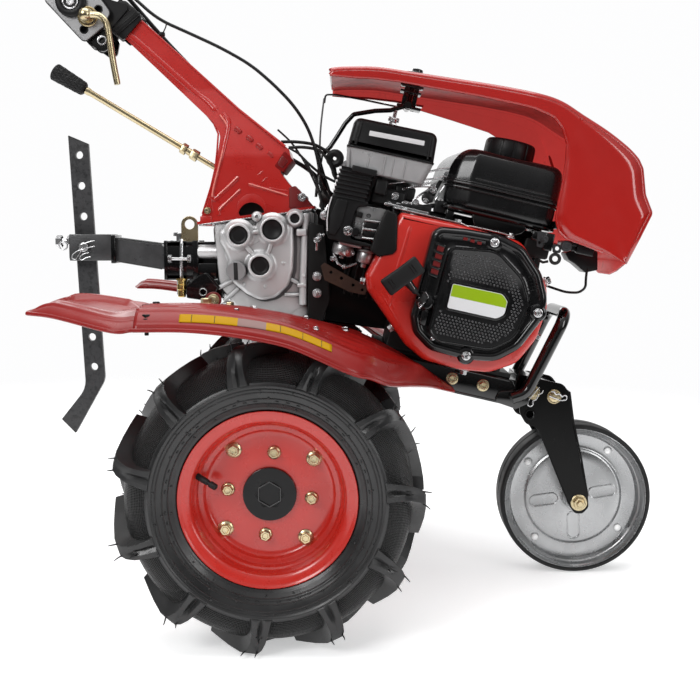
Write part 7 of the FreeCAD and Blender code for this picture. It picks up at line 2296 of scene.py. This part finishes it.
tube(k, [(FT0[0], -60, FT0[1]), (FT0[0], 60, FT0[1])], 6.9, 20)
for s in (-1, 1):
    lathe(k, [(0, 0), (13, 0), (13, 1.6), (12, 2.2), (0, 2.2)], (FT0[0], s * 51.1, FT0[1]), (0, s, 0), 36)
    hexa(k, (FT0[0], s * 53.2, FT0[1]), (0, s, 0), 17, 7, 0, turn=0.3)
lathe(k, [(4.6, 0), (4.6, 3.4), (3.8, 4.4), (0, 4.4)], (FT0[0], -60, FT0[1]), (0, -1, 0), 20)
ob = make("wheel_axle_bolt", k, [M_ZINC], "front_leg", angle=30)
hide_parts("front_axle")


def pin(k, p, y0, y1, r, hr):
    """Headed pin with washer."""
    s = -1 if y1 < y0 else 1
    tube(k, [(p[0], y0, p[1]), (p[0], y1, p[1])], r, 18)
    lathe(k, [(0, 0), (hr + 2.6, 0), (hr + 2.6, 1.2), (hr + 1.8, 1.8), (0, 1.8)], (p[0], s * 51.2, p[1]), (0, s, 0), 30)
    lathe(k, [(hr - 3, 0), (hr, 0.6), (hr, 2.6), (hr - 1.0, 3.8), (hr - 3, 4.2), (3.0, 4.2), (2.4, 3.4), (0, 3.4)], (p[0], s * 53, p[1]), (0, s, 0), 30)


k = Kit()
pin(k, P1_, 50, -57, 5.9, 8.2)
tube(k, [(P1_[0], -50, P1_[1]), (P1_[0], 54, P1_[1])], 5.9, 18)
pin(k, P1_, -50, 55, 5.9, 8.2)
ob = make("pivot_pin", k, [M_ZINC], "chassis", angle=34)
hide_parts("leg_pivot_pin")
k = Kit()
pin(k, P2_, -44, -55, 5.9, 8.6)
pin(k, P2_, 44, 55, 5.9, 8.6)
ob = make("lock_pin", k, [M_ZINC], "front_leg", angle=34)
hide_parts("leg_lock_pin")


def rclip(k, p, y, turn, sc=1.0):
    """Spring R-clip through a pin, lying beside it."""
    M = Matrix.Translation((p[0], y, p[1])) @ Matrix.Rotation(turn, 4, 'Y')
    a = spline([(13 * sc, 0, 1), (6 * sc, 0, 1.2), (0, 0, 1.2), (-9 * sc, 0, 1.4), (-14 * sc, 0, 0.4)], 5)
    tube(k, a, 1.1, 8, M=M)
    b = spline([(-14 * sc, 0, 0.4), (-19.5 * sc, -0.6, -2.5), (-18.5 * sc, -1.0, -7.5), (-13 * sc, -1.2, -8.0), (-10 * sc, -1.2, -4.6), (-5 * sc, -1.2, -7.2),
                (0, -1.2, -6.0), (3.5 * sc, -1.2, -5.2), (8 * sc, -1.2, -7.8), (13 * sc, -1.2, -6.6)], 5)
    tube(k, b, 1.1, 8, M=M)


k = Kit()
rclip(k, (390.6, 294.0), -60.5, D(-52))
make("pivot_clip", k, [M_STEEL], "chassis", angle=60)
k = Kit()
rclip(k, (424.4, 287.8), -58.5, D(200), 0.8)
make("lock_clip", k, [M_STEEL], "front_leg", angle=60)

# ------------------------------------------------------- muffler, far side
k = Kit()
mo = rnd([(-14, 392), (-14, 470), (108, 470), (108, 392)], 16, 7)
slab(k, mo, [(34, 8), (35, 4), (38, 1), (43, 0), (119, 0), (124, 1), (127, 4), (128, 8)], 0)
lathe(k, [(11.6, 0), (14, 0.6), (14, 22), (12.8, 24), (11.2, 24), (11.2, 2)], (-10, 80, 400), (-1, 0, 0), 32, 1)
for i in range(7):
    for j in range(3):
        cx, cz = 8 + i * 14, 412 + j * 19
        rbox(k, (cx, 128.2, cz), (4.6, 1.0, 6.2), 0.9, 1, None, 2)
slab(k, rnd([(0, 398), (0, 464), (95, 464), (95, 398)], 10, 6), [(127, 0), (129.4, 0), (130, 1)], 0)
for (x, z) in ((6, 404), (6, 458), (89, 404), (89, 458)):
    bolt(k, (x, 130, z), (0, 1, 0), 8, 4, m=2)
rbox(k, (112, 60, 384), (12, 16, 14), 3, 1)
ob = make("muffler_box", k, [M_MUFF, M_DARKMET, M_STEEL], "chassis", ET, angle=34)
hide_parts("muffler")

# ----------------------------------------------------------- belt guard
bg = rnd([(-125, 215), (-125, 385), (250, 378), (300, 345), (300, 255), (250, 222), (20, 200)], [60, 60, 40, 50, 50, 40, 40], 9)
k = Kit()
pl = even(bg, 200)
rg = [[(q[0], h, q[1]) for q in inset(pl, i_)] for (h, i_) in ((118.8, 2.4), (118.8, 0), (166, 0), (170, 0.8), (173.4, 3), (175.4, 6.4), (176, 10.5),
                                                              (175.6, 14), (174.2, 15.6), (174.0, 18))]
rings_mesh(k, rg)
o = len(k.v)
k.v += rg[-1]
k.f.append(tuple(range(o, o + len(pl))))
k.m.append(0)
rg = [[(q[0], h, q[1]) for q in inset(pl, i_)] for (h, i_) in ((118.8, 2.4), (166, 2.4), (171, 5), (172.4, 18))]
rings_mesh(k, rg)
for c_, r_ in (((222, 300), 40), ((-40, 296), 56)):
    for rr_ in (r_, r_ * 0.6):
        ringwire(k, (c_[0], 174, c_[1]), (0, 1, 0), rr_, 2.2, 0, 56)
for i in range(9):
    x = 40 + i * 15
    tube(k, [(x, 174.2, 268), (x + 4, 174.6, 300), (x, 174.2, 334)], 1.8, 8)
prism(k, pl, PY, 118.8, 120.6, 0)
b1_, b2_ = lvp(-11, 543), lvp(-30, 491)
for p in (b1_, b2_, (270, 300)):
    tube(k, [(p[0], 58, p[1]), (p[0], 119, p[1])], 9, 24)
ob = make("belt_guard_shell", k, [M_BLACK], "chassis", ET, angle=34)
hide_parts("belt_guard")
k = Kit()
for (x, z) in ((-100, 240), (-100, 360), (120, 370), (120, 222), (275, 300), (-11, 300)):
    bolt(k, (x, 175.4, z), (0, 1, 0), 10, 5.5, m=0)
make("belt_guard_bolts", k, [M_ZINC], "chassis", ET, angle=30)

# ----------------------------------------------------- handlebar and grips
k = Kit()
for s in (-1, 1):
    y = s * 300
    seg_ = 40
    rg = []
    nR = 66
    for i in range(nR + 1):
        t = i / nR
        x = -775 - 130 * t
        r = 17.2
        if i < 4:
            r = 14.6 + [0, 3.6, 4.4, 4.0][i]
        elif i > nR - 4:
            r = 17.2 - [4.2, 2.0, 0.6][nR - i - 1 if nR - i - 1 >= 0 else 0] if i < nR else 12
        else:
            r = 16.4 + (1.1 if (i // 2) % 2 else 0)
        rg.append([(x, y + r * math.cos(2 * math.pi * j / seg_), 1052 + r * math.sin(2 * math.pi * j / seg_)) for j in range(seg_)])
    rings_mesh(k, rg)
    end_caps(k, rg)
ob = make("grip_sleeves", k, [M_RUBBER], "handlebar", angle=24)
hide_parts("handle_grips")
k = Kit()
for s in (-1, 1):
    y = s * 300
    pts = [(-738, y, 1052 - 26), (-752, y, 1052 - 33), (-800, y, 1052 - 42), (-850, y, 1052 - 48), (-888, y, 1052 - 44), (-900, y, 1052 - 38)]
    tube(k, spline(pts, 6), [4.2] * 30 + [5.2], 14, 0, flat=1.7)
    lathe(k, [(14.2, -9), (19, -8), (19.4, -6), (19.4, 6), (19, 8), (14.2, 9)], (-737, y, 1052), (1, 0, 0), 32, 1, closed=True)
    rbox(k, (-737, y, 1052 - 26), (9, 8, 10), 2.4, 1)
    lathe(k, [(0, 0), (4.6, 0), (4.6, 3), (3.6, 4), (0, 4)], (-740, y + s * 8, 1052 - 26), (0, s, 0), 20, 2)
ob = make("lever_blades", k, [M_BLACK, M_PLASTIC, M_STEEL], "handlebar", angle=34)
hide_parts("hand_levers")
k = Kit()
for s in (-1, 1):
    bolt(k, (-470, s * 152, 1010), (0, s, 0), 11, 6)
    for x_ in (-640, -720):
        p = Vector((x_, s * (292 if x_ == -640 else 300), 1050 if x_ == -640 else 1052))
        lathe(k, [(14.0, -2.4), (15.2, -2.2), (15.2, 2.2), (14.0, 2.4)], p, (1, -0.2 * s if x_ == -640 else 0, 0), 30, 1, closed=True)
make("bar_fittings", k, [M_STEEL, M_PLASTIC], "handlebar", angle=30)

# the short spans of the two control cables over the handlebar's pivot
for nm, a, b, r in (("throttle_span", (-250, -21, 919), (-272, -20, 941), 2.6), ("clutch_span", (-250, 24, 917), (-272, 22, 939), 3.6)):
    k = Kit()
    a, b = Vector(a), Vector(b)
    da = Vector((-0.80, 0.03, 0.62)).normalized()
    P = [a - da * 9, a + (b - a) * 0.0, a + (b - a) * 0.35, a + (b - a) * 0.7, b, b + (b - a).normalized() * 9]
    tube(k, spline(P, 8), r, 14)
    ob = make(nm, k, [M_CABLE], None, MT, angle=60)
    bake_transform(ob)


# --------------------------------------------------- camera, floor and light
cam = bpy.data.cameras.new('camera')
cam.lens = 53.70
cam.sensor_width = 36.0
cam.clip_start, cam.clip_end = 0.05, 100
co = bpy.data.objects.new('camera', cam)
bpy.context.scene.collection.objects.link(co)
co.location = (AX + 0.1035, -1.6608, 0.5358)
co.rotation_euler = (D(90 - 5.93), 0, D(-0.055))
bpy.context.scene.camera = co

fm, nt, b = base_nodes('pale_floor')
tc = nt.nodes.new('ShaderNodeTexCoord')
c = mixc(nt, ramp(nt, noise(nt, tc.outputs['Object'], 1.5, 3), 0.3, 0.7, 0, 1), (0.86, 0.86, 0.865, 1), (0.90, 0.90, 0.90, 1))
nt.links.new(c, b.inputs['Base Color'])
b.inputs['Emission Color'].default_value = (0.97, 0.975, 0.98, 1)
b.inputs['Emission Strength'].default_value = 0.46
b.inputs['Roughness'].default_value = 0.85
b.inputs['Specular IOR Level'].default_value = 0.1
# the floor fades into the pale backdrop with distance from the machine
ln = nt.nodes.new('ShaderNodeVectorMath')
ln.operation = 'LENGTH'
nt.links.new(tc.outputs['Object'], ln.inputs[0])
nt.links.new(ramp(nt, ln.outputs['Value'], 0.9, 2.5, 1, 0, 'SMOOTHSTEP'), b.inputs['Alpha'])
k = Kit()
R = 2.6
k.add([(R * math.cos(D(a)), R * math.sin(D(a)), -0.0005) for a in range(0, 360, 5)], [tuple(range(72))])
fme = bpy.data.meshes.new('floor')
fme.from_pydata(k.v, [], k.f)
fme.materials.append(fm)
fo = bpy.data.objects.new('floor', fme)
bpy.context.scene.collection.objects.link(fo)

w = bpy.data.worlds.new('studio')
bpy.context.scene.world = w
w.use_nodes = True
wt = w.node_tree
wt.nodes.clear()
wo = wt.nodes.new('ShaderNodeOutputWorld')
bg = wt.nodes.new('ShaderNodeBackground')
bg2 = wt.nodes.new('ShaderNodeBackground')
mx = wt.nodes.new('ShaderNodeMixShader')
lp = wt.nodes.new('ShaderNodeLightPath')
tcw = wt.nodes.new('ShaderNodeTexCoord')
sp = wt.nodes.new('ShaderNodeSeparateXYZ')
wt.links.new(tcw.outputs['Generated'], sp.inputs[0])
mr = wt.nodes.new('ShaderNodeMapRange')
mr.inputs['From Min'].default_value = -0.1
mr.inputs['From Max'].default_value = 0.9
mr.inputs['To Min'].default_value = 0.035
mr.inputs['To Max'].default_value = 0.60
wt.links.new(sp.outputs[2], mr.inputs['Value'])
# the pale backdrop behind the machine, which its glossy parts mirror
mr2 = wt.nodes.new('ShaderNodeMapRange')
mr2.interpolation_type = 'SMOOTHSTEP'
mr2.inputs['From Min'].default_value = 0.10
mr2.inputs['From Max'].default_value = 0.75
mr2.inputs['To Min'].default_value = 0.0
mr2.inputs['To Max'].default_value = 0.80
wt.links.new(sp.outputs[1], mr2.inputs['Value'])
mxa = wt.nodes.new('ShaderNodeMath')
mxa.operation = 'MAXIMUM'
wt.links.new(mr.outputs[0], mxa.inputs[0])
wt.links.new(mr2.outputs[0], mxa.inputs[1])
wt.links.new(mxa.outputs[0], bg.inputs['Strength'])
bg.inputs['Color'].default_value = (1, 1, 1, 1)
bg2.inputs['Color'].default_value = (0.985, 0.985, 0.99, 1)
bg2.inputs['Strength'].default_value = 1.0
wt.links.new(lp.outputs['Is Camera Ray'], mx.inputs[0])
wt.links.new(bg.outputs[0], mx.inputs[1])
wt.links.new(bg2.outputs[0], mx.inputs[2])
wt.links.new(mx.outputs[0], wo.inputs[0])


def area(name, loc, target, sx, sy, power):
    l = bpy.data.lights.new(name, 'AREA')
    l.shape = 'RECTANGLE'
    l.size, l.size_y, l.energy = sx, sy, power
    o = bpy.data.objects.new(name, l)
    bpy.context.scene.collection.objects.link(o)
    o.location = loc
    d = Vector(target) - Vector(loc)
    o.rotation_euler = d.to_track_quat('-Z', 'Y').to_euler()
    return o


area('key', (-1.7, -2.6, 2.3), (0, 0, 0.5), 1.3, 1.3, 50)
area('fill', (2.6, -2.3, 1.3), (0.1, 0, 0.4), 0.9, 1.9, 24)
area('top', (0.1, -0.1, 3.0), (0.1, 0, 0), 2.6, 2.2, 48)
area('back', (-0.6, 2.8, 2.2), (0, 0, 0.5), 2.6, 1.4, 22)

sc = bpy.context.scene
sc.view_settings.view_transform = 'Standard'
sc.view_settings.look = 'None'
sc.view_settings.exposure = 0.0
sc.cycles.max_bounces = 8
sc.cycles.use_denoising = True
